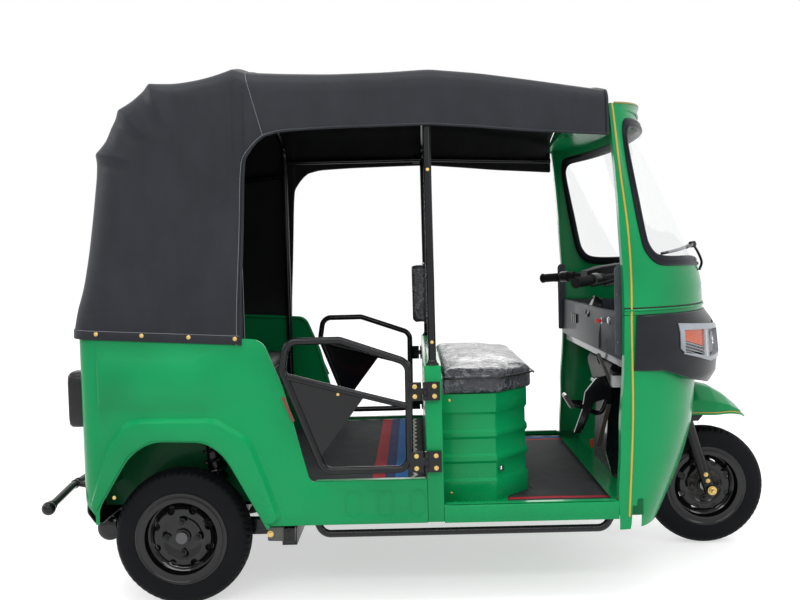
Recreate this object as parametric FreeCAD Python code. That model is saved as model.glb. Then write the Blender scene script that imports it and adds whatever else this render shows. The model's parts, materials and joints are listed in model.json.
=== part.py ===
"""Auto rickshaw, a three-wheeled passenger taxi: one STEP file per sub-part, in millimetres.

+X is forward, +Y is the vehicle's left and +Z is up. The origin is on the ground, under the
middle of the vehicle's box. Stations along X are measured from the rear axle, the partition
behind the driver or the front axle, so that a change of wheelbase carries its own panels.
"""

import FreeCAD
import Part

import math
import os
from functools import lru_cache

# Driving dimensions
WHEEL_BASE = 1943.0
REAR_OVERHANG = 505.0
TYRE_OD = 464.0
TYRE_WIDTH = 112.0
RIM_SEAT_R = 127.0
RIM_FLANGE_R = 142.0
REAR_TRACK = 1108.0
BODY_HALF_WIDTH = 640.0
PANEL = 6.0
SEAT_GAP = 0.3
RUNNING_GAP = 0.05

# Stations that the rest hangs on
TYRE_R = TYRE_OD / 2
OVERALL_LENGTH = REAR_OVERHANG + WHEEL_BASE + TYRE_R
REAR_AXLE_X = REAR_OVERHANG - OVERALL_LENGTH / 2
FRONT_AXLE_X = REAR_AXLE_X + WHEEL_BASE
POST_X = REAR_AXLE_X + 865.0
INNER_HALF_WIDTH = BODY_HALF_WIDTH - PANEL

# Rear body
TUB_REAR_X = REAR_AXLE_X - 325.0
TUB_CORNER_R = 65.0
TUB_TOP_REAR = 940.0
TUB_TOP_FRONT = 908.0
TUB_RIM_R = 8.0
SILL_TOP = 424.0
SILL_BOTTOM = 278.0
FLARE_DEPTH = 22.0
HATCH_HALF_WIDTH = 400.0
HATCH_BOTTOM = 470.0
HATCH_TOP = 800.0
HATCH_GAP = 6.0
PLATE_HOLE_SPACING = 200.0
PLATE_HOLE_R = 3.5
PLATE_HOLE_Z = 860.0

# Floors and partition
PASSENGER_FLOOR_Z = 411.0
DRIVER_FLOOR_Z = 316.0
FLOOR_PLATE = 8.0
MAT = 6.0
MAT_HALF = 612.0
PARTITION_DEPTH = 56.0
PARTITION_TOP = 803.0
DECK_Z = 632.0
DECK_PLATE = 8.0
HOUSING_FOOT_X = REAR_AXLE_X + 336.0
DECK_FRONT_X = REAR_AXLE_X + 205.0
HOUSING_HALF_GAP = 420.0
HOUSING_TOP = 618.0
SEAT_BOX_X = POST_X + 340.0
SEAT_BOX_HALF = 520.0
SEAT_BOX_NOSE_HALF = 370.0
SEAT_BOX_TOP = 688.0
SEAT_TOP = 778.0
SEAT_RIB_ZS = (385.0, 470.0, 555.0)
SEAT_RIB_DEPTH = 7.0
BACKREST_HALF = 250.0
BACKREST_BAR_R = 8.0
BACKREST_BAR_X = POST_X - 6.0
BACKREST_BAR_ZS = (962.0, 1096.0)

# Roof
ROOF_SIDE_Z = 1597.0
HOOD_SHEET = 5.0
HOOP_R = 13.0
POST_Y = BODY_HALF_WIDTH - 20.0

# Front
COWL_SEAM_Z = 952.0
COWL_BOTTOM = 240.0
COWL_TOP = 1640.0
ARCH_HALF_WIDTH = 212.0
ARCH_TOP = 668.0
RAKE = math.radians(17.05)
FORK_HALF_GAP = 92.0
FORK_LEG_R = 22.0
STEM_R = 20.0
HEAD_TUBE_WALL = 6.0
HANDLEBAR_Z = 1076.0
DASH_BOTTOM = 800.0
DASH_TOP = 956.0

V = FreeCAD.Vector


def rear(x):
    """A station measured from the rear axle."""
    return REAR_AXLE_X + x


def post(x):
    """A station measured from the roof post behind the driver."""
    return POST_X + x


def front(x):
    """A station measured from the front axle."""
    return FRONT_AXLE_X + x


# Shape helpers
def block(x0, x1, y0, y1, z0, z1):
    """An upright box between two corners."""
    return Part.makeBox(x1 - x0, y1 - y0, z1 - z0, V(x0, y0, z0))


def rod(start, end, radius):
    """A round bar between two points."""
    start, end = V(*start), V(*end)
    run = end - start
    return Part.makeCylinder(radius, run.Length, start, run)


def mirrored(shape):
    """The same piece on the vehicle's other side."""
    return shape.mirror(V(0, 0, 0), V(0, 1, 0))


def fused(shapes):
    """One solid from pieces that meet or overlap."""
    whole = shapes[0].fuse(list(shapes[1:])) if len(shapes) > 1 else shapes[0]
    return whole.removeSplitter()


def corner_wire(points, radii):
    """A closed wire through 3-D points, with an arc of its own radius at each."""
    count = len(points)
    cuts = []
    for i, here in enumerate(points):
        before = (points[i - 1] - here).normalize()
        after = (points[(i + 1) % count] - here).normalize()
        turn = before.getAngle(after)
        radius = radii[i]
        if radius <= 0 or turn > math.radians(179.5):
            cuts.append((here, here, here))
            continue
        reach = radius / math.tan(turn / 2)
        bisector = (before + after).normalize()
        depth = radius / math.sin(turn / 2) - radius
        cuts.append((here + before * reach, here + bisector * depth, here + after * reach))
    edges = []
    for i in range(count):
        first, middle, last = cuts[i]
        if (first - last).Length > 0.01:
            edges.append(Part.Arc(first, middle, last).toShape())
        following = cuts[(i + 1) % count][0]
        if (following - last).Length > 0.01:
            edges.append(Part.LineSegment(last, following).toShape())
    return Part.Wire(edges)


def side_face(points, y, radius=0.0):
    """A face in a plane of constant Y from (x, z) or (x, z, corner radius) points."""
    corners = [V(p[0], y, p[1]) for p in points]
    radii = [p[2] if len(p) > 2 else radius for p in points]
    return Part.Face(corner_wire(corners, radii))


def side_prism(points, y0, y1, radius=0.0):
    """A side outline carried across the vehicle from y0 to y1."""
    return side_face(points, y0, radius).extrude(V(0, y1 - y0, 0))


def front_prism(points, x0, x1, radius=0.0):
    """An outline in Y and Z carried along X from x0 to x1."""
    corners = [V(x0, p[0], p[1]) for p in points]
    radii = [p[2] if len(p) > 2 else radius for p in points]
    return Part.Face(corner_wire(corners, radii)).extrude(V(x1 - x0, 0, 0))


def plan_prism(points, z0, z1, radius=0.0):
    """An outline in X and Y carried upwards from z0 to z1."""
    corners = [V(p[0], p[1], z0) for p in points]
    radii = [p[2] if len(p) > 2 else radius for p in points]
    return Part.Face(corner_wire(corners, radii)).extrude(V(0, 0, z1 - z0))


def tube(points, radius, bend, closed=False):
    """A round bar along straight runs, with a true arc of radius bend at each corner."""
    corners = [V(*p) for p in points]
    count = len(corners)
    starts = list(corners)
    ends = list(corners)
    pieces = []
    inner = range(count) if closed else range(1, count - 1)
    for i in inner:
        here = corners[i]
        before = (corners[i - 1] - here).normalize()
        after = (corners[(i + 1) % count] - here).normalize()
        turn = before.getAngle(after)
        if turn > math.radians(179):
            continue
        reach = bend / math.tan(turn / 2)
        ends[i] = here + before * reach
        starts[i] = here + after * reach
        normal = before.cross(after).normalize()
        centre = here + (before + after).normalize() * (bend / math.sin(turn / 2))
        ring = Part.Face(Part.Wire(Part.makeCircle(radius, ends[i], before)))
        swept = ring.revolve(centre, normal, -math.degrees(math.pi - turn))
        pieces.append(swept)
    runs = count if closed else count - 1
    for i in range(runs):
        start, end = starts[i], ends[(i + 1) % count]
        run = end - start
        if run.Length > 0.01:
            pieces.append(Part.makeCylinder(radius, run.Length, start, run))
    return fused(pieces)


def turned(profile, centre_x, centre_z, y=0.0):
    """A wheel part: (radius, offset along Y) points turned about an axle along Y."""
    corners = [V(centre_x + p[0], y + p[1], centre_z) for p in profile]
    radii = [p[2] if len(p) > 2 else 0.0 for p in profile]
    face = Part.Face(corner_wire(corners, radii))
    return face.revolve(V(centre_x, y, centre_z), V(0, 1, 0), 360)


def lofted(wires, ruled=False):
    """A solid through closed section wires."""
    return Part.makeLoft(wires, True, ruled)


# Rear body
TOP_SLOPE = (TUB_TOP_FRONT - TUB_TOP_REAR) / 565.0


def tub_top(x):
    """Height of the rear body's top edge at a station."""
    return TUB_TOP_REAR + TOP_SLOPE * (x - TUB_REAR_X)


ARCH_OPENING = [(-263, 200), (-263, 355, 30), (-152, 534, 60), (-77, 580, 60), (106, 574, 60),
                (170, 526, 80), (217, 441, 200), (317, 255), (317, 200)]
FLARE_OUTLINE = [(-299, 352, 20), (-231, 552, 90), (-160, 652, 90), (140, 648, 90),
                 (255, 574, 90), (301, 456, 200), (357, 290, 20)]
FLARE_INSET = [(-285, 352, 20), (-221, 548, 80), (-152, 638, 80), (134, 634, 80),
               (243, 568, 80), (288, 450, 200), (341, 290, 20)]


def rear_points(points):
    """Outline points given from the rear axle, in the vehicle's own X."""
    return [(rear(p[0]), *p[1:]) for p in points]


def side_outline():
    """The body side seen from the side: rear body, slanting door edge and sill."""
    sill_end = post(-PARTITION_DEPTH / 2)
    return [
        (TUB_REAR_X - 1, 382, 0), (TUB_REAR_X - 1, tub_top(TUB_REAR_X), 0),
        (rear(300), tub_top(rear(300)), 55), (rear(364), 751, 300),
        (rear(444), SILL_TOP + 14, 10), (rear(456), SILL_TOP, 8),
        (sill_end, SILL_TOP, 0), (sill_end, SILL_BOTTOM, 0),
        (rear(317), SILL_BOTTOM, 0), (rear(-250), 300, 0), (TUB_REAR_X + 18, 358, 12),
    ]


def body_side():
    """Right body side: a bent sheet with wheel arch, flare, swage, rolled rim and sill."""
    w, t, r = BODY_HALF_WIDTH, PANEL, TUB_CORNER_R
    sill_end = post(-PARTITION_DEPTH / 2)
    outer = [(sill_end, -w), (TUB_REAR_X, -w, r), (TUB_REAR_X, -w + r),
             (TUB_REAR_X + t, -w + r), (TUB_REAR_X + t, -w + t, r - t), (sill_end, -w + t)]
    sheet = plan_prism(outer, SILL_BOTTOM, TUB_TOP_REAR)
    sheet = sheet.common(side_prism(side_outline(), -w - 50, 0))
    swage = swage_panel()
    flare = flare_ring()
    opening = side_prism(rear_points(ARCH_OPENING), -w - 60, -w + 40)
    whole = fused([sheet, swage, flare, rolled_rim()])
    whole = whole.cut(opening)
    for slot in sill_slots():
        whole = whole.cut(slot)
    return whole


def swage_panel():
    """The raised band along the rear body, tapered to nothing at its edges."""
    w = BODY_HALF_WIDTH
    outline = [(-255, 866, 8), (125, 847, 60), (205, 670, 60), (-255, 689, 8)]
    inset = [(-247, 856, 8), (105, 838, 60), (170, 684, 60), (-247, 699, 8)]
    low = side_face(rear_points(outline), -w + 1).OuterWire
    high = side_face(rear_points(inset), -w - 5).OuterWire
    return lofted([low, high], True)


def flare_ring():
    """The wheel-arch flare, standing proud of the side and cut by the arch opening later."""
    w = BODY_HALF_WIDTH
    low = side_face(rear_points(FLARE_OUTLINE), -w + PANEL / 2).OuterWire
    high = side_face(rear_points(FLARE_INSET), -w - FLARE_DEPTH).OuterWire
    return lofted([low, high], True)


def rolled_rim():
    """The rolled edge along the top of the rear body and down the door opening."""
    y = -BODY_HALF_WIDTH + TUB_RIM_R
    r = TUB_RIM_R
    path = [(TUB_REAR_X + TUB_CORNER_R + 2, y, tub_top(TUB_REAR_X) - r - 2),
            (rear(296), y, tub_top(rear(296)) - r), (rear(354), y, 751), (rear(436), y, SILL_TOP + 12)]
    return tube(path, r, 48)


def sill_slots():
    """Three pressed recesses in the sill, each a tall stadium."""
    depth = PANEL / 2
    slots = []
    for x in (-276, -168, -60):
        outline = [(post(x) - 27, 301), (post(x) + 27, 301), (post(x) + 27, 391), (post(x) - 27, 391)]
        slots.append(side_prism(outline, -BODY_HALF_WIDTH - 1, -BODY_HALF_WIDTH + depth, 26.9))
    return slots


def rear_panel():
    """The flat rear wall between the corners, with the engine hatch's opening."""
    half = BODY_HALF_WIDTH - TUB_CORNER_R
    top = tub_top(TUB_REAR_X)
    wall = block(TUB_REAR_X, TUB_REAR_X + PANEL, -half, half, 382, top)
    lip = rod((TUB_REAR_X + TUB_RIM_R, -half, top - TUB_RIM_R), (TUB_REAR_X + TUB_RIM_R, half, top - TUB_RIM_R),
              TUB_RIM_R)
    hole = front_prism([(-HATCH_HALF_WIDTH, HATCH_BOTTOM), (HATCH_HALF_WIDTH, HATCH_BOTTOM),
                        (HATCH_HALF_WIDTH, HATCH_TOP), (-HATCH_HALF_WIDTH, HATCH_TOP)],
                       TUB_REAR_X - 20, TUB_REAR_X + 30, 30)
    wall = fused([wall, lip]).cut(hole)
    for y in (-PLATE_HOLE_SPACING / 2, PLATE_HOLE_SPACING / 2):
        wall = wall.cut(rod((TUB_REAR_X - 5, y, PLATE_HOLE_Z), (TUB_REAR_X + 30, y, PLATE_HOLE_Z), PLATE_HOLE_R))
    for y in HATCH_HINGE_YS:
        wall = wall.fuse(hinge_ear(y, -1)).fuse(hinge_ear(y, 1))
    for y in HATCH_HINGE_YS:
        wall = wall.fuse(rod((HATCH_PIN_X, y - 40, HATCH_PIN_Z), (HATCH_PIN_X, y + 40, HATCH_PIN_Z), HATCH_PIN_R))
    return wall.removeSplitter()


HATCH_HINGE_YS = (-250.0, 250.0)
HATCH_PIN_R = 4.0
HATCH_PIN_X = TUB_REAR_X - 9.0
HATCH_PIN_Z = HATCH_TOP + 8.0


def hinge_ear(y, side):
    """A fixed hinge ear beside the hatch's own barrel."""
    centre = y + side * 32
    barrel = rod((HATCH_PIN_X, centre - 8, HATCH_PIN_Z), (HATCH_PIN_X, centre + 8, HATCH_PIN_Z), 8)
    web = block(HATCH_PIN_X, TUB_REAR_X + 1, centre - 8, centre + 8, HATCH_PIN_Z - 1, HATCH_PIN_Z + 8)
    return barrel.fuse(web)


def rear_hatch():
    """The engine hatch: a pressed lid that swings up about two barrels at its top."""
    half = HATCH_HALF_WIDTH - HATCH_GAP
    low, high = HATCH_BOTTOM + HATCH_GAP, HATCH_TOP - HATCH_GAP
    lid = front_prism([(-half, low), (half, low), (half, high), (-half, high)], TUB_REAR_X, TUB_REAR_X + PANEL, 26)
    rib = front_prism([(-half + 60, low + 50), (half - 60, low + 50), (half - 60, high - 60), (-half + 60, high - 60)],
                      TUB_REAR_X - 5, TUB_REAR_X + 1, 26)
    pieces = [lid, rib]
    for y in HATCH_HINGE_YS:
        barrel = rod((HATCH_PIN_X, y - 22, HATCH_PIN_Z), (HATCH_PIN_X, y + 22, HATCH_PIN_Z), 8)
        arm = block(HATCH_PIN_X - 4, HATCH_PIN_X + 2, y - 22, y + 22, high - 40, HATCH_PIN_Z)
        foot = block(HATCH_PIN_X - 4, TUB_REAR_X + 1, y - 22, y + 22, high - 40, high - 24)
        pieces += [barrel.fuse(arm), foot]
    handle = tube([(TUB_REAR_X + 1, -50, low + 24), (TUB_REAR_X - 22, -50, low + 24),
                   (TUB_REAR_X - 22, 50, low + 24), (TUB_REAR_X + 1, 50, low + 24)], 5, 8)
    pieces.append(handle)
    whole = fused(pieces)
    for y in HATCH_HINGE_YS:
        whole = whole.cut(rod((HATCH_PIN_X, y - 60, HATCH_PIN_Z), (HATCH_PIN_X, y + 60, HATCH_PIN_Z),
                              HATCH_PIN_R + RUNNING_GAP))
    return whole


def rear_wheel_housing():
    """Right inner wheel housing: a wall inside the wheel and a bent panel over it."""
    y_in, y_out = -HOUSING_HALF_GAP, -INNER_HALF_WIDTH
    back, top, low = TUB_REAR_X + 14, HOUSING_TOP, PASSENGER_FLOOR_Z - FLOOR_PLATE
    bend_x, foot_x = rear(195), HOUSING_FOOT_X
    wall = side_prism([(back, RAIL_TOP, 0), (back, top, 0), (bend_x, top, 60), (foot_x, low, 0),
                       (foot_x, RAIL_TOP, 0)], y_in - PANEL, y_in)
    over_back = TUB_REAR_X + TUB_CORNER_R + 2
    over = side_prism([(over_back, 400, 0), (over_back, top, 60), (bend_x, top, 60), (foot_x, low, 0),
                       (foot_x - 7, low, 0), (bend_x - 4, top - PANEL, 56), (over_back + PANEL, top - PANEL, 54),
                       (over_back + PANEL, 400, 0)], y_out, y_in - PANEL)
    return wall.fuse(over).removeSplitter()


def seat_deck():
    """The rear seat's base: a deck over the engine and the riser in front of it."""
    back, w, r = TUB_REAR_X + PANEL, INNER_HALF_WIDTH, TUB_CORNER_R - PANEL
    deck = plan_prism([(back, -w, r), (back, w, r), (DECK_FRONT_X, w, 0), (DECK_FRONT_X, -w, 0)],
                      DECK_Z - DECK_PLATE, DECK_Z)
    riser = block(DECK_FRONT_X - DECK_PLATE, DECK_FRONT_X, -HOUSING_HALF_GAP, HOUSING_HALF_GAP,
                  PASSENGER_FLOOR_Z, DECK_Z - DECK_PLATE)
    return deck.fuse(riser).removeSplitter()


def rounded_block(x0, x1, y0, y1, z0, z1, radius):
    """A soft block: a box with all its long edges rounded."""
    solid = block(x0, x1, y0, y1, z0, z1)
    return solid.makeFillet(radius, solid.Edges)


REAR_SEAT_TOP = 760.0
REAR_SEAT_HALF = 560.0


def rear_seat_cushion():
    """Rear bench cushion."""
    return rounded_block(rear(-150), DECK_FRONT_X + 22, -REAR_SEAT_HALF, REAR_SEAT_HALF,
                         DECK_Z + SEAT_GAP, REAR_SEAT_TOP, 28)


def rear_seat_back():
    """Rear bench backrest, leaning back against the rear wall."""
    low = DECK_Z + SEAT_GAP
    outline = [(rear(-160), low, 20), (rear(-205), 1090, 36), (rear(-290), 1090, 36), (rear(-262), low, 20)]
    return side_prism(outline, -REAR_SEAT_HALF, REAR_SEAT_HALF)


# Chassis, floors and partition
RAIL_Y = 250.0
RAIL = 50.0
RAIL_REAR_X = REAR_AXLE_X - 230.0
FOOT_WELL_HALF = 560.0
RAIL_TOP = DRIVER_FLOOR_Z - FLOOR_PLATE
CROSS_TUBE_X = REAR_AXLE_X + 367.0
HEAD_AXIS_LOW = V(front(0) + math.sin(RAKE) * 3 + 8.0, 0, TYRE_R - 3)
AXIS_DIR = V(-math.sin(RAKE), 0, math.cos(RAKE))


def axis_point(z):
    """The point of the steering axis at a height."""
    return HEAD_AXIS_LOW + AXIS_DIR * ((z - HEAD_AXIS_LOW.z) / AXIS_DIR.z)


def chassis_frame():
    """Two box rails with cross members and the tube that the trailing arms pivot on."""
    pieces = []
    rail_end = front(-395)
    for side in (-1, 1):
        y0 = side * RAIL_Y - RAIL / 2
        pieces.append(block(RAIL_REAR_X, rail_end, y0, y0 + RAIL, RAIL_TOP - RAIL, RAIL_TOP))
        pieces.append(block(CROSS_TUBE_X - 25, CROSS_TUBE_X + 25, y0, y0 + RAIL, 200, RAIL_TOP - RAIL))
    pieces.append(block(CROSS_TUBE_X - 25, CROSS_TUBE_X + 25, -600, 600, 201, 257))
    reach = INNER_HALF_WIDTH - 3
    for x, wide, half in ((RAIL_REAR_X, 24, HOUSING_HALF_GAP), (post(-20), 40, reach),
                          (rail_end - 40, 40, FOOT_WELL_HALF)):
        pieces.append(block(x, x + wide, -half, half, RAIL_TOP - 28, RAIL_TOP))
    return fused(pieces)


def passenger_floor():
    """Passenger floor plate on two long stiffeners, narrowed between the wheel housings."""
    x0, x1 = DECK_FRONT_X - DECK_PLATE, post(-PARTITION_DEPTH / 2)
    low, high = PASSENGER_FLOOR_Z - FLOOR_PLATE, PASSENGER_FLOOR_Z
    pieces = [block(x0, x1, -HOUSING_HALF_GAP, HOUSING_HALF_GAP, low, high),
              block(HOUSING_FOOT_X, x1, -INNER_HALF_WIDTH, INNER_HALF_WIDTH, low, high)]
    for y in (-RAIL_Y, RAIL_Y):
        pieces.append(block(x0 + 40, x1, y - RAIL / 2, y + RAIL / 2, RAIL_TOP, low))
    return fused(pieces)


def driver_floor():
    """Driver's floor with a folded sill along each side."""
    x0, x1 = post(PARTITION_DEPTH / 2), front(-470.2)
    pieces = [block(x0, x1, -BODY_HALF_WIDTH, BODY_HALF_WIDTH, RAIL_TOP, DRIVER_FLOOR_Z)]
    pieces.append(block(x1, front(-389.2), -FOOT_WELL_HALF, FOOT_WELL_HALF, RAIL_TOP, DRIVER_FLOOR_Z))
    for side in (-1, 1):
        y = side * BODY_HALF_WIDTH
        pieces.append(block(x0, x1, min(y, y - side * PANEL), max(y, y - side * PANEL), 276, 328))
        lip = side * (BODY_HALF_WIDTH - 9)
        pieces.append(rod((x0, lip, 328), (x1, lip, 328), 9))
    return fused(pieces)


def partition():
    """The wall behind the driver, a closed box from sill to sill."""
    half = PARTITION_DEPTH / 2
    wall = block(post(-half), post(half), -BODY_HALF_WIDTH, BODY_HALF_WIDTH, SILL_BOTTOM + 2, PARTITION_TOP)
    wall = wall.makeFillet(5, [e for e in wall.Edges if abs(e.tangentAt(e.FirstParameter).z) > 0.9])
    for side in (-1, 1):
        wall = wall.cut(rod((POST_X, side * POST_Y, PARTITION_TOP - 60), (POST_X, side * POST_Y, PARTITION_TOP + 1),
                            HOOP_R))
    for y in (-RAIL_Y, RAIL_Y):
        wall = wall.cut(block(post(-half) - 1, post(half) + 1, y - RAIL / 2, y + RAIL / 2, 200, RAIL_TOP))
    wall = wall.cut(block(post(-half) - 1, post(half) + 1, -INNER_HALF_WIDTH + 3, INNER_HALF_WIDTH - 3,
                          200, RAIL_TOP))
    return wall


def passenger_mat():
    """Rubber mat over the passenger floor, cut round the wheel housings."""
    x1, z = post(-PARTITION_DEPTH / 2) - 2, PASSENGER_FLOOR_Z
    narrow = block(DECK_FRONT_X + 2, x1, -HOUSING_HALF_GAP + 4, HOUSING_HALF_GAP - 4, z, z + MAT)
    wide = block(HOUSING_FOOT_X + 14, x1, -MAT_HALF, MAT_HALF, z, z + MAT)
    return narrow.fuse(wide).removeSplitter()


def driver_mat():
    """Rubber mat over the driver's floor, from the seat box forward."""
    z = DRIVER_FLOOR_Z
    sides = block(SEAT_BOX_X - 90, front(-474), -MAT_HALF, MAT_HALF, z, z + MAT)
    return sides.cut(driver_seat_plan(-3, z - 1, z + MAT + 1))


def seat_box_ring(inset, z):
    """The seat box's plan at a height: straight sides, cut front corners."""
    x0, x1, cut_x = post(PARTITION_DEPTH / 2), SEAT_BOX_X, post(215)
    half, nose = SEAT_BOX_HALF, SEAT_BOX_NOSE_HALF
    points = [(x0, -half + inset), (cut_x - inset * 0.4, -half + inset), (x1 - inset, -nose),
              (x1 - inset, nose), (cut_x - inset * 0.4, half - inset), (x0, half - inset)]
    return corner_wire([V(x, y, z) for x, y in points], [0, 14, 14, 14, 14, 0])


def driver_seat_plan(inset, z0, z1):
    """The seat box's plan carried up from z0 to z1."""
    return Part.Face(seat_box_ring(inset, z0)).extrude(V(0, 0, z1 - z0))


def driver_seat_box():
    """Pressed steel seat box with level ribs and cut front corners."""
    rings = [seat_box_ring(0, DRIVER_FLOOR_Z)]
    for low in SEAT_RIB_ZS:
        for inset, z in ((0, low), (SEAT_RIB_DEPTH, low + 10), (SEAT_RIB_DEPTH, low + 60), (0, low + 70)):
            rings.append(seat_box_ring(inset, z))
    rings.append(seat_box_ring(0, SEAT_BOX_TOP))
    return lofted(rings, True)


def driver_seat_cushion():
    """Driver's cushion, the seat box's plan with soft edges."""
    x0, x1 = post(PARTITION_DEPTH / 2) + 4, SEAT_BOX_X + 26
    half, nose, cut_x = SEAT_BOX_HALF + 22, SEAT_BOX_NOSE_HALF + 12, post(228)
    points = [(x0, -half), (cut_x, -half), (x1, -nose), (x1, nose), (cut_x, half), (x0, half)]
    base = plan_prism(points, SEAT_BOX_TOP + SEAT_GAP, SEAT_TOP, 30)
    level = [e for e in base.Edges if abs(e.CenterOfMass.z - SEAT_TOP) < 0.1]
    return base.makeFillet(26, level)


def driver_backrest():
    """Driver's backrest pad, round topped, held on two cross bars between the roof posts."""
    outline = [(post(-67), 925, 14), (post(-67), 1116, 24), (post(-52), 1142, 20), (post(-2), 1142, 20),
               (post(12), 1116, 24), (post(12), 915, 14)]
    pad = side_prism(outline, -BACKREST_HALF, BACKREST_HALF)
    x = BACKREST_BAR_X
    for z in BACKREST_BAR_ZS:
        pad = pad.cut(rod((x, -POST_Y, z), (x, POST_Y, z), BACKREST_BAR_R + SEAT_GAP))
    return pad


# Roof frame and hood
HOOD_HALF = BODY_HALF_WIDTH + HOOD_SHEET + SEAT_GAP
HOOD_BACK = -(REAR_AXLE_X - TUB_REAR_X) - HOOD_SHEET - SEAT_GAP
HEM_REAR_Z = 926.0
HEM_FRONT_Z = 886.0
HOOD_FRONT_X = FRONT_AXLE_X - 488.0
# Each row of the profile: distance from the rear axle, height, corner or shoulder radius
HOOD_BACK_ROWS = [(HOOD_BACK, 880, 68), (HOOD_BACK, 942, 68), (-325, 1183, 80), (-300, 1400, 92),
                  (-285, 1568, 100)]
HOOD_TOP_ROWS = [(-192, 1697, 96), (-83, 1791, 84), (60, 1815, 70), (226, 1830, 62), (380, 1808, 58),
                 (538, 1800, 56), (720, 1804, 56), (879, 1811, 56), (1040, 1790, 52), (1196, 1767, 48),
                 (1472, 1724, 40)]
HOOD_CROWN = 42.0
HOOD_EDGE_STEPS = (0, 1.2, 4.5, 10, 17.5, 27, 38, 50, 62, 76, 110, 200, 320, 450)
WINDOW_HALF = 230.0
WINDOW_LOW = 1190.0
WINDOW_HIGH = 1420.0


def quarter_drop(distance, radius):
    """How far a quarter round has fallen at a distance in from its outer edge."""
    if distance >= radius:
        return 0.0
    return radius - math.sqrt(radius ** 2 - (radius - distance) ** 2)


def hood_wire(y, edge, sheet):
    """One fore-and-aft section of the hood block, edge in from its side."""
    crown = HOOD_CROWN * (1 - (y / 450.0) ** 2)
    corners = []
    for x, z, radius in HOOD_BACK_ROWS:
        corners.append(V(rear(x) + sheet + quarter_drop(edge, radius - sheet), y, z - (sheet if z > 1500 else 0)))
    for i, (x, z, radius) in enumerate(HOOD_TOP_ROWS):
        lean = (0.55, 0.25)[i] if i < 2 else 0.0
        fall = quarter_drop(edge, radius - sheet)
        corners.append(V(rear(x) + (sheet + fall) * lean, y, z + crown - (sheet + fall) * (1 - lean * 0.4)))
    corners.append(V(corners[-1].x, y, 880))
    return Part.makePolygon(corners + [corners[0]])


@lru_cache
def hood_form(sheet):
    """The hood as a full block: ruled sections from side to side, the middle highest."""
    half = HOOD_HALF - sheet
    ys = [(-half + step, step) for step in HOOD_EDGE_STEPS] + [(0, half)]
    ys += [(half - step, step) for step in reversed(HOOD_EDGE_STEPS)]
    return lofted([hood_wire(y, edge, sheet) for y, edge in ys], True)


def hood_openings():
    """What is cut from the hood: below the hem, the doors and in front of its front edge."""
    hem = side_prism([(rear(-420), 700), (rear(-420), HEM_REAR_Z), (rear(-320), HEM_REAR_Z),
                      (rear(245), HEM_FRONT_Z), (rear(245), 700)], -900, 900)
    door = side_prism([(rear(232), 700, 0), (rear(262), 1506, 90), (rear(330), ROOF_SIDE_Z - 6, 90),
                       (POST_X, ROOF_SIDE_Z, 0), (rear(1453), 1548, 0), (rear(1700), 1548, 0),
                       (rear(1700), 700, 0)], -900, 900)
    ahead = block(HOOD_FRONT_X, HOOD_FRONT_X + 300, -900, 900, 700, 2000)
    return hem.fuse(door).fuse(ahead)


def window_block():
    """The hood window's outline, seen from behind."""
    return front_prism([(-WINDOW_HALF, WINDOW_LOW), (WINDOW_HALF, WINDOW_LOW), (WINDOW_HALF, WINDOW_HIGH),
                        (-WINDOW_HALF, WINDOW_HIGH)], rear(-420), rear(-200), 40)


def canopy():
    """The vinyl hood: one sheet over roof, back and rear sides, open at the doors and the front."""
    whole = hood_form(0.0).cut(hood_form(HOOD_SHEET)).cut(hood_openings())
    return whole.cut(window_block())


def rear_window():
    """The clear pane in the hood's back."""
    return hood_form(1.0).cut(hood_form(HOOD_SHEET - 1.0)).common(window_block())


def hoop(x, y, foot_z, top_z, shoulder):
    """A roof bow: two legs, rounded shoulders and a crowned top."""
    return tube([(x, -y, foot_z), (x, -y, top_z - shoulder), (x, 0, top_z), (x, y, top_z - shoulder),
                 (x, y, foot_z)], HOOP_R, 60)


def roof_frame():
    """The black tube frame: two hoops standing on the body, three bows behind and the rails."""
    hoop_x, hoop_y = rear(226), POST_Y - 18
    rail_z = ROOF_SIDE_Z + 22
    pieces = [hoop(POST_X, POST_Y, PARTITION_TOP - 60, 1816, 150), hoop(hoop_x, hoop_y, DECK_Z, 1836, 150)]
    for side in (-1, 1):
        pieces.append(rod((hoop_x, side * hoop_y, rail_z), (POST_X, side * POST_Y, rail_z), HOOP_R - 2))
        pieces.append(rod((POST_X, side * POST_Y, rail_z), (HOOD_FRONT_X, side * (POST_Y - 8), rail_z - 26),
                          HOOP_R - 2))
        pieces.append(rod((rear(-40), side * (hoop_y - 12), 1530), (hoop_x, side * hoop_y, 1560), HOOP_R - 1))
    pieces.append(rod((hoop_x, 0, 1822), (POST_X, 0, 1800), HOOP_R - 3))
    pieces.append(rod((POST_X, 0, 1800), (HOOD_FRONT_X, 0, 1728), HOOP_R - 3))
    for x, z in ((-240, 1552), (-168, 1660), (-72, 1752)):
        foot = (rear(-40), hoop_y - 12, 1530)
        shoulder = (rear(x), hoop_y - 66, z)
        pieces.append(tube([foot, shoulder, (shoulder[0], -shoulder[1], z), (foot[0], -foot[1], foot[2])],
                           HOOP_R - 3, 60))
    for z in BACKREST_BAR_ZS:
        pieces.append(rod((BACKREST_BAR_X, -POST_Y, z), (BACKREST_BAR_X, POST_Y, z), BACKREST_BAR_R))
    return fused(pieces)


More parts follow.
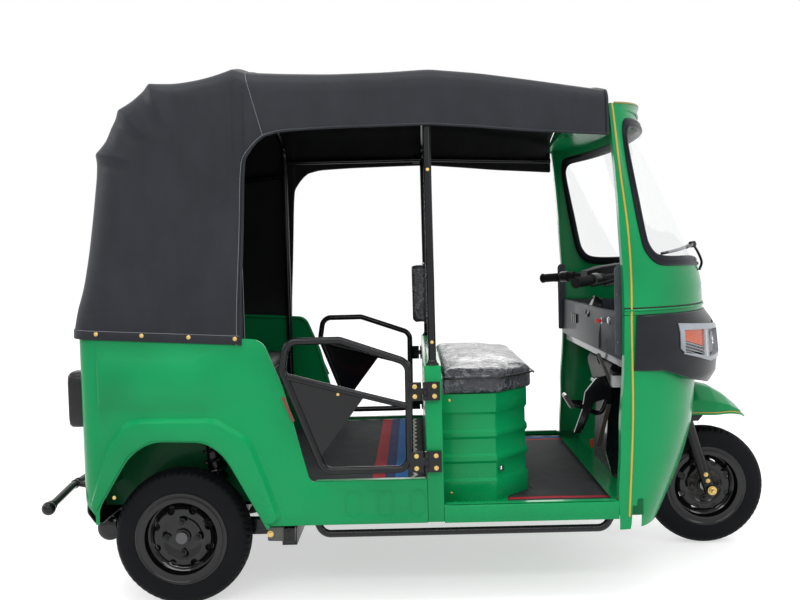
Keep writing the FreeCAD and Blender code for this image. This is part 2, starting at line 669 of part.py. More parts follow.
# Front cowl: horizontal sections of a rounded prow
COWL_SECTIONS = [
    # height, rear edge, nose, side power, nose power
    (240, -468, -258, 3.0, 2.0),
    (330, -470, -203, 3.0, 2.0),
    (430, -466, -153, 3.0, 2.0),
    (540, -461, -118, 3.0, 2.0),
    (640, -457, -103, 3.0, 2.0),
    (720, -450, -94, 2.9, 2.0),
    (830, -445, -66, 2.6, 1.85),
    (945, -442, -41, 2.4, 1.7),
    (1040, -443, -45, 2.4, 1.7),
    (1110, -446, -60, 2.4, 1.7),
    (1197, -451, -105, 2.4, 1.7),
    (1339, -458, -165, 2.4, 1.7),
    (1446, -466, -206, 2.4, 1.7),
    (1613, -480, -273, 2.4, 1.7),
    (1760, -490, -318, 2.4, 1.7),
]
SHARES = (0, 0.14, 0.28, 0.42, 0.56, 0.70, 0.81, 0.90, 0.96, 0.99, 1.0)


def prow_wire(z, back, nose, side_power, nose_power, inset=0.0, deeper=0.0):
    """A closed section: rounded nose, sides running back to a straight rear edge."""
    half = BODY_HALF_WIDTH - inset
    start = front(back) - deeper
    reach = nose - back - inset
    points = []
    for share in SHARES:
        depth = (1 - share ** side_power) ** (1 / nose_power)
        points.append((front(back) + reach * depth, half * share))
    right = [V(x, -y, z) for x, y in reversed(points)]
    left = [V(x, y, z) for x, y in points[1:]]
    curve = Part.BSplineCurve()
    curve.interpolate(right + left)
    first, last = right[0], left[-1]
    edges = [curve.toShape()]
    if deeper > 0:
        far_last, far_first = V(start, last.y, z), V(start, first.y, z)
        edges += [Part.LineSegment(last, far_last).toShape(), Part.LineSegment(far_last, far_first).toShape(),
                  Part.LineSegment(far_first, first).toShape()]
    else:
        edges.append(Part.LineSegment(last, first).toShape())
    return Part.Wire(edges)


@lru_cache
def prow(inset=0.0, deeper=0.0):
    """The cowl's block form, or a smaller one to hollow it with."""
    return lofted([prow_wire(*row, inset=inset, deeper=deeper) for row in COWL_SECTIONS])


def cowl_shell(outer_inset, inner_inset):
    """A shell between two insets of the prow, open at the back, top and bottom."""
    return prow(outer_inset).cut(prow(inner_inset, 60))


FLANGE_DEPTH = 8.0
FLANGE_INNER_Y = BODY_HALF_WIDTH - 34.0
FLANGE_CUT_HALF = BODY_HALF_WIDTH - PANEL - 0.5


@lru_cache
def flanged_shell():
    """The cowl's shell with a flange turned in along each door edge."""
    rings = []
    for z, back, *_ in COWL_SECTIONS:
        x0, x1 = front(back) - 100, front(back) + FLANGE_DEPTH
        y0, y1 = FLANGE_INNER_Y, BODY_HALF_WIDTH + 40
        rings.append(corner_wire([V(x0, y0, z), V(x1, y0, z), V(x1, y1, z), V(x0, y1, z)], [0] * 4))
    edge = lofted(rings, True)
    hollow = prow(PANEL, 60).cut(edge).cut(mirrored(edge))
    return prow().cut(hollow)


def seam_box(low, high):
    """Everything of the cowl between two heights."""
    return block(front(-700), front(300), -900, 900, low, high)


def arch_cutter():
    """The opening that the front wheel and fork turn in."""
    w = ARCH_HALF_WIDTH
    return front_prism([(-w, 100, 0), (w, 100, 0), (w, ARCH_TOP, 120), (-w, ARCH_TOP, 120)], front(-420), front(200))


def cowl_lower():
    """Lower cowl with the wheel opening and a turned-in flange at each door edge."""
    shell = flanged_shell().common(seam_box(COWL_BOTTOM, COWL_SEAM_Z - SEAT_GAP)).cut(arch_cutter())
    shell = shell.cut(block(front(-500), front(-389), -FLANGE_CUT_HALF, FLANGE_CUT_HALF, 0, DRIVER_FLOOR_Z + 1))
    return shell.cut(rod(axis_point(560), axis_point(860), STEM_R + HEAD_TUBE_WALL + 8))


def screen_prism(inset):
    """The windscreen opening, seen from the side, set in all round by inset."""
    points = [(front(-412) + inset, 1622 - inset, 34), (front(-418) + inset, 1540, 60),
              (front(-408) + inset, 1404, 400), (front(-378) + inset, 1268, 300),
              (front(-340) + inset, 1128 + inset, 50), (front(200), 1112 + inset, 0),
              (front(200), 1698 - inset, 0), (front(-310), 1698 - inset, 60)]
    return side_prism(points, -900, 900)


def cowl_upper():
    """Upper cowl: scuttle, screen pillars and header around the windscreen."""
    shell = flanged_shell().common(seam_box(COWL_SEAM_Z, 1745)).cut(screen_prism(0))
    return shell.cut(crown_cutter(-18 - SEAT_GAP))


def crown_cutter(raise_by):
    """Everything above the header's crowned top."""
    arch = Part.Arc(V(front(-700), -800, 1592 + raise_by), V(front(-700), 0, 1752 + raise_by),
                    V(front(-700), 800, 1592 + raise_by)).toShape()
    up = [Part.LineSegment(V(front(-700), 800, 1592 + raise_by), V(front(-700), 800, 2100)).toShape(),
          Part.LineSegment(V(front(-700), 800, 2100), V(front(-700), -800, 2100)).toShape(),
          Part.LineSegment(V(front(-700), -800, 2100), V(front(-700), -800, 1592 + raise_by)).toShape()]
    return Part.Face(Part.Wire([arch] + up)).extrude(V(1100, 0, 0))


SCREEN_BAND = 28.0


def windscreen_gasket():
    """The rubber seal round the windscreen."""
    shell = prow(-3.0).cut(prow(PANEL, 60))
    ring = screen_prism(0).cut(screen_prism(SCREEN_BAND))
    return shell.common(ring)


def windscreen():
    """The curved windscreen glass."""
    return cowl_shell(1.0, 6.0).common(screen_prism(SCREEN_BAND))


# Headlamp mask: a proud black prow over the cowl's middle
MASK_SECTIONS = [
    (640, -430, -112, 3.0, 2.0),
    (668, -428, -86, 2.9, 1.95),
    (695, -424, -38, 2.8, 1.9),
    (730, -418, 2, 2.7, 1.85),
    (795, -411, 13, 2.6, 1.8),
    (888, -406, 8, 2.5, 1.75),
    (918, -404, -9, 2.45, 1.72),
    (945, -402, -37, 2.4, 1.7),
    (972, -401, -48, 2.4, 1.7),
]
MASK_OUTLINE = [(-400, 964, 14), (-402, 776, 26), (-200, 731, 60), (-94, 690, 60), (-50, 664, 0), (200, 664, 0),
                (200, 950, 0), (-60, 950, 0)]


def mask_block(inset):
    """The mask's block, cut to its outline as seen from the side."""
    half_bonus = -3.0 + inset
    rows = [prow_wire(z, back, nose, a, b, inset=half_bonus) for z, back, nose, a, b in MASK_SECTIONS]
    return lofted(rows).common(side_prism([(front(p[0]), *p[1:]) for p in MASK_OUTLINE], -900, 900))


def lamp_prism():
    """The right headlamp's outline, seen from the front."""
    return front_prism([(-548, 800, 14), (-566, 910, 12), (-345, 906, 12), (-345, 790, 14)], front(-300), front(300))


def lamp_mask():
    """The black moulding across the front, hollow behind, with the two lamp openings."""
    outer = mask_block(0.0)
    rows = [prow_wire(z, back, nose, a, b, inset=5.0, deeper=60) for z, back, nose, a, b in MASK_SECTIONS]
    hollow = lofted(rows)
    shell = outer.cut(hollow).cut(prow(-SEAT_GAP))
    shell = shell.cut(lamp_prism()).cut(mirrored(lamp_prism()))
    return shell


def headlamp():
    """Right headlamp unit, a shaped block behind its lens."""
    rows = [prow_wire(z, back, nose, a, b, inset=28.0, deeper=60) for z, back, nose, a, b in MASK_SECTIONS]
    return mask_block(1.0).cut(lofted(rows)).common(lamp_prism()).cut(prow(-SEAT_GAP))


def roof_visor():
    """The header brim over the windscreen, crowned like the roof."""
    plan = Part.Face(prow_wire(1500, -484, -266, 2.4, 1.7)).extrude(V(0, 0, 400))
    return plan.cut(crown_cutter(12)).common(crown_cutter(-18))


# Driver's controls
def dash():
    """The moulded shelf under the windscreen, with a tray in its top."""
    reach = DASH_CHEEK_Y
    body = prow(PANEL + SEAT_GAP).common(block(front(-446), front(-226), -reach, reach, DASH_BOTTOM, DASH_TOP))
    tray = plan_prism([(front(-424), -560), (front(-300), -500), (front(-250), -460), (front(-250), 460),
                       (front(-300), 500), (front(-424), 560)], DASH_TOP - 80, DASH_TOP + 10, 20)
    column = rod(axis_point(DASH_BOTTOM - 90), axis_point(DASH_TOP + 90), STEM_R + 30)
    return body.cut(tray).cut(column)


DASH_CHEEK_Y = BODY_HALF_WIDTH - 40.0


def dash_cheeks():
    """The two upright trim plates at the ends of the dash, fixed to the door flanges."""
    plates = []
    for side in (-1, 1):
        y = side * DASH_CHEEK_Y
        outline = [(front(-466), 818, 6), (front(-466), 1119, 20), (front(-431), 1119, 10), (front(-431), 818, 6)]
        plates.append(side_prism(outline, y, y + side * PANEL))
    return Part.makeCompound(plates)


def front_wheel_housing():
    """The inner panel that closes the front wheel's space off from the cabin, with the head tube."""
    w, wall = ARCH_HALF_WIDTH + 8, 5.0
    rear_line = [(front(-392), 258, 0), (front(-371), 574, 60), (front(-417), 756, 40), (front(-130), 756, 0)]
    inner_line = [(front(-130), 756 - wall, 0), (front(-410), 756 - wall, 36), (front(-365), 574, 60),
                  (front(-386), 258, 0)]
    cheek = rear_line + [(front(-130), 700, 0), (front(-250), 300, 0), (front(-262), 258, 0)]
    pieces = [side_prism(rear_line + inner_line, -w, w)]
    for side in (-1, 1):
        pieces.append(side_prism(cheek, side * w, side * (w - wall)))
    brace = side_prism([(front(-416), 752, 0), (front(-140), 752, 0), (front(-140), 690, 0), (front(-396), 690, 0)],
                       -15, 15)
    whole = fused(pieces + [brace]).common(prow(PANEL + SEAT_GAP, 0.0))
    whole = whole.fuse(rod(axis_point(664), axis_point(776), STEM_R + HEAD_TUBE_WALL))
    return whole.cut(rod(axis_point(500), axis_point(900), STEM_R + RUNNING_GAP)).removeSplitter()


PEDAL_BAR_X = FRONT_AXLE_X - 399.4
PEDAL_BAR_Z = 640.0


def pedals():
    """Hanging clutch and brake pedals with their pads, on one bar across the wheel housing."""
    pieces = [rod((PEDAL_BAR_X, -240, PEDAL_BAR_Z), (PEDAL_BAR_X, 140, PEDAL_BAR_Z), 11)]
    for y, pad_x, pad_z in ((100, -510, 556), (-200, -560, 604)):
        arm = [(PEDAL_BAR_X, y, PEDAL_BAR_Z), (front(-440), y, PEDAL_BAR_Z - 90), (front(pad_x), y, pad_z)]
        pieces.append(tube(arm, 9, 24))
        pad = [(pad_x - 20, pad_z + 26, 4), (pad_x - 8, pad_z + 32, 4), (pad_x + 22, pad_z - 18, 4),
               (pad_x + 10, pad_z - 24, 4)]
        pieces.append(side_prism([(front(p[0]), p[1], p[2]) for p in pad], y - 30, y + 30))
    return fused(pieces)


# Steering
def fork_top():
    """Where the fork legs' centre line meets the crown."""
    return V(front(0), 0, TYRE_R) + AXIS_DIR * FORK_LEG


FORK_LEG = 290.0
CROWN_LOW = 502.0
CROWN_HIGH = 534.0
AXLE_R = 10.0


def fork():
    """Fork legs, crown, stem and the axle between the legs, with its nuts."""
    hub, top = V(front(0), 0, TYRE_R), fork_top()
    outside = FORK_HALF_GAP + FORK_LEG_R
    pieces = []
    for side in (-1, 1):
        offset = V(0, side * FORK_HALF_GAP, 0)
        low, high = hub + offset - AXIS_DIR * 16, top + offset
        pieces.append(rod(tuple(low), tuple(high), FORK_LEG_R))
        pieces.append(rod((hub.x, side * (FORK_HALF_GAP - 24), hub.z), (hub.x, side * outside, hub.z), 15))
        pieces.append(rod((hub.x, side * (outside - 4), hub.z), (hub.x, side * (outside + 16), hub.z), 18))
    crown = [(top.x - 50, CROWN_LOW, 8), (top.x - 60, CROWN_HIGH, 8), (top.x + 66, CROWN_HIGH, 8),
             (top.x + 40, CROWN_LOW, 8)]
    pieces.append(side_prism(crown, -outside, outside))
    pieces.append(rod(axis_point(CROWN_LOW + 10), axis_point(HANDLEBAR_Z), STEM_R))
    pieces.append(rod((hub.x, -FORK_HALF_GAP, hub.z), (hub.x, FORK_HALF_GAP, hub.z), AXLE_R))
    pieces.append(rod(axis_point(CROWN_HIGH), axis_point(650), STEM_R + 7))
    return fused(pieces)


def handlebar():
    """Swept-back bar with its cover, grips and levers."""
    top = axis_point(HANDLEBAR_Z)
    bar = [(top.x, 0, 1084), (front(-340), 170, 1078), (front(-486), 340, 1064), (front(-562), 412, 1058)]
    route = [(x, -y, z) for x, y, z in reversed(bar[1:])] + bar
    pieces = [tube(route, 12, 60)]
    for side in (-1, 1):
        bend, start, end = [V(x, side * y, z) for x, y, z in bar[1:]]
        along = (end - start).normalize()
        inward = (bend - start).normalize()
        pieces.append(rod(tuple(start + along * 16), tuple(end + along * 4), GRIP_R))
        pieces.append(rod(tuple(start + inward * 66), tuple(start + inward * 34), GRIP_R + 2))
        lever = start + inward * 50
        pieces.append(tube([tuple(lever), tuple(lever + V(54, side * 16, -6)), tuple(end + V(56, side * 6, -12))],
                           5.5, 8))
    rows = ((52, 40, 1082, 24), (20, 95, 1084, 36), (-60, 122, 1082, 38), (-150, 108, 1076, 32), (-205, 70, 1070, 22))
    pieces.append(lofted([oval(top.x + x, w, z, h) for x, w, z, h in rows], True))
    return fused(pieces).cut(rod(axis_point(900), axis_point(HANDLEBAR_Z), STEM_R))


GRIP_R = 17.0


def oval(x, half_width, z, half_height):
    """An upright oval section at a station."""
    return corner_wire([V(x, -half_width, z - half_height), V(x, half_width, z - half_height),
                        V(x, half_width, z + half_height), V(x, -half_width, z + half_height)],
                       [half_height * 0.8] * 4)


MUDGUARD_WALL = 4.0
# Each station: distance from the front axle, crest height, edge height, half width
MUDGUARD_STATIONS = [(-92, 641, 528, 126), (-40, 645, 528, 130), (20, 630, 527, 130), (77, 596, 528, 116),
                     (128, 553, 517, 80), (160, 516, 500, 28)]


def mudguard_form(inset):
    """The beak as a block, set in by a wall and open below."""
    wires = []
    for x, crest, edge, half in MUDGUARD_STATIONS:
        h, top, low = half - inset, crest - inset * 1.4, edge - (3 if inset else 0)
        side = low + (top - low) * 0.48
        points = [(-h, low), (-h, side), (-h * 0.42, top - 8), (0, top), (h * 0.42, top - 8), (h, side), (h, low)]
        corners = [V(front(x), y, z) for y, z in points]
        wires.append(Part.makePolygon(corners + [corners[0]]))
    return lofted(wires, True)


def front_mudguard():
    """The beaked mudguard carried by the fork crown, with its bracket."""
    shell = mudguard_form(0.0).cut(mudguard_form(MUDGUARD_WALL))
    x = fork_top().x
    bracket = block(x + 34, x + 58, -24, 24, CROWN_HIGH, 660).common(mudguard_form(MUDGUARD_WALL - 1))
    shell = shell.cut(rod(axis_point(500), axis_point(760), STEM_R + 7 + SEAT_GAP))
    return shell.fuse(bracket).removeSplitter()


# Wheels
RIM_HALF = 52.0


def tyre(x, z, y):
    """A tyre as a closed ring with rounded shoulders."""
    half = TYRE_WIDTH / 2
    profile = [(RIM_SEAT_R, -RIM_HALF + 4, 0), (RIM_FLANGE_R + 2, -RIM_HALF + 2, 6), (TYRE_R - 52, -half, 34),
               (TYRE_R - 8, -half + 12, 20), (TYRE_R, -20, 20), (TYRE_R, 20, 20), (TYRE_R - 8, half - 12, 20),
               (TYRE_R - 52, half, 34), (RIM_FLANGE_R + 2, RIM_HALF - 2, 6), (RIM_SEAT_R, RIM_HALF - 4, 0)]
    return turned(profile, x, z, y)


def rim(x, z, y, side, bore_r, windows):
    """A pressed wheel: barrel with flanges, dished disc, round windows and a hub with its drum."""
    w = RIM_HALF
    s = side
    barrel = [(RIM_SEAT_R, -w + 3.6), (RIM_FLANGE_R, -w + 1), (RIM_FLANGE_R, -w - 3), (RIM_SEAT_R - 3, -w - 3),
              (RIM_SEAT_R - 6, -20), (RIM_SEAT_R - 22, -12), (RIM_SEAT_R - 22, 12), (RIM_SEAT_R - 6, 20),
              (RIM_SEAT_R - 3, w + 3), (RIM_FLANGE_R, w + 3), (RIM_FLANGE_R, w - 1), (RIM_SEAT_R, w - 3.6),
              (RIM_SEAT_R - 0.5, 24), (RIM_SEAT_R - 16, 15), (RIM_SEAT_R - 16, -15), (RIM_SEAT_R - 0.5, -24)]
    disc = [(bore_r, s * 22), (58, s * 22), (74, s * 30), (96, s * 30), (RIM_SEAT_R - 21, s * 6),
            (RIM_SEAT_R - 21, s * -2), (92, s * 22), (78, s * 22), (62, s * 14), (bore_r, s * 14)]
    drum = [(bore_r, s * 14), (84, s * 14), (88, s * -34), (80, s * -34), (70, s * 2), (bore_r, s * 2)]
    hub = [(bore_r, s * 34), (26, s * 34), (28, s * 22), (28, s * -30), (bore_r, s * -30)]
    whole = fused([turned(barrel, x, z, y), turned(disc, x, z, y), turned(drum, x, z, y), turned(hub, x, z, y)])
    for k in range(windows):
        turn = 2 * math.pi * (k + 0.5) / windows
        cx, cz = x + 96 * math.cos(turn), z + 96 * math.sin(turn)
        whole = whole.cut(rod((cx, y - 60, cz), (cx, y + 60, cz), 13).common(
            block(x - 200, x + 200, min(y + s * 4, y + s * 60), max(y + s * 4, y + s * 60), z - 200, z + 200)))
    for k in range(4):
        turn = 2 * math.pi * k / 4
        cx, cz = x + 53 * math.cos(turn), z + 53 * math.sin(turn)
        nut = rod((cx, y + s * 20, cz), (cx, y + s * 33, cz), 9)
        whole = whole.fuse(nut)
    return whole.removeSplitter()


AXLE_BORE_R = 14.0


def rear_axles():
    """Drive shafts from the engine to the wheel hubs, each with its outer stub."""
    wheel_y = REAR_TRACK / 2
    pieces = []
    for side in (-1, 1):
        pieces.append(rod((rear(0), side * 175, TYRE_R), (rear(0), side * (wheel_y + 40), TYRE_R), AXLE_BORE_R))
        pieces.append(rod((rear(0), side * 175, TYRE_R), (rear(0), side * 222, TYRE_R), 25))
        pieces.append(rod((rear(0), side * 425, TYRE_R), (rear(0), side * 500, TYRE_R), 34))
        pieces.append(rod((rear(0), side * (wheel_y + 34.6), TYRE_R), (rear(0), side * (wheel_y + 46), TYRE_R), 20))
    right = fused(pieces[:4])
    left = fused(pieces[4:])
    return Part.makeCompound([right, left])


def rear_suspension():
    """Trailing arms from the cross tube to the hubs, with a strut over each."""
    sides = []
    for side in (-1, 1):
        y = side * 458
        arm = [(CROSS_TUBE_X - 25, 205, 0), (CROSS_TUBE_X - 25, 255, 0), (rear(60), 262, 20), (rear(60), 204, 20)]
        solid = side_prism(arm, y - 20, y + 20)
        boss = rod((rear(0), y - 20, TYRE_R), (rear(0), y + 20, TYRE_R), 62)
        strut = rod((rear(110), y, 235), (rear(84), y, 560), 26)
        stem = rod((rear(84), y, 550), (rear(80), y, 600), 10)
        seat = rod((rear(80), y, 596), (rear(80), y, HOUSING_TOP - PANEL), 24)
        whole = fused([solid, boss, strut, stem, seat])
        sides.append(whole.cut(rod((rear(0), y - 60, TYRE_R), (rear(0), y + 60, TYRE_R), 34)))
    return Part.makeCompound(sides)


def engine_block():
    """The engine and gearbox as one plain block in the rear, hung from the rails."""
    body = rounded_block(rear(-200), rear(150), -175, 175, 190, 560, 24)
    hanger = block(rear(-60), rear(60), -RAIL_Y + RAIL / 2, RAIL_Y - RAIL / 2, 270, 300)
    return body.fuse(hanger).removeSplitter()


def muffler():
    """The silencer across the back, with its pipe to the engine."""
    x, z = rear(-287), 236
    can = rod((x, -470, z), (x, 180, z), 40)
    can = can.makeFillet(14, can.Edges)
    pipe = tube([(x + 20, -60, z + 6), (x + 52, -60, z + 10), (rear(-200) - SEAT_GAP, -60, z + 10)], 14, 40)
    return can.fuse(pipe).removeSplitter()


BUMPER_R = 14.0
BUMPER_BALL_R = 24.0
BUMPER_STAY_R = 11.0


def bumper_stay(side, radius):
    """One stay from the bumper bar to the end of a chassis rail."""
    y = side * RAIL_Y
    return rod((rear(-REAR_OVERHANG + BUMPER_BALL_R), y, 348), (RAIL_REAR_X, y, RAIL_TOP - 13), radius)


def rear_bumper():
    """The rear bumper bar with ball ends and its two stays."""
    x = rear(-REAR_OVERHANG + BUMPER_BALL_R)
    bar = tube([(x, -520, 324), (x, -300, 348), (x, 300, 348), (x, 520, 324)], BUMPER_R, 200)
    balls = [Part.makeSphere(BUMPER_BALL_R, V(x, side * 520, 324)) for side in (-1, 1)]
    stays = [bumper_stay(side, BUMPER_STAY_R).cut(block(RAIL_REAR_X, RAIL_REAR_X + 60, -400, 400, 200, 400))
             for side in (-1, 1)]
    return fused([bar] + balls + stays)


def rear_valance():
    """The black apron under the rear wall, with holes for the bumper stays."""
    outer = [(TUB_REAR_X + 1, 381.7, 0), (TUB_REAR_X - 2, 320, 26), (rear(-300), 282, 14), (rear(-274), 282, 0),
             (rear(-274), 286, 0), (rear(-298), 286, 12), (TUB_REAR_X + 3, 322, 22), (TUB_REAR_X + 6, 381.7, 0)]
    apron = side_prism(outer, -575, 575)
    for side in (-1, 1):
        apron = apron.cut(bumper_stay(side, BUMPER_STAY_R + SEAT_GAP))
    return apron


def tail_lamp():
    """Right tail lamp housing on the rear wall."""
    lamp = block(TUB_REAR_X - 57, TUB_REAR_X - SEAT_GAP, -565, -455, 609, 802)
    rear_edges = [e for e in lamp.Edges if e.CenterOfMass.x < TUB_REAR_X - 20]
    return lamp.makeFillet(18, rear_edges)


SIDE_BAR_R = 12.5


def side_bar():
    """Right side bar under the sill, with its ends turned up."""
    y = -(INNER_HALF_WIDTH - SEAT_GAP - SIDE_BAR_R)
    return tube([(post(-402), y, 296), (post(-382), y, 243), (front(-515), y, 243), (front(-486), y, 296)],
                SIDE_BAR_R, 40)


# Door guards
GUARD_Y = BODY_HALF_WIDTH
HINGE_X = POST_X - PARTITION_DEPTH / 2 + 1.0
HINGE_Y = BODY_HALF_WIDTH + 15.0
HINGE_ZS = ((690, 751), (451, 520))
GUARD_TUBE_R = 12.5


def guard_points():
    """The guard's closed tube route as (offset from the post, height)."""
    return [(-484, 895), (-305, 895), (-80, 815), (-84, 460), (-370, 460), (-500, 800)]


def door_guard():
    """Right door guard: a closed tube loop, a middle bar, a plate and two hinge leaves."""
    y = -GUARD_Y
    loop = tube([(post(px), y, pz) for px, pz in guard_points()], GUARD_TUBE_R, 42, True)
    bar = rod((post(-490), y, 780), (post(-86), y, 671), GUARD_TUBE_R - 1.5)
    plate = side_prism([(post(-486), 778), (post(-228), 706), (post(-386), 500), (post(-404), 532)], y - 2, y + 2)
    pieces = [loop, bar, plate]
    for z0, z1 in HINGE_ZS:
        third = (z1 - z0) / 3
        leaf = block(post(-84), HINGE_X - 3, -HINGE_Y - 2, -HINGE_Y + 4, z0, z1)
        gap_cut = [block(HINGE_X - 12, HINGE_X + 12, -HINGE_Y - 12, -HINGE_Y + 12, z0 - 1, z0 + third),
                   block(HINGE_X - 12, HINGE_X + 12, -HINGE_Y - 12, -HINGE_Y + 12, z1 - third, z1 + 1)]
        barrel = rod((HINGE_X, -HINGE_Y, z0 + third + 0.4), (HINGE_X, -HINGE_Y, z1 - third - 0.4), 7)
        leaf = leaf.cut(gap_cut[0]).cut(gap_cut[1]).fuse(barrel)
        leaf = leaf.cut(rod((HINGE_X, -HINGE_Y, z0), (HINGE_X, -HINGE_Y, z1), 3 + RUNNING_GAP))
        pieces.append(leaf)
    return fused(pieces)


def hinge_brackets():
    """The fixed hinge leaves and pins on the right side of the partition."""
    sets = []
    for z0, z1 in HINGE_ZS:
        third = (z1 - z0) / 3
        leaf = block(HINGE_X + 7, post(22), -HINGE_Y - 2, -BODY_HALF_WIDTH, z0, z1)
        pieces = [leaf]
        for low, high in ((z0, z0 + third - 0.4), (z1 - third + 0.4, z1)):
            pieces.append(rod((HINGE_X, -HINGE_Y, low), (HINGE_X, -HINGE_Y, high), 7))
            pieces.append(block(HINGE_X, HINGE_X + 8, -HINGE_Y - 2, -HINGE_Y + 4, low, high))
        pieces.append(rod((HINGE_X, -HINGE_Y, z0), (HINGE_X, -HINGE_Y, z1), 3))
        sets.append(fused(pieces))
    return sets


# Build
def pair(shape):
    """A right-hand piece and its mirror image in one node."""
    return Part.makeCompound([shape, mirrored(shape)])


def build():
    """Every node of the vehicle by name."""
    wheel_y = REAR_TRACK / 2
    right_side = body_side()
    brackets = hinge_brackets()
    nodes = {
        "chassis_frame": chassis_frame(),
        "passenger_floor": passenger_floor(),
        "driver_floor": driver_floor(),
        "partition": partition(),
        "body_side_right": right_side,
        "body_side_left": mirrored(right_side),
        "rear_panel": rear_panel(),
        "rear_hatch": rear_hatch(),
        "rear_wheel_housings": pair(rear_wheel_housing()),
        "seat_deck": seat_deck(),
        "rear_seat_cushion": rear_seat_cushion(),
        "rear_seat_back": rear_seat_back(),
        "passenger_mat": passenger_mat(),
        "driver_mat": driver_mat(),
        "driver_seat_box": driver_seat_box(),
        "driver_seat_cushion": driver_seat_cushion(),
        "driver_backrest": driver_backrest(),
        "cowl_lower": cowl_lower(),
        "cowl_upper": cowl_upper(),
        "windscreen": windscreen(),
        "windscreen_gasket": windscreen_gasket(),
        "lamp_mask": lamp_mask(),
        "headlamps": pair(headlamp()),
        "roof_visor": roof_visor(),
        "dash": dash(),
        "dash_cheeks": dash_cheeks(),
        "front_wheel_housing": front_wheel_housing(),
        "pedals": pedals(),
        "fork": fork(),
        "handlebar": handlebar(),
        "front_mudguard": front_mudguard(),
        "front_rim": rim(FRONT_AXLE_X, TYRE_R, 0, -1, 10 + RUNNING_GAP, 8),
        "front_tyre": tyre(FRONT_AXLE_X, TYRE_R, 0),
        "rear_rim_right": rim(REAR_AXLE_X, TYRE_R, -wheel_y, -1, AXLE_BORE_R + RUNNING_GAP, 8),
        "rear_rim_left": rim(REAR_AXLE_X, TYRE_R, wheel_y, 1, AXLE_BORE_R + RUNNING_GAP, 8),
        "rear_tyre_right": tyre(REAR_AXLE_X, TYRE_R, -wheel_y),
        "rear_tyre_left": tyre(REAR_AXLE_X, TYRE_R, wheel_y),
        "rear_axles": rear_axles(),
        "rear_suspension": rear_suspension(),
        "engine_block": engine_block(),
        "muffler": muffler(),
        "rear_bumper": rear_bumper(),
        "rear_valance": rear_valance(),
        "tail_lamps": pair(tail_lamp()),
        "side_bars": pair(side_bar()),
        "door_guard_right": door_guard(),
        "door_guard_left": mirrored(door_guard()),
        "hinge_brackets": Part.makeCompound(brackets + [mirrored(b) for b in brackets]),
        "roof_frame": roof_frame(),
        "canopy": canopy(),
        "rear_window": rear_window(),
    }
    return nodes


os.makedirs("parts", exist_ok=True)
for name, shape in build().items():
    shape.exportStep(f"parts/{name}.step")
    print(f"{name}: {len(shape.Solids)} solid(s), valid {shape.isValid()}, {shape.Volume / 1e6:.2f} litres")
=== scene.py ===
"""Blender look of the auto rickshaw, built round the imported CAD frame.

Every length is in metres in the vehicle's own frame: +X forward, +Y to its left, +Z up.
"""

import json
import logging
import math
from collections.abc import Sequence
from dataclasses import dataclass
from enum import Enum

import bmesh
import bpy
import numpy as np
from mathutils import Matrix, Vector
from mathutils.geometry import delaunay_2d_cdt

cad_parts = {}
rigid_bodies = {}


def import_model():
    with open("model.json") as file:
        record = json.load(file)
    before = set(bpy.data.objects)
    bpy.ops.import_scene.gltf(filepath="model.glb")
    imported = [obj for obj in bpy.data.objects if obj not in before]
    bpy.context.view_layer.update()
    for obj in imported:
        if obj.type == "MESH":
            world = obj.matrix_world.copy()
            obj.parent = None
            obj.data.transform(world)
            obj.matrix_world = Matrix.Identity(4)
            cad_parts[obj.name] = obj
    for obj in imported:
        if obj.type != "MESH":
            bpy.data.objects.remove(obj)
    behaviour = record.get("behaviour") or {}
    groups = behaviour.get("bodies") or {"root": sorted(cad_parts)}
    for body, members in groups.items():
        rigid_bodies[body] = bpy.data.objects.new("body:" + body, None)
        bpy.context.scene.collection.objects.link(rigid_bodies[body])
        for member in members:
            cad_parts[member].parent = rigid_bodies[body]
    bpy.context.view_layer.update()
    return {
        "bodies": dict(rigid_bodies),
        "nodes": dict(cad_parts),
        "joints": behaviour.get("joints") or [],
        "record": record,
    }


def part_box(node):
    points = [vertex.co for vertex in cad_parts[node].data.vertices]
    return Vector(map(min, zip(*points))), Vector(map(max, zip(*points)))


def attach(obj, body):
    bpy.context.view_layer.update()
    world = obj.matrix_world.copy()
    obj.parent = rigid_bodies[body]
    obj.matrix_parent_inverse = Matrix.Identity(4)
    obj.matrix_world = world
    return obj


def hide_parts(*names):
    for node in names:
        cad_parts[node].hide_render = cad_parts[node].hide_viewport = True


LOG = logging.getLogger("auto_rickshaw")
Point = tuple[float, float, float]
Colour = tuple[float, float, float]
Number = "Value | float"

REAR_AXLE_X = -0.835
FRONT_AXLE_X = 1.108
POST_X = 0.030
HALF_WIDTH = 0.640
TYRE_R = 0.232
TRACK_HALF = 0.554


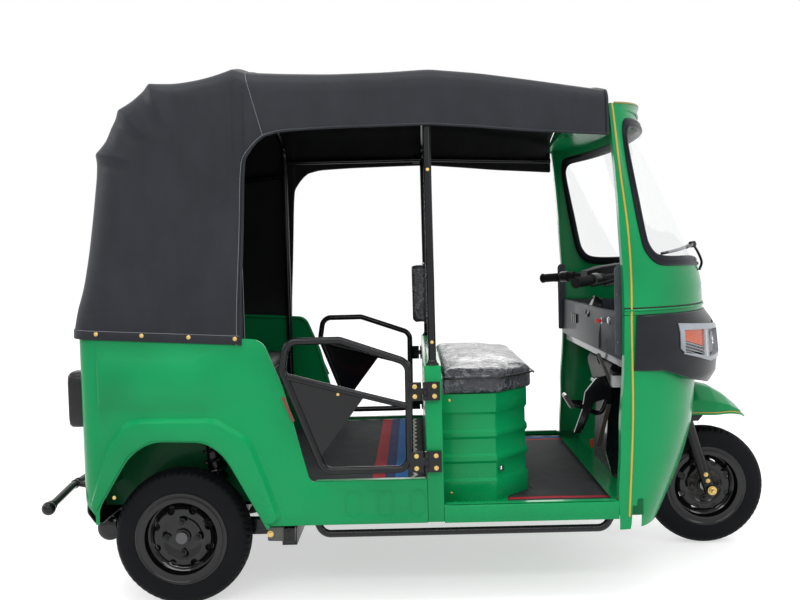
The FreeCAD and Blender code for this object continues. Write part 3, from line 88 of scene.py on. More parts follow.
# Shader kit
class Value:
    """A number socket of a material, so that shader maths reads as an expression."""

    def __init__(self, graph: "Graph", socket: bpy.types.NodeSocket) -> None:
        """Wrap one socket."""
        self.graph = graph
        self.socket = socket

    def __add__(self, other: Number) -> "Value":
        """Sum."""
        return self.graph.math("ADD", self, other)

    def __radd__(self, other: Number) -> "Value":
        """Sum with the number first."""
        return self.graph.math("ADD", other, self)

    def __sub__(self, other: Number) -> "Value":
        """Difference."""
        return self.graph.math("SUBTRACT", self, other)

    def __rsub__(self, other: Number) -> "Value":
        """Difference with the number first."""
        return self.graph.math("SUBTRACT", other, self)

    def __mul__(self, other: Number) -> "Value":
        """Product."""
        return self.graph.math("MULTIPLY", self, other)

    def __rmul__(self, other: Number) -> "Value":
        """Product with the number first."""
        return self.graph.math("MULTIPLY", other, self)

    def __truediv__(self, other: Number) -> "Value":
        """Quotient."""
        return self.graph.math("DIVIDE", self, other)

    def __abs__(self) -> "Value":
        """Size without sign."""
        return self.graph.math("ABSOLUTE", self)

    def wave(self, pitch: float) -> "Value":
        """A sine from 0 to 1 that repeats each pitch."""
        return self.graph.math("SINE", self * (2 * math.pi / pitch)) * 0.5 + 0.5

    def least(self, other: Number) -> "Value":
        """The smaller of two."""
        return self.graph.math("MINIMUM", self, other)

    def most(self, other: Number) -> "Value":
        """The larger of two."""
        return self.graph.math("MAXIMUM", self, other)

    def step(self, low: float, high: float) -> "Value":
        """Rise smoothly from 0 at low to 1 at high."""
        node = self.graph.node(
            "ShaderNodeMapRange",
            {"interpolation_type": "SMOOTHSTEP"},
            {"Value": self, "From Min": low, "From Max": high},
        )
        return Value(self.graph, node.outputs[0])

    def band(self, low: float, high: float, soft: float) -> "Value":
        """1 between low and high, with soft edges."""
        return self.step(low - soft, low + soft) * (1 - self.step(high - soft, high + soft))


class Graph:
    """One material's node tree."""

    def __init__(self, name: str) -> None:
        """Make an empty material."""
        self.material = bpy.data.materials.new(name)
        self.material.use_nodes = True
        self.tree = self.material.node_tree
        self.tree.nodes.clear()
        self._place: bpy.types.NodeSocket | None = None

    def node(self, kind: str, settings: dict | None = None, inputs: dict | None = None) -> bpy.types.Node:
        """Add a node.

        Args:
            kind: the node's type name.
            settings: its properties, set first; "stops" is a colour ramp's list of (place, colour).
            inputs: numbers, colours or links by socket name, identifier or index.

        Returns:
            The node.
        """
        made = self.tree.nodes.new(kind)
        for key, value in (settings or {}).items():
            if key == "stops":
                ramp = made.color_ramp
                while len(ramp.elements) < len(value):
                    ramp.elements.new(0.5)
                for element, (place, colour) in zip(ramp.elements, value):
                    element.position = place
                    element.color = (*colour, 1.0)
            else:
                setattr(made, key, value)
        for key, value in (inputs or {}).items():
            self._feed(self._socket(made, key), value)
        return made

    @staticmethod
    def _socket(node: bpy.types.Node, key: str | int) -> bpy.types.NodeSocket:
        """Find an input by index, identifier or name."""
        if isinstance(key, int):
            return node.inputs[key]
        for socket in node.inputs:
            if socket.identifier == key:
                return socket
        return node.inputs[key]

    def _feed(self, socket: bpy.types.NodeSocket, value: object) -> None:
        """Link or set one input."""
        if isinstance(value, Value):
            self.tree.links.new(value.socket, socket)
        elif isinstance(value, bpy.types.NodeSocket):
            self.tree.links.new(value, socket)
        elif socket.type == "RGBA" and len(value) == 3:
            socket.default_value = (*value, 1.0)
        else:
            socket.default_value = value

    def math(self, operation: str, *values: Number) -> Value:
        """Add one Math node and return its result."""
        node = self.node("ShaderNodeMath", {"operation": operation}, dict(enumerate(values)))
        return Value(self, node.outputs[0])

    def place(self) -> bpy.types.NodeSocket:
        """Object coordinates, which are the vehicle's own metres."""
        if self._place is None:
            self._place = self.node("ShaderNodeTexCoord").outputs["Object"]
        return self._place

    def axes(self) -> tuple[Value, Value, Value]:
        """X, Y and Z of the object coordinates."""
        node = self.node("ShaderNodeSeparateXYZ", None, {0: self.place()})
        return Value(self, node.outputs[0]), Value(self, node.outputs[1]), Value(self, node.outputs[2])

    def stretched(self, shares: Point) -> bpy.types.NodeSocket:
        """Object coordinates with each axis scaled."""
        return self.node("ShaderNodeVectorMath", {"operation": "MULTIPLY"},
                         {0: self.place(), 1: shares}).outputs[0]

    def noise(self, scale: float, detail: float = 3.0, rough: float = 0.55,
              shares: Point | None = None) -> Value:
        """Cloudy noise around 0.5, at a scale per metre."""
        vector = self.stretched(shares) if shares else self.place()
        node = self.node("ShaderNodeTexNoise", None, {"Vector": vector, "Scale": scale, "Detail": detail,
                                                      "Roughness": rough})
        return Value(self, node.outputs["Fac"])

    def cells(self, scale: float, shares: Point | None = None) -> Value:
        """Distance to the nearest of scattered points, for grain and pebbles."""
        vector = self.stretched(shares) if shares else self.place()
        node = self.node("ShaderNodeTexVoronoi", None, {"Vector": vector, "Scale": scale})
        return Value(self, node.outputs["Distance"])

    def mix(self, factor: Number, first: object, second: object) -> bpy.types.NodeSocket:
        """A colour between two, by a factor."""
        node = self.node("ShaderNodeMix", {"data_type": "RGBA"},
                         {"Factor_Float": factor, "A_Color": first, "B_Color": second})
        return next(s for s in node.outputs if s.identifier == "Result_Color")

    def bump(self, height: Value, strength: float, depth: float) -> bpy.types.NodeSocket:
        """A surface normal from a height between 0 and 1 and a depth in metres."""
        return self.node("ShaderNodeBump", None, {"Height": height, "Strength": strength,
                                                  "Distance": depth}).outputs[0]

    def surface(self, inputs: dict) -> bpy.types.Material:
        """Finish with a Principled shader."""
        shader = self.node("ShaderNodeBsdfPrincipled", None, inputs)
        return self.output(shader.outputs[0])

    def output(self, shader: bpy.types.NodeSocket) -> bpy.types.Material:
        """Finish with any shader."""
        self.node("ShaderNodeOutputMaterial", None, {"Surface": shader})
        return self.material


# Finishes
@dataclass(frozen=True)
class Finish:
    """A surface finish, made into a material once."""

    name: str

    def material(self) -> bpy.types.Material:
        """The finish's material, made at its first use; the frame's own materials keep their names."""
        label = f"{self.name}_finish"
        return bpy.data.materials.get(label) or self.make(Graph(label))

    def make(self, graph: Graph) -> bpy.types.Material:
        """Build the nodes."""
        raise NotImplementedError


@dataclass(frozen=True)
class Paint(Finish):
    """Sprayed paint: orange peel, slow colour drift, fine dust low down."""

    colour: Colour = (0.01, 0.25, 0.08)
    rough: float = 0.28
    coat: float = 0.6
    dust: float = 0.10
    peel: float = 0.05
    shine: float = 0.25

    def make(self, graph: Graph) -> bpy.types.Material:
        """Drift is slow noise; dust is cloudy, thicker below knee height."""
        _, _, z = graph.axes()
        drift = graph.noise(2.3, 2.0)
        speck = graph.noise(95.0, 5.0, 0.7)
        low = 1 - z.step(0.18, 0.62)
        dust = (low * 0.8 + 0.2) * speck.step(0.42, 0.72) * self.dust
        dark = tuple(c * 0.80 for c in self.colour)
        base = graph.mix(drift.step(0.35, 0.65), dark, self.colour)
        base = graph.mix(dust, base, (0.30, 0.27, 0.22))
        rough = self.rough + drift * 0.06 + dust * 1.5
        peel = graph.noise(160.0, 2.0) * 0.7 + graph.noise(900.0, 1.0) * 0.3
        return graph.surface(
            {
                "Base Color": base,
                "Roughness": rough,
                "Specular IOR Level": self.shine,
                "Coat Weight": self.coat,
                "Coat Roughness": 0.06,
                "Normal": graph.bump(peel, self.peel, 0.002),
            }
        )


@dataclass(frozen=True)
class HoodVinyl(Finish):
    """Grained black vinyl cloth with a soft sheen and slow creases."""

    colour: Colour = (0.0125, 0.0145, 0.0190)
    rough: float = 0.48
    grain: float = 0.22

    def make(self, graph: Graph) -> bpy.types.Material:
        """Grain is small cells; dust and handling drift the tone."""
        drift = graph.noise(3.0, 4.0, 0.6)
        streak = graph.noise(14.0, 4.0, 0.6, (1.0, 1.0, 0.25))
        pale = tuple(c * 1.5 + 0.004 for c in self.colour)
        base = graph.mix((drift * 0.6 + streak * 0.4).step(0.3, 0.75), self.colour, pale)
        leather = graph.cells(420.0) * 0.7 + graph.cells(1100.0) * 0.3
        creases = graph.noise(9.0, 3.0, 0.5, (1.0, 1.0, 0.35))
        height = leather * self.grain + creases
        return graph.surface(
            {
                "Base Color": base,
                "Roughness": self.rough + streak * 0.10 - leather * 0.06,
                "Specular IOR Level": 0.19,
                "Sheen Weight": 0.03,
                "Sheen Roughness": 0.45,
                "Normal": graph.bump(height, 0.30, 0.004),
            }
        )


@dataclass(frozen=True)
class SeatVinyl(Finish):
    """Seat vinyl with leather grain; film is how much clear wrinkled wrapping lies over it, and how strong a
    painted highlight its wrinkles carry.
    """

    colour: Colour = (0.030, 0.031, 0.034)
    film: float = 0.0

    def make(self, graph: Graph) -> bpy.types.Material:
        """Wrinkles are ridges where two noises cross, lightened as a painted highlight of the film; grain is
        small cells.
        """
        leather = graph.cells(520.0)
        drift = graph.noise(6.0, 4.0)
        ridge = 1 - abs(graph.noise(19.0, 4.0, 0.55, (1.0, 0.55, 1.0)) - 0.5) * 9.0
        fold = 1 - abs(graph.noise(46.0, 3.0, 0.5, (0.6, 1.0, 1.0)) - 0.5) * 8.0
        wrinkle = ridge.most(0.0) + fold.most(0.0) * 0.5
        pale = tuple(c * 1.6 + 0.01 for c in self.colour)
        base = graph.mix(drift.step(0.35, 0.7), self.colour, pale)
        # Painted highlight: pale colour on the film's wrinkle ridges.
        base = graph.mix(wrinkle.step(0.80, 1.3) * (0.16 * self.film), base, (0.50, 0.53, 0.58))
        height = leather * (0.12 * (1 - 0.7 * self.film)) + wrinkle * self.film
        patches = graph.noise(13.0, 4.0, 0.6, (1.0, 0.5, 1.0)).step(0.36, 0.60)
        return graph.surface(
            {
                "Base Color": base,
                "Roughness": 0.46 - 0.30 * self.film + drift * 0.08,
                "Specular IOR Level": 0.25,
                "Coat Weight": (patches * 0.30 + 0.05) * self.film,
                "Coat Roughness": 0.07,
                "Normal": graph.bump(height, 0.25 + 0.45 * self.film, 0.003 + 0.003 * self.film),
            }
        )


@dataclass(frozen=True)
class Rubber(Finish):
    """Moulded rubber: matt, a little dusty."""

    colour: Colour = (0.016, 0.016, 0.017)
    rough: float = 0.62
    dust: float = 0.25
    grain: float = 350.0

    def make(self, graph: Graph) -> bpy.types.Material:
        """Dust is cloudy; the skin is fine noise."""
        drift = graph.noise(7.0, 4.0, 0.6)
        fine = graph.noise(self.grain, 3.0, 0.6)
        base = graph.mix(drift.step(0.4, 0.8) * self.dust, self.colour, (0.11, 0.10, 0.09))
        return graph.surface(
            {
                "Base Color": base,
                "Roughness": self.rough + fine * 0.15,
                "Specular IOR Level": 0.10,
                "Normal": graph.bump(fine, 0.18, 0.001),
            }
        )


@dataclass(frozen=True)
class Moulded(Finish):
    """Moulded plastic with a fine sparkled texture."""

    colour: Colour = (0.03, 0.03, 0.032)
    rough: float = 0.35
    coat: float = 0.0
    grain: float = 0.10

    def make(self, graph: Graph) -> bpy.types.Material:
        """Grain is small cells over slow flow marks."""
        flow = graph.noise(8.0, 3.0, 0.5, (1.0, 1.0, 2.0))
        cells = graph.cells(900.0)
        pale = tuple(c * 1.25 + 0.002 for c in self.colour)
        return graph.surface(
            {
                "Base Color": graph.mix(flow.step(0.35, 0.7), self.colour, pale),
                "Roughness": self.rough + flow * 0.08,
                "Specular IOR Level": 0.22,
                "Coat Weight": self.coat,
                "Coat Roughness": 0.05,
                "Normal": graph.bump(cells, self.grain, 0.0008),
            }
        )


@dataclass(frozen=True)
class Metal(Finish):
    """Bare or plated metal with fine scratches and stained patches."""

    colour: Colour = (0.45, 0.45, 0.46)
    rough: float = 0.30
    stain: Colour = (0.20, 0.17, 0.14)
    worn: float = 0.25
    cast: float = 0.0

    def make(self, graph: Graph) -> bpy.types.Material:
        """Scratches are stretched noise; stains are cloudy; castings get pebbles."""
        patch = graph.noise(24.0, 5.0, 0.65)
        scratch = graph.noise(260.0, 3.0, 0.6, (0.12, 1.0, 1.0))
        pebble = graph.cells(330.0)
        base = graph.mix(patch.step(0.5, 0.85) * self.worn, self.colour, self.stain)
        height = scratch * (1 - self.cast) * 0.5 + pebble * self.cast
        return graph.surface(
            {
                "Base Color": base,
                "Metallic": 1.0 - 0.25 * self.cast,
                "Roughness": self.rough + patch * 0.18 + scratch * 0.06,
                "Normal": graph.bump(height, 0.12 + 0.4 * self.cast, 0.0012),
            }
        )


class MatLayout(Enum):
    """Where a mat's coloured stripes lie."""

    PASSENGER = "passenger"
    DRIVER = "driver"


RED = (0.42, 0.020, 0.030)
BLUE = (0.020, 0.15, 0.46)
NAVY = (0.018, 0.035, 0.13)
CREAM = (0.70, 0.69, 0.62)


@dataclass(frozen=True)
class MatRubber(Finish):
    """Ribbed rubber matting with printed stripes and a pale wavy edge."""

    layout: MatLayout = MatLayout.PASSENGER
    edge: float = 0.596

    def stripe(self, graph: Graph, base: object, mask: Value, colour: Colour) -> bpy.types.NodeSocket:
        """Lay one stripe's colour over the base."""
        return graph.mix(mask, base, colour)

    def make(self, graph: Graph) -> bpy.types.Material:
        """Ribs run across; stripes are bands of X or of distance from the middle."""
        x, y, _ = graph.axes()
        drift = graph.noise(11.0, 4.0, 0.6)
        fleck = graph.noise(420.0, 2.0, 0.6)
        base = graph.mix(drift.step(0.35, 0.75), (0.024, 0.026, 0.030), (0.052, 0.053, 0.056))
        side = abs(y) + (x.wave(0.085) - 0.5) * 0.012
        if self.layout is MatLayout.PASSENGER:
            ribs = y.wave(0.0085)
            front = x + (y.wave(0.085) - 0.5) * 0.012
            base = graph.mix(x.band(-0.182, -0.140, 0.0015), base, RED)
            base = graph.mix(x.band(-0.140, -0.105, 0.0015), base, NAVY)
            base = graph.mix(x.band(-0.105, -0.062, 0.0015), base, BLUE)
            base = graph.mix(front.band(-0.046, -0.034, 0.0015), base, CREAM)
            base = graph.mix(side.band(0.590, 0.600, 0.0015), base, CREAM)
        else:
            ribs = y.wave(0.0085)
            base = graph.mix(abs(y).band(0.500, 0.524, 0.0015), base, RED)
            base = graph.mix(abs(y).band(0.548, 0.572, 0.0015), base, BLUE)
            base = graph.mix(side.band(0.590, 0.602, 0.0015), base, CREAM)
        base = graph.mix(fleck.step(0.60, 0.75) * 0.22, base, (0.15, 0.15, 0.15))
        return graph.surface(
            {
                "Base Color": base,
                "Roughness": 0.62 + drift * 0.2,
                "Specular IOR Level": 0.12,
                "Normal": graph.bump(ribs * 0.8 + fleck * 0.2, 0.55, 0.0022),
            }
        )


@dataclass(frozen=True)
class Glazing(Finish):
    """Clear glass or film: see-through, with a mirror share that grows at a slant."""

    tint: Colour = (0.985, 0.990, 0.988)
    haze: float = 0.0
    rough: float = 0.01
    shine: float = 0.05

    def make(self, graph: Graph) -> bpy.types.Material:
        """A thin pane: transparent, a glossy share by Fresnel and a little surface haze."""
        smear = graph.noise(6.0, 4.0, 0.6)
        clear = graph.node("ShaderNodeBsdfTransparent", None, {0: self.tint}).outputs[0]
        gloss = graph.node(
            "ShaderNodeBsdfAnisotropic", None, {"Color": (1.0, 1.0, 1.0), "Roughness": self.rough}
        ).outputs[0]
        film = graph.node("ShaderNodeBsdfDiffuse", None, {0: (0.85, 0.88, 0.90)}).outputs[0]
        mirror = Value(graph, graph.node("ShaderNodeFresnel", None, {"IOR": 1.45}).outputs[0])
        haze = smear.step(0.35, 0.8) * self.haze + self.haze * 0.4
        hazed = graph.node("ShaderNodeMixShader", None, {0: haze, 1: clear, 2: film}).outputs[0]
        share = mirror.least(self.shine)
        whole = graph.node("ShaderNodeMixShader", None, {0: share, 1: hazed, 2: gloss}).outputs[0]
        return graph.output(whole)


@dataclass(frozen=True)
class LampPlastic(Finish):
    """Coloured lamp plastic with moulded prisms behind a glossy skin, with painted shade in the prism valleys
    and a weak painted glow.
    """

    colour: Colour = (0.55, 0.02, 0.02)
    painted_glow: float = 0.12
    pitch: float = 0.008

    def make(self, graph: Graph) -> bpy.types.Material:
        """Prisms are crossed waves, darkened in their valleys as painted shade; a weak painted glow stands
        for light inside the plastic.
        """
        x, y, z = graph.axes()
        prism = y.wave(self.pitch) * 0.5 + z.wave(self.pitch) * 0.5
        # Painted shade: the colour darkens in the prisms' valleys.
        dark = tuple(c * 0.55 for c in self.colour)
        base = graph.mix(prism.step(0.2, 0.8), dark, self.colour)
        return graph.surface(
            {
                "Base Color": base,
                "Roughness": 0.16,
                "Specular IOR Level": 0.25,
                "Coat Weight": 0.20,
                "Coat Roughness": 0.03,
                # Painted glow: emission for light inside the plastic, on the lamps and on the reflector
                # alike.
                "Emission Color": base,
                "Emission Strength": self.painted_glow,
                "Normal": graph.bump(prism + x * 0.0, 0.35, 0.001),
            }
        )


@dataclass(frozen=True)
class StudioFloor(Finish):
    """White floor: a lit grey that camera rays see lifted to white, so only the shadow shows."""

    lit: float = 0.62
    lift: float = 0.55

    def make(self, graph: Graph) -> bpy.types.Material:
        """Diffuse plus an emission that camera, glossy and transmission rays see."""
        rays = graph.node("ShaderNodeLightPath")
        seen = Value(graph, rays.outputs["Is Camera Ray"])
        glossy = Value(graph, rays.outputs["Is Glossy Ray"])
        through = Value(graph, rays.outputs["Is Transmission Ray"])
        share = (seen + glossy + through).least(1.0)
        grey = graph.node("ShaderNodeBsdfDiffuse", None, {0: (self.lit,) * 3}).outputs[0]
        light = graph.node("ShaderNodeEmission", None, {"Color": (1.0, 1.0, 1.0),
                                                        "Strength": share * self.lift})
        return graph.output(graph.node("ShaderNodeAddShader", None,
                                       {0: grey, 1: light.outputs[0]}).outputs[0])


GREEN = Paint("body_green", (0.003, 0.285, 0.088), 0.22, 0.14, 0.02, 0.035, 0.12)
# A darker copy of the body green: painted shade on inner panels that are painted the same green.
GREEN_INNER_SHADE = Paint("inner_green_painted_shade", (0.003, 0.110, 0.036), 0.34, 0.06, 0.04, 0.04, 0.10)
ENAMEL = Paint("black_enamel", (0.005, 0.0055, 0.007), 0.20, 0.30, 0.03, 0.03, 0.15)
WHEEL_BLACK = Paint("wheel_black", (0.003, 0.0032, 0.004), 0.14, 0.55, 0.01, 0.02, 0.10)
UNDER_BLACK = Paint("under_black", (0.010, 0.010, 0.010), 0.45, 0.0, 0.35)
HOOD = HoodVinyl("hood_vinyl")
# The hood's inner face: matt vinyl whose darker tone is painted shade inside the hood.
HOOD_LINING_SHADE = HoodVinyl("hood_lining_shade", (0.006, 0.006, 0.007), 0.70, 0.10)
SEAT = SeatVinyl("seat_vinyl")
# The film's wrinkles carry a painted highlight, here and on the backrest.
SEAT_FILM = SeatVinyl("seat_under_film", (0.036, 0.039, 0.046), 1.0)
PAD_FILM = SeatVinyl("backrest_under_film", (0.020, 0.021, 0.024), 0.8)
TYRE = Rubber("tyre_rubber", (0.0040, 0.0043, 0.0054), 0.52, 0.02, 260.0)
SEAL = Rubber("seal_rubber", (0.012, 0.013, 0.018), 0.26, 0.04)
GRIP = Rubber("grip_rubber", (0.012, 0.012, 0.013), 0.55, 0.05)
MASK = Moulded("mask_plastic", (0.0055, 0.0068, 0.0098), 0.28, 0.07, 0.02)
DASH = Moulded("dash_plastic", (0.036, 0.041, 0.050), 0.46, 0.1, 0.25)
BLACK_PLASTIC = Moulded("black_plastic", (0.010, 0.010, 0.011), 0.32, 0.15, 0.10)
BEZEL = Moulded("lamp_bezel", (0.26, 0.28, 0.31), 0.30, 0.2, 0.05)
VISOR_TRIM = Paint("visor_trim", (0.32, 0.26, 0.055), 0.40, 0.2, 0.02)
GREY_PLASTIC = Moulded("grey_plastic", (0.20, 0.21, 0.225), 0.30, 0.4, 0.06)
SILVER = Metal("silver_lacquer", (0.52, 0.53, 0.54), 0.30, (0.3, 0.3, 0.3), 0.1)
CHROME = Metal("chrome", (0.75, 0.76, 0.78), 0.06, (0.6, 0.6, 0.6), 0.05)
BRACKET = Moulded("bracket_grey", (0.075, 0.078, 0.070), 0.45, 0.1, 0.1)
ZINC = Metal("zinc_plate", (0.50, 0.49, 0.47), 0.34)
BRASS = Metal("brass_plate", (0.62, 0.44, 0.16), 0.28, (0.34, 0.22, 0.08), 0.3)
CASTING = Metal("cast_alloy", (0.30, 0.30, 0.30), 0.48, (0.08, 0.07, 0.06), 0.5, 1.0)
DARK_STEEL = Metal("dark_steel", (0.10, 0.10, 0.105), 0.42, (0.05, 0.04, 0.03), 0.5, 0.4)
GOLD_PIPING = Paint("gold_piping", (0.58, 0.40, 0.045), 0.35, 0.3, 0.02)
SPRING_RED = Paint("spring_red", (0.45, 0.018, 0.015), 0.30, 0.4, 0.10)
THREAD = Rubber("pale_thread", (0.33, 0.34, 0.36), 0.70, 0.0)
GLASS = Glazing("windscreen_glass")
HOOD_WINDOW = Glazing("hood_window", (0.80, 0.83, 0.84), 0.10, 0.06, 0.6)
LENS = Glazing("lamp_lens", (0.975, 0.98, 0.985), 0.0, 0.01, 0.04)
WHITE_PLASTIC = Moulded("white_plastic", (0.62, 0.63, 0.64), 0.40, 0.1, 0.1)
BROWN_STEEL = Paint("brown_steel", (0.050, 0.036, 0.030), 0.50, 0.0, 0.05)
# Lamp plastics and the reflector carry a weak painted glow and painted shade in their prism valleys.
LAMP_RED = LampPlastic("lamp_red")
LAMP_AMBER = LampPlastic("lamp_amber", (0.62, 0.085, 0.012), 0.20, 0.006)
REFLECTOR = LampPlastic("reflector_red", (0.30, 0.065, 0.045), 0.06, 0.004)


# Geometry kit
def unit(vectors: np.ndarray) -> np.ndarray:
    """Scale vectors to length one."""
    return vectors / np.maximum(np.linalg.norm(vectors, axis=-1, keepdims=True), 1e-12)


def rounded_route(corners: Sequence, bend: float | Sequence[float], closed: bool = False,
                  steps: int = 7) -> np.ndarray:
    """Round a polyline's corners.

    Each corner becomes a quadratic curve from a point before it to a point after it, both at the
    bend length from the corner, or half a run where that is shorter.

    Args:
        corners: points of any dimension.
        bend: the cut length at every corner, or one for each.
        closed: whether the last point joins the first.
        steps: points per corner.

    Returns:
        The points of the rounded line.
    """
    points = np.asarray(corners, float)
    count = len(points)
    bends = np.full(count, bend, float) if np.isscalar(bend) else np.asarray(bend, float)
    share = np.linspace(0, 1, steps)[:, None]
    out = []
    for i in range(count):
        if not closed and i in (0, count - 1):
            out.append(points[i : i + 1])
            continue
        before, after = points[i - 1] - points[i], points[(i + 1) % count] - points[i]
        cut = min(bends[i], np.linalg.norm(before) * 0.49, np.linalg.norm(after) * 0.49)
        if cut < 1e-6:
            out.append(points[i : i + 1])
            continue
        start, end = points[i] + unit(before) * cut, points[i] + unit(after) * cut
        out.append((1 - share) ** 2 * start + 2 * share * (1 - share) * points[i] + share**2 * end)
    return np.concatenate(out)


def smooth_route(points: Sequence, count: int, closed: bool = False) -> np.ndarray:
    """Pass a Catmull-Rom curve through points and space its samples evenly.

    Args:
        points: rows of any shape; the curve runs along the first axis.
        count: samples to return.
        closed: whether it joins up.

    Returns:
        An array of count rows.
    """
    keys = np.asarray(points, float)
    shape = keys.shape[1:]
    keys = keys.reshape(len(keys), -1)
    if closed:
        padded = np.concatenate([keys[-1:], keys, keys[:2]])
    else:
        padded = np.concatenate([2 * keys[:1] - keys[1:2], keys, 2 * keys[-1:] - keys[-2:-1]])
    t = np.linspace(0, 1, 17)[:-1, None, None]
    a, b, c, d = padded[:-3], padded[1:-2], padded[2:-1], padded[3:]
    fine = 0.5 * (2 * b + (c - a) * t + (2 * a - 5 * b + 4 * c - d) * t**2 + (3 * b - a - 3 * c + d) * t**3)
    fine = np.swapaxes(fine, 0, 1).reshape(-1, keys.shape[1])
    fine = np.concatenate([fine, keys[:1] if closed else keys[-1:]])
    run = np.concatenate([[0], np.cumsum(np.linalg.norm(np.diff(fine, axis=0), axis=1))])
    at = np.linspace(0, run[-1], count + 1)[:-1] if closed else np.linspace(0, run[-1], count)
    even = np.stack([np.interp(at, run, fine[:, k]) for k in range(fine.shape[1])], axis=1)
    return even.reshape(count, *shape)


def spread(route: np.ndarray, pitch: float, lead: float = 0.0) -> tuple[np.ndarray, np.ndarray]:
    """Points at an even pitch along a line, with the direction at each.

    Args:
        route: the line's points.
        pitch: distance between points.
        lead: distance of the first from the start.

    Returns:
        The points and their unit directions.
    """
    run = np.concatenate([[0], np.cumsum(np.linalg.norm(np.diff(route, axis=0), axis=1))])
    at = np.arange(lead, run[-1], pitch)
    spots = np.stack([np.interp(at, run, route[:, k]) for k in range(3)], axis=1)
    ahead = np.stack([np.interp(at + 1e-3, run, route[:, k]) for k in range(3)], axis=1)
    behind = np.stack([np.interp(at - 1e-3, run, route[:, k]) for k in range(3)], axis=1)
    return spots, unit(ahead - behind)


def ring(radius: float | Sequence[float], count: int = 12) -> np.ndarray:
    """A circle or an ellipse as a section."""
    a, b = (radius, radius) if np.isscalar(radius) else radius
    turn = np.linspace(0, 2 * np.pi, count, endpoint=False)
    return np.stack([a * np.cos(turn), b * np.sin(turn)], axis=1)


def swept(route: np.ndarray, section: np.ndarray, up: Point = (0, 0, 1),
          scale: np.ndarray | None = None) -> np.ndarray:
    """Carry a section along a line.

    At each point, the section's first axis lies across the line and square to the up direction,
    and its second axis completes the frame.

    Args:
        route: the line's points, n by 3.
        section: m by 2.
        up: the reference direction, never along the line.
        scale: one factor for each point of the line.

    Returns:
        The surface, n by m by 3.
    """
    along = unit(np.gradient(route, axis=0))
    across = unit(np.cross(np.asarray(up, float), along))
    high = np.cross(along, across)
    sized = section[None] * (1 if scale is None else np.asarray(scale)[:, None, None])
    return route[:, None] + sized[..., :1] * across[:, None] + sized[..., 1:] * high[:, None]


def revolved(profile: Sequence, centre: Sequence[float], axis: Sequence[float],
             steps: int = 48) -> np.ndarray:
    """Turn a profile of (radius, distance along the axis) about an axis through a point."""
    shape = np.asarray(profile, float)
    axis = unit(np.asarray(axis, float))
    helper = np.array([0.0, 0, 1]) if abs(axis[2]) < 0.9 else np.array([1.0, 0, 0])
    first = unit(np.cross(helper, axis))
    second = np.cross(axis, first)
    turn = np.linspace(0, 2 * np.pi, steps, endpoint=False)
    spoke = np.cos(turn)[:, None] * first + np.sin(turn)[:, None] * second
    return np.asarray(centre) + shape[:, None, :1] * spoke[None] + shape[:, None, 1:] * axis


def mirrored(points: np.ndarray) -> np.ndarray:
    """The same points on the vehicle's other side."""
    return np.asarray(points, float) * np.array([1.0, -1.0, 1.0])


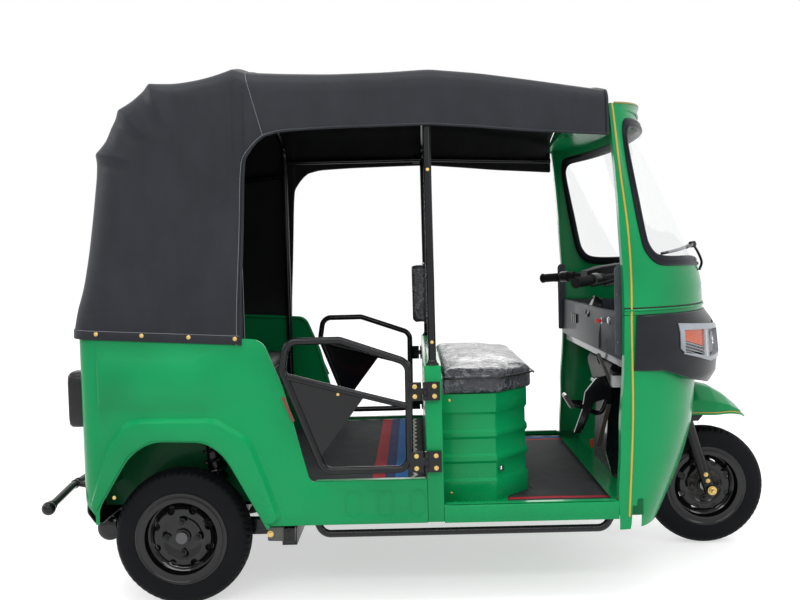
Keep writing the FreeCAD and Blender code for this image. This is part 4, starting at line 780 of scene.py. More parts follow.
class Piece:
    """Surfaces gathered into one mesh, which becomes an object that rides on a body."""

    def __init__(self, name: str) -> None:
        """Start an empty piece."""
        self.name = name
        self.points: list[np.ndarray] = []
        self.faces: list = []
        self.slots: list[int] = []
        self.count = 0

    def add(self, points: np.ndarray, faces: Sequence, slot: int = 0) -> None:
        """Add points with faces that count from the first of them."""
        self.points.append(np.asarray(points, float).reshape(-1, 3))
        self.faces += [[int(i) + self.count for i in face] for face in faces]
        self.slots += [slot] * len(faces)
        self.count += len(self.points[-1])

    def grid(self, surface: np.ndarray, wrap: bool = True, closed: bool = False, caps: bool = True,
             slot: int = 0, keep: np.ndarray | None = None) -> "Piece":
        """Add a grid of points as a surface.

        Args:
            surface: rows by columns by 3.
            wrap: whether each row joins up with its own start.
            closed: whether the last row joins the first.
            caps: whether the first and last rows are filled, where rows wrap.
            slot: the material's place.
            keep: a mask of the faces to keep.

        Returns:
            The piece itself.
        """
        rows, columns = surface.shape[:2]
        index = np.arange(rows * columns).reshape(rows, columns)
        if wrap:
            index = np.concatenate([index, index[:, :1]], axis=1)
        if closed:
            index = np.concatenate([index, index[:1]], axis=0)
        quads = np.stack([index[:-1, :-1], index[:-1, 1:], index[1:, 1:], index[1:, :-1]], axis=-1)
        quads = quads.reshape(-1, 4) if keep is None else quads[keep]
        faces = quads.tolist()
        if wrap and caps and not closed:
            faces += [list(range(columns))[::-1], list(range((rows - 1) * columns, rows * columns))]
        self.add(surface, faces, slot)
        return self

    def bar(self, corners: Sequence, radius: float | Sequence[float], bend: float = 0.0,
            up: Point = (0, 0, 1), sides: int = 12, slot: int = 0, scale: Sequence[float] | None = None,
            closed: bool = False) -> "Piece":
        """Add a round bar along corners; scale gives its thickness along the way."""
        route = rounded_route(corners, bend, closed)
        factor = None
        if scale is not None:
            factor = np.interp(np.linspace(0, 1, len(route)), np.linspace(0, 1, len(scale)), scale)
        return self.grid(swept(route, ring(radius, sides), up, factor), closed=closed, slot=slot)

    def turned(self, profile: Sequence, centre: Sequence[float], axis: Sequence[float], steps: int = 24,
               slot: int = 0) -> "Piece":
        """Add a turned part with closed ends."""
        return self.grid(revolved(profile, centre, axis, steps), slot=slot)

    def bolt(self, centre: Sequence[float], axis: Sequence[float], radius: float, height: float,
             slot: int = 0, washer: float = 0.0) -> "Piece":
        """Add a hexagon bolt head with a chamfered top, on a washer where one is asked for."""
        centre, axis = np.asarray(centre, float), unit(np.asarray(axis, float))
        low = 0.0
        if washer:
            low = height * 0.22
            self.turned([(washer, -0.002), (washer, low * 0.8), (washer * 0.9, low)], centre, axis, 16, slot)
        profile = [(radius, low), (radius, height * 0.8), (radius * 0.8, height), (radius * 0.35, height)]
        return self.turned(profile, centre, axis, 6, slot)

    def dome(self, centre: Sequence[float], axis: Sequence[float], radius: float, height: float,
             slot: int = 0, steps: int = 14) -> "Piece":
        """Add a round domed head, such as a rivet, snap or screw."""
        turn = np.linspace(0, np.pi / 2 * 0.86, 5)
        profile = [(radius, -0.002)] + [(radius * math.cos(a), height * math.sin(a)) for a in turn]
        return self.turned(profile, centre, axis, steps, slot)

    def block(self, low: Sequence[float], high: Sequence[float], round_by: float = 0.004, slot: int = 0,
              waist: float = 0.0) -> "Piece":
        """Add a box whose upright edges are rounded and whose top and bottom edges are chamfered."""
        low, high = np.asarray(low, float), np.asarray(high, float)
        plan = [(low[0], low[1]), (high[0], low[1]), (high[0], high[1]), (low[0], high[1])]
        return self.slab(plan, low[2], high[2], round_by, slot=slot, waist=waist)

    def slab(self, plan: Sequence, low: float, high: float, round_by: float = 0.004,
             corner: float | None = None, axis: int = 2, slot: int = 0, waist: float = 0.0) -> "Piece":
        """Add a plate from an outline.

        The outline is shrunk towards its middle near both faces, which rounds its edges.

        Args:
            plan: the outline's points in the two other axes.
            low: where it starts along the axis.
            high: where it ends.
            round_by: the edge rounding.
            corner: the corner cut, or the edge rounding where none is given.
            axis: 0, 1 or 2, the axis it is thick along.
            slot: the material's place.
            waist: how far the middle of its sides pulls in.

        Returns:
            The piece itself.
        """
        outline = rounded_route(plan, round_by * 2 if corner is None else corner, True, 5)
        middle = outline.mean(0)
        reach = np.abs(outline - middle).max()
        round_by = min(round_by, (high - low) * 0.45)
        levels = [(low, round_by), (low + round_by * 0.35, round_by * 0.35), (low + round_by, 0.0),
                  ((low + high) / 2, waist), (high - round_by, 0.0),
                  (high - round_by * 0.35, round_by * 0.35), (high, round_by)]
        rows = []
        for level, inset in levels:
            flat = middle + (outline - middle) * (1 - inset / reach)
            row = np.insert(flat, axis, level, axis=1)
            rows.append(row)
        return self.grid(np.stack(rows), slot=slot)

    def build(self, body: str, finishes: Sequence[Finish], slot: str | None = None,
              replaces: Sequence[str] = (), sharp: float = 38.0, merge: bool = True,
              outward: bool = True) -> bpy.types.Object:
        """Make the object.

        Args:
            body: the CAD body it rides on.
            finishes: one for each material place.
            slot: the record's material slot; not used.
            replaces: the CAD nodes that it stands for.
            sharp: edges that turn by more than this many degrees stay crisp.
            merge: whether doubled points are merged.
            outward: whether faces are turned outwards.

        Returns:
            The object.
        """
        mesh = bpy.data.meshes.new(self.name)
        mesh.from_pydata(np.concatenate(self.points), [], self.faces)
        mesh.polygons.foreach_set("material_index", self.slots)
        if merge or outward:
            work = bmesh.new()
            work.from_mesh(mesh)
            if merge:
                bmesh.ops.remove_doubles(work, verts=work.verts, dist=1e-6)
            if outward:
                bmesh.ops.recalc_face_normals(work, faces=work.faces)
            work.to_mesh(mesh)
            work.free()
        for finish in finishes:
            mesh.materials.append(finish.material())
        mesh.polygons.foreach_set("use_smooth", [True] * len(mesh.polygons))
        mesh.set_sharp_from_angle(angle=math.radians(sharp))
        made = bpy.data.objects.new(self.name, mesh)
        bpy.context.scene.collection.objects.link(made)
        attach(made, body)
        if replaces:
            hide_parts(*replaces)
        LOG.info("%s: %d faces on %s", self.name, len(mesh.polygons), body)
        return made


def modify(made: bpy.types.Object, kind: str, **settings: object) -> bpy.types.Modifier:
    """Add a modifier with its settings."""
    modifier = made.modifiers.new(kind.title(), kind)
    for key, value in settings.items():
        setattr(modifier, key, value)
    return modifier


def wall(made: bpy.types.Object, thickness: float, offset: float = -1.0, inner: int = 0,
         crisp: bool = True) -> None:
    """Give a sheet its thickness; inner is how many places on the inner face's material lies."""
    modify(made, "SOLIDIFY", thickness=thickness, offset=offset, material_offset=inner, use_even_offset=True)
    if crisp:
        modify(made, "EDGE_SPLIT", split_angle=math.radians(40))


def dress(frame: dict, names: str, finish: Finish, bevel: float = 0.0) -> None:
    """Give CAD nodes their finish, with their loose triangles joined and their edges softened.

    Args:
        names: node names parted by spaces.
        finish: the finish.
        bevel: the width of the softened edges, or 0 for none.
    """
    for name in names.split():
        made = frame["nodes"][name]
        for place in range(max(len(made.material_slots), 1)):
            if not made.material_slots:
                made.data.materials.append(None)
            made.material_slots[place].material = finish.material()
        made.data.polygons.foreach_set("use_smooth", [True] * len(made.data.polygons))
        modify(made, "WELD", merge_threshold=0.00002)
        if bevel:
            modify(made, "BEVEL", width=bevel, segments=2, limit_method="ANGLE", angle_limit=math.radians(40))
        modify(made, "EDGE_SPLIT", split_angle=math.radians(32))
        LOG.info("%s: dressed in %s", name, finish.name)


@dataclass(frozen=True)
class Prow:
    """The cowl's form: level sections whose front is a rounded nose.

    Each row is height, rear edge, nose, side power and nose power, the stations from the front
    axle. With share = |y| / half width, x = rear + (nose - rear) * (1 - share^side)^(1 / nose).
    """

    rows: tuple = ()
    half: float = HALF_WIDTH

    def x(self, y: np.ndarray, z: np.ndarray, out: float = 0.0) -> np.ndarray:
        """Station of the surface at a place seen from the front, moved outwards by out."""
        table = np.asarray(self.rows)
        back, nose, side, power = [np.interp(z, table[:, 0], table[:, k]) for k in (1, 2, 3, 4)]
        share = np.clip(np.abs(y) / (self.half + out), 0, 1)
        return FRONT_AXLE_X + back + (nose - back + out) * (1 - share**side) ** (1 / power)

    def y(self, x: np.ndarray, z: np.ndarray, out: float = 0.0) -> np.ndarray:
        """Half width of the surface at a place seen from the side, moved outwards by out."""
        table = np.asarray(self.rows)
        back, nose, side, power = [np.interp(z, table[:, 0], table[:, k]) for k in (1, 2, 3, 4)]
        depth = np.clip((x - FRONT_AXLE_X - back) / (nose - back + out), 0, 1)
        return (self.half + out) * (1 - depth**power) ** (1 / side)

    def around(self, turn: np.ndarray, z: np.ndarray, out: float | np.ndarray = 0.0) -> np.ndarray:
        """Points by turn, from 0 at the right rear edge round the nose to pi at the left one, and height."""
        table = np.asarray(self.rows)
        turn, z = np.broadcast_arrays(np.asarray(turn, float), np.asarray(z, float))
        back, nose, side, power = [np.interp(z, table[:, 0], table[:, k]) for k in (1, 2, 3, 4)]
        x = FRONT_AXLE_X + back + (nose - back + out) * np.abs(np.sin(turn)) ** (2 / power)
        y = -(self.half + out) * np.sign(np.cos(turn)) * np.abs(np.cos(turn)) ** (2 / side)
        return np.stack([x, y, z], -1)

    def normal(self, y: np.ndarray, z: np.ndarray) -> np.ndarray:
        """Outward direction at a place seen from the front."""
        step = 1e-3
        slope_y = (self.x(y + step, z) - self.x(y - step, z)) / (2 * step)
        slope_z = (self.x(y, z + step) - self.x(y, z - step)) / (2 * step)
        return unit(np.stack([np.ones_like(slope_y), -slope_y, -slope_z], axis=-1))


COWL = Prow(((0.240, -0.468, -0.258, 3.0, 2.0), (0.330, -0.470, -0.203, 3.0, 2.0),
             (0.430, -0.466, -0.153, 3.0, 2.0), (0.540, -0.461, -0.118, 3.0, 2.0),
             (0.640, -0.457, -0.103, 3.0, 2.0), (0.720, -0.450, -0.094, 2.9, 2.0),
             (0.830, -0.445, -0.066, 2.6, 1.85), (0.945, -0.442, -0.041, 2.4, 1.7),
             (1.040, -0.443, -0.045, 2.4, 1.7), (1.110, -0.446, -0.060, 2.4, 1.7),
             (1.197, -0.451, -0.105, 2.4, 1.7), (1.339, -0.458, -0.165, 2.4, 1.7),
             (1.446, -0.466, -0.206, 2.4, 1.7), (1.613, -0.480, -0.273, 2.4, 1.7),
             (1.760, -0.490, -0.318, 2.4, 1.7),))
SCREEN_FORM = Prow(((0.945, -0.442, -0.041, 2.4, 1.7), (1.040, -0.443, -0.045, 2.4, 1.7),
                    (1.110, -0.446, -0.060, 2.4, 1.7), (1.197, -0.451, -0.107, 2.4, 1.7),
                    (1.339, -0.458, -0.171, 2.4, 1.7), (1.446, -0.466, -0.217, 2.4, 1.7),
                    (1.613, -0.480, -0.293, 2.4, 1.7), (1.760, -0.490, -0.346, 2.4, 1.7),))
LAMP_FORM = Prow(((0.640, -0.430, -0.112, 3.0, 2.0), (0.668, -0.428, -0.086, 2.9, 1.95),
                  (0.695, -0.424, -0.038, 2.8, 1.9), (0.730, -0.418, -0.008, 2.7, 1.85),
                  (0.795, -0.411, 0.003, 2.6, 1.8), (0.888, -0.406, -0.002, 2.5, 1.75),
                  (0.918, -0.404, -0.016, 2.45, 1.72), (0.945, -0.402, -0.037, 2.4, 1.7),
                  (0.972, -0.401, -0.048, 2.4, 1.7),), HALF_WIDTH + 0.003,)


class Part:
    """A sub-assembly that dresses CAD nodes and adds its own pieces."""

    def __init__(self, frame: dict) -> None:
        """Keep the loaded frame."""
        self.frame = frame

    def make(self) -> None:
        """Build every piece of it."""
        raise NotImplementedError


# Soft parts
def cushion_form(plan: np.ndarray, low: float, high: float, edge: float, crown: float,
                 waist: float) -> np.ndarray:
    """A cushion's closed surface from its plan.

    Rings of the plan, each shrunk towards its middle: the bottom is flat, the sides pull in by the
    waist half-way up, the upper edge is a quarter round and the top rises by the crown.

    Args:
        plan: the outline, m by 2.
        low: the underside's height.
        high: the top's height at its edge.
        edge: the rounding.
        crown: the rise in the middle.
        waist: how far the sides pull in.

    Returns:
        Rings by points by 3.
    """
    middle = plan.mean(0)
    reach = np.abs(plan - middle).max()
    turn = np.linspace(0, np.pi / 2, 6)
    rows = [(0.0, -reach * 0.98), (0.0, -reach * 0.5), (0.0, -edge * 0.6), (edge * 0.4, 0.0)]
    rows += [((high - low) / 2, -waist)]
    rows += [(high - low - edge + edge * math.sin(a), -edge * (1 - math.cos(a))) for a in turn]
    for share in (0.85, 0.65, 0.45, 0.25, 0.02):
        inset = -(reach - (reach - edge) * share)
        rows.append((high - low + crown * (1 - share**2), inset))
    rings = []
    for height, inset in rows:
        flat = middle + (plan - middle) * (1 + inset / reach)
        rings.append(np.column_stack([flat, np.full(len(flat), low + height)]))
    return np.stack(rings)


def swell(made: bpy.types.Object, voxel: float, pressure: float, cap: float, floor: float) -> None:
    """Blow a closed form up like a stuffed pad with the cloth simulation, then keep its mesh.

    A vertex may move by no more than the cap, and none goes below the floor.

    Args:
        made: the object.
        voxel: the remesh size.
        pressure: the air pressure in it.
        cap: the furthest that a point may move.
        floor: the lowest height of any point.
    """
    remesh = modify(made, "REMESH", mode="VOXEL", voxel_size=voxel, use_smooth_shade=True)
    graph = bpy.context.evaluated_depsgraph_get()
    shell = bpy.data.meshes.new_from_object(made.evaluated_get(graph))
    made.modifiers.remove(remesh)
    shell.materials.clear()
    for material in made.data.materials:
        shell.materials.append(material)
    made.data = shell
    count = len(shell.vertices)
    rest = np.empty(count * 3, np.float32)
    shell.vertices.foreach_get("co", rest)
    rest = rest.reshape(-1, 3)
    cloth = modify(made, "CLOTH")
    cloth.settings.use_pressure = True
    cloth.settings.uniform_pressure_force = pressure
    cloth.settings.tension_stiffness = 18
    cloth.settings.compression_stiffness = 18
    cloth.settings.bending_stiffness = 1.2
    cloth.settings.effector_weights.gravity = 0
    cloth.settings.quality = 4
    cloth.point_cache.frame_start = 1
    cloth.point_cache.frame_end = 20
    scene = bpy.context.scene
    for number in range(1, 21):
        scene.frame_set(number)
    graph = bpy.context.evaluated_depsgraph_get()
    blown = made.evaluated_get(graph).to_mesh()
    moved = np.empty(count * 3, np.float32)
    blown.vertices.foreach_get("co", moved)
    moved = moved.reshape(-1, 3)
    made.evaluated_get(graph).to_mesh_clear()
    made.modifiers.remove(cloth)
    scene.frame_set(1)
    shift = moved - rest
    length = np.linalg.norm(shift, axis=1, keepdims=True)
    shift = shift * np.minimum(1.0, cap / np.maximum(length, 1e-9))
    settled = rest + shift
    settled[:, 2] = np.maximum(settled[:, 2], floor)
    shell.vertices.foreach_set("co", settled.ravel())
    shell.polygons.foreach_set("use_smooth", [True] * len(shell.polygons))
    shell.update()


@dataclass
class Pad:
    """A stuffed pad of vinyl with piping along its upper seam."""

    name: str
    node: str
    plan: Sequence
    low: float
    high: float
    edge: float = 0.026
    crown: float = 0.016
    waist: float = 0.004
    finish: Finish = SEAT
    corner: float = 0.05
    tilt: Sequence = ()
    seams: Sequence[float] = ()
    piping: float = 0.0032
    fill: float = 0.8

    def lean(self, points: np.ndarray) -> np.ndarray:
        """Turn a pad made flat: tilt is (pivot, axis X target, axis Y target, axis Z target) rows."""
        if not len(self.tilt):
            return points
        rows = np.asarray(self.tilt, float)
        return rows[0] + points @ rows[1:]

    def make(self) -> bpy.types.Object:
        """Build the pad, blow it up, pull its sewn channels in and lay its piping."""
        plan = rounded_route(self.plan, self.corner, True, 7)
        plan = smooth_route(plan, 120, True)
        rings = cushion_form(plan, self.low, self.high, self.edge, self.crown, self.waist)
        piece = Piece(self.name)
        piece.grid(rings)
        made = piece.build("chassis", [self.finish], "seat_vinyl", [self.node], sharp=180)
        swell(made, 0.010, 4.0, 0.010, self.low)
        count = len(made.data.vertices)
        points = np.empty(count * 3, np.float32)
        made.data.vertices.foreach_get("co", points)
        points = points.reshape(-1, 3).astype(float)
        for place in self.seams:
            pull = np.exp(-(((points[:, 1] - place) / 0.007) ** 2)) * 0.009
            inner = np.clip((points[:, 2] - (self.high - 0.03)) / 0.03, 0, 1)
            points[:, 2] -= pull * inner
        made.data.vertices.foreach_set("co", self.lean(points).astype(np.float32).ravel())
        made.data.update()
        modify(made, "SUBSURF", levels=1, render_levels=1)
        if self.piping:
            self.cord(plan, made)
        return made

    def cord(self, plan: np.ndarray, made: bpy.types.Object) -> None:
        """Piping along the upper seam, where the quarter round meets the side."""
        middle = plan.mean(0)
        reach = np.abs(plan - middle).max()
        piece = Piece(self.name + "_piping")
        flat = middle + (plan - middle) * (1 + 0.003 / reach)
        line = np.column_stack([flat, np.full(len(flat), self.high - self.edge * 0.9)])
        surface = swept(np.concatenate([line, line[:1]]), ring(self.piping, 8))[:-1]
        piece.grid(self.lean(surface.reshape(-1, 3)).reshape(surface.shape), closed=True)
        piece.build("chassis", [BLACK_PLASTIC], "seat_vinyl")


@dataclass
class Hood(Part):
    """The folding vinyl hood: one sheet with its hem, bindings, snaps, stitches and window.

    Each key row is a silhouette point and the panel's lower end on the side, as (x, z) pairs. A
    row of the sheet climbs the side from the lower end, turns over the shoulder in a quarter
    round and crosses the vehicle, raised in the middle by crown * (1 - (y / 0.45)^2).
    """

    frame: dict
    half: float = 0.6445
    crown: float = 0.042
    sheet_wall: float = 0.003
    keys: tuple = (
        (-1.1760, 0.922, -0.604, 0.888, 0.066, 0.0, 0.0),
        (-1.1750, 0.948, -0.603, 0.925, 0.068, 0.0, 0.01),
        (-1.1630, 1.018, -0.600, 1.010, 0.074, 0.0, 0.03),
        (-1.1430, 1.083, -0.597, 1.070, 0.080, 0.0, 0.05),
        (-1.1200, 1.214, -0.591, 1.170, 0.090, 0.0, 0.06),
        (-1.1030, 1.341, -0.585, 1.280, 0.096, 0.0, 0.06),
        (-1.0870, 1.469, -0.580, 1.390, 0.098, 0.0, 0.04),
        (-1.0870, 1.538, -0.577, 1.440, 0.094, 0.15, 0.010),
        (-1.0500, 1.588, -0.575, 1.462, 0.090, 0.40, 0.05),
        (-1.0030, 1.696, -0.573, 1.485, 0.084, 0.70, 0.010),
        (-0.9460, 1.736, -0.570, 1.496, 0.082, 0.85, 0.05),
        (-0.8930, 1.791, -0.566, 1.507, 0.076, 1.0, 0.010),
        (-0.8070, 1.788, -0.557, 1.520, 0.073, 1.0, 0.06),
        (-0.7050, 1.803, -0.546, 1.536, 0.068, 1.0, 0.06),
        (-0.6060, 1.834, -0.528, 1.556, 0.060, 1.0, 0.012),
        (-0.5620, 1.819, -0.505, 1.574, 0.058, 1.0, 0.02),
        (-0.4550, 1.812, -0.450, 1.588, 0.058, 1.0, 0.05),
        (-0.2970, 1.806, -0.300, 1.594, 0.056, 1.0, 0.06),
        (-0.1150, 1.807, -0.115, 1.596, 0.056, 1.0, 0.06),
        (0.0440, 1.813, 0.044, 1.597, 0.055, 1.0, 0.030),
        (0.2050, 1.796, 0.205, 1.583, 0.052, 1.0, 0.06),
        (0.3610, 1.772, 0.361, 1.567, 0.048, 1.0, 0.06),
        (0.6200, 1.729, 0.620, 1.548, 0.042, 1.0, 0.0),
    )
    window: tuple = (0.230, 1.190, 1.420)
    pleats: tuple = (
        (-1.097, 1.545, -0.935, 1.503, 0.0120),
        (-1.016, 1.706, -0.890, 1.575, 0.0135),
        (-0.900, 1.800, -0.822, 1.600, 0.0120),
    )
    hoop: float = -0.612
    seam: float = -0.566

    def rows(self) -> np.ndarray:
        """Key rows made dense, with crisp turns over the bows and slack between them."""
        table = np.asarray(self.keys)
        keys = rounded_route(table[:, :6], table[:, 6], False, 7)
        run = np.concatenate([[0], np.cumsum(np.linalg.norm(np.diff(keys[:, :2], axis=0), axis=1))])
        bow = np.interp(-0.606, keys[:, 0], run)
        at = np.concatenate([np.linspace(0, bow, 170)[:-1], np.linspace(bow, run[-1], 90)])
        keys = np.stack([np.interp(at, run, keys[:, k]) for k in range(6)], axis=1)
        low, high = self.window[1:]
        back = np.argmax(keys[:, 1] > 1.5)
        for height in (low, high):
            nearest = int(np.argmin(np.abs(keys[:back, 1] - height)))
            keys[nearest] = [np.interp(height, keys[:back, 1], keys[:back, k]) for k in range(6)]
        return keys

    def surface(self) -> np.ndarray:
        """Points of the outer face, rows by columns by 3.

        A column below 1 lies on the side, from 1 to 2 on the shoulder, from 2 to 3 on the way
        across to the middle, and the far half mirrors it.
        """
        keys = self.rows()
        side = np.linspace(0, 1, 40)[:-1]
        turn = np.linspace(0, 1, 13)[:-1]
        across = np.concatenate([np.linspace(0, 0.94, 18), [1.0]])
        x, z, foot_x, foot_z, radius, crowned = [keys[:, k, None] for k in range(6)]
        inner = self.half - radius
        fall = self.crown * crowned * (1 - (inner / 0.45) ** 2)
        top = np.stack([x, z + fall], axis=-1)
        foot = np.stack([foot_x, foot_z], axis=-1)
        run = top - foot
        reach = np.linalg.norm(run, axis=-1, keepdims=True)
        ahead = run / reach
        on_side = foot + ahead * (reach - radius[..., None]) * side[None, :, None]
        flat = np.concatenate([on_side[..., :1], np.full_like(on_side[..., :1], -self.half),
                               on_side[..., 1:]], -1)
        angle = turn * np.pi / 2
        out = (reach - radius[..., None]) + radius[..., None] * np.sin(angle)[None, :, None]
        on_turn = foot + ahead * out
        turn_y = -self.half + radius * (1 - np.cos(angle))[None]
        bend = np.concatenate([on_turn[..., :1], turn_y[..., None], on_turn[..., 1:]], -1)
        y = -inner * (1 - across)[None]
        rise = self.crown * crowned * (1 - (y / 0.45) ** 2)
        roof = np.stack([x + 0 * y, y, z + rise], -1)
        window_edge = np.abs(roof[0, :, 1] + self.window[0]).argmin()
        roof[:, window_edge, 1] = -self.window[0]
        near = np.concatenate([flat, bend, roof], axis=1)
        far = mirrored(near[:, :-1][:, ::-1])
        return self.folded(np.concatenate([near, far], axis=1))

    def folded(self, points: np.ndarray) -> np.ndarray:
        """Round the shoulder's join, press the pleats in and raise the hoop's ridge.

        A pleat is a crest from its tip on the bow to its end on the side: height *
        (1 - share) * exp(-|off| / width), with a shallow valley below it.
        """
        for _ in range(3):
            points[:, 1:-1] = (points[:, :-2] + 2 * points[:, 1:-1] + points[:, 2:]) / 4
        flat = points[..., ::2]
        ridge = np.zeros(points.shape[:2])
        for tip_x, tip_z, end_x, end_z, height in self.pleats:
            tip = np.array([tip_x, tip_z])
            along = np.array([end_x, end_z]) - tip
            reach = np.linalg.norm(along)
            along = along / reach
            share = ((flat - tip) @ along) / reach
            off = (flat - tip) @ np.array([along[1], -along[0]])
            fade = np.clip(1 - share, 0, 1) ** 0.8 * np.clip(share * 4 + 1.4, 0, 1) * (share < 1)
            dip = 0.75 * np.exp(-(((off - 0.034) / 0.020) ** 2))
            ridge += height * fade * (np.exp(-np.abs(off) / 0.022) - dip)
        side = np.clip((np.abs(points[..., 1]) - 0.50) / 0.10, 0, 1)
        off = points[..., 0] - self.hoop
        crest = 0.0045 * np.exp(-np.abs(off) / 0.012)
        trough = 0.0050 * np.clip(off / 0.012, 0, 1) * np.clip((self.seam - points[..., 0]) / 0.006, 0, 1)
        tall = np.clip((points[..., 2] - 1.0) / 0.3, 0.35, 1)
        station, rise = points[..., 0], points[..., 2]
        soft = np.sin(station * 9.0 + rise * 5.0) * np.sin(rise * 7.0 - station * 3.0)
        fine = np.sin(station * 31.0 + rise * 11.0) * np.sin(rise * 19.0)
        shift = ridge + (crest - trough) * tall + (soft * 0.0022 + fine * 0.0006) * (points[..., 2] > 1.0)
        points[..., 1] += np.sign(points[..., 1]) * shift * side
        top = np.clip((points[..., 2] - 1.74) / 0.03, 0, 1) * (1 - side)
        points[..., 2] += (crest * 0.6 - trough) * top
        return points

    def make(self) -> None:
        """Sheet, hem, bindings, snaps, stitches and window."""
        points = self.surface()
        columns = points.shape[1]
        centre = (points[:-1, :-1] + points[1:, 1:]) / 2
        wide, low, high = self.window
        hole = (np.abs(centre[..., 1]) < wide) & (centre[..., 2] > low) & (centre[..., 2] < high)
        hole &= centre[..., 0] < -1.0
        piece = Piece("hood_sheet")
        piece.grid(points, wrap=False, keep=~hole)
        # The inner face takes the darker lining copy: painted shade inside the hood.
        sheet = piece.build("chassis", [HOOD, HOOD_LINING_SHADE], "hood_vinyl", ["canopy"], sharp=60, outward=True)
        wall(sheet, self.sheet_wall, -1.0, 1, False)
        edges = points[1:, 1:] - points[:-1, :-1], points[1:, :-1] - points[:-1, 1:]
        area = float((np.linalg.norm(np.cross(*edges), axis=-1) / 2)[~hole].sum())
        width = float(np.linalg.norm(np.diff(points[100], axis=0), axis=1).sum())
        length = float(np.linalg.norm(np.diff(points[:, columns // 2], axis=0), axis=1).sum())
        trims = [self.hem(points), self.bindings(points), self.snaps(points), self.stitches(points)]
        trims += self.window_trim(points)
        width = max(width, area / length)

    def strip(self, line: np.ndarray, outward: np.ndarray, wide: float, thick: float) -> np.ndarray:
        """A flat band along a line, standing off the sheet along the outward directions."""
        along = unit(np.gradient(line, axis=0))
        across = unit(np.cross(along, outward))
        section = np.array([(-1, 0), (-0.8, 1), (0.8, 1), (1, 0)])
        return (line[:, None] + across[:, None] * section[None, :, :1] * wide / 2
                + outward[:, None] * section[None, :, 1:] * thick)

    def outward(self, points: np.ndarray) -> np.ndarray:
        """Unit directions away from the inside at every point of the grid."""
        along, across = np.gradient(points, axis=0), np.gradient(points, axis=1)
        normal = unit(np.cross(across, along))
        flip = np.sign((normal * (points - np.array([-0.3, 0, 1.2]))).sum(-1, keepdims=True))
        return normal * np.where(flip == 0, 1, flip)

    def level(self, points: np.ndarray, above: float) -> tuple[np.ndarray, np.ndarray]:
        """The line at a height above the hem, with the outward directions there."""
        normal = self.outward(points)
        up = np.cumsum(np.linalg.norm(np.diff(points[:12], axis=0), axis=-1), axis=0)
        up = np.concatenate([np.zeros((1, points.shape[1])), up])
        row = np.clip((up < above).sum(0), 1, 11)
        column = np.arange(points.shape[1])
        share = ((above - up[row - 1, column]) / (up[row, column] - up[row - 1, column]))[:, None]
        line = points[row - 1, column] * (1 - share) + points[row, column] * share
        return line, unit(normal[row - 1, column] * (1 - share) + normal[row, column] * share)

    def hem(self, points: np.ndarray) -> bpy.types.Object:
        """The doubled hem along the bottom."""
        line, normal = self.level(points, 0.016)
        piece = Piece("hood_hem")
        piece.grid(self.strip(line, normal, 0.032, 0.0022))
        return piece.build("chassis", [HOOD], "hood_vinyl", sharp=60)

    def bindings(self, points: np.ndarray) -> bpy.types.Object:
        """Rolled bindings along the door openings and the front edge."""
        piece = Piece("hood_bindings")
        for line in (points[:, 0], points[:, -1]):
            piece.grid(swept(line, ring(0.0042, 8), (0, 1, 0)))
        piece.grid(swept(points[-1], ring(0.0045, 8), (1, 0, 0)))
        return piece.build("chassis", [HOOD], "hood_vinyl", sharp=60)

    def snaps(self, points: np.ndarray) -> bpy.types.Object:
        """Brass snaps along the hem."""
        line, normal = self.level(points, 0.020)
        run = np.concatenate([[0], np.cumsum(np.linalg.norm(np.diff(line, axis=0), axis=1))])
        piece = Piece("hood_snaps")
        total = run[-1]
        side = (0.018, 0.172, 0.328, 0.480)
        stations = list(side) + [total - s for s in side] + list(np.linspace(0.66, total - 0.66, 7))
        for at in stations:
            spot = [np.interp(at, run, line[:, k]) for k in range(3)]
            out = unit(np.array([np.interp(at, run, normal[:, k]) for k in range(3)]))
            piece.dome(np.asarray(spot) + out * 0.002, out, 0.0075, 0.0034)
            piece.dome(np.asarray(spot) + out * 0.0045, out, 0.0042, 0.0022)
        return piece.build("chassis", [BRASS], "steel")

    def stitches(self, points: np.ndarray) -> bpy.types.Object:
        """Pale stitches above the hem, along the door edges and up the hoop's seam."""
        piece = Piece("hood_stitches")
        normal = self.outward(points)
        hem, hem_out = self.level(points, 0.030)
        lines = [(hem, hem_out, 0.0025)]
        for column in (1, points.shape[1] - 2):
            lines.append((points[:, column], normal[:, column], 0.0004))
        row = int(np.argmin(np.abs(points[:, points.shape[1] // 2, 0] - self.seam)))
        lines.append((points[row, 2:-2], normal[row, 2:-2], 0.0003))
        for line, out, lift in lines:
            spots, along = spread(line, 0.009)
            near = np.argmin(np.linalg.norm(spots[:, None] - line[None], axis=-1), axis=1)
            lifted = spots + out[near] * lift
            across = unit(np.cross(along, out[near])) * 0.0006
            ends = np.stack([lifted - along * 0.003 - across, lifted - along * 0.003 + across,
                             lifted + along * 0.003 + across, lifted + along * 0.003 - across], axis=1)
            top = ends + out[near][:, None] * 0.0007
            for low, high in zip(ends, top):
                piece.grid(np.stack([low, high]))
        return piece.build("chassis", [THREAD], "hood_vinyl", merge=False)

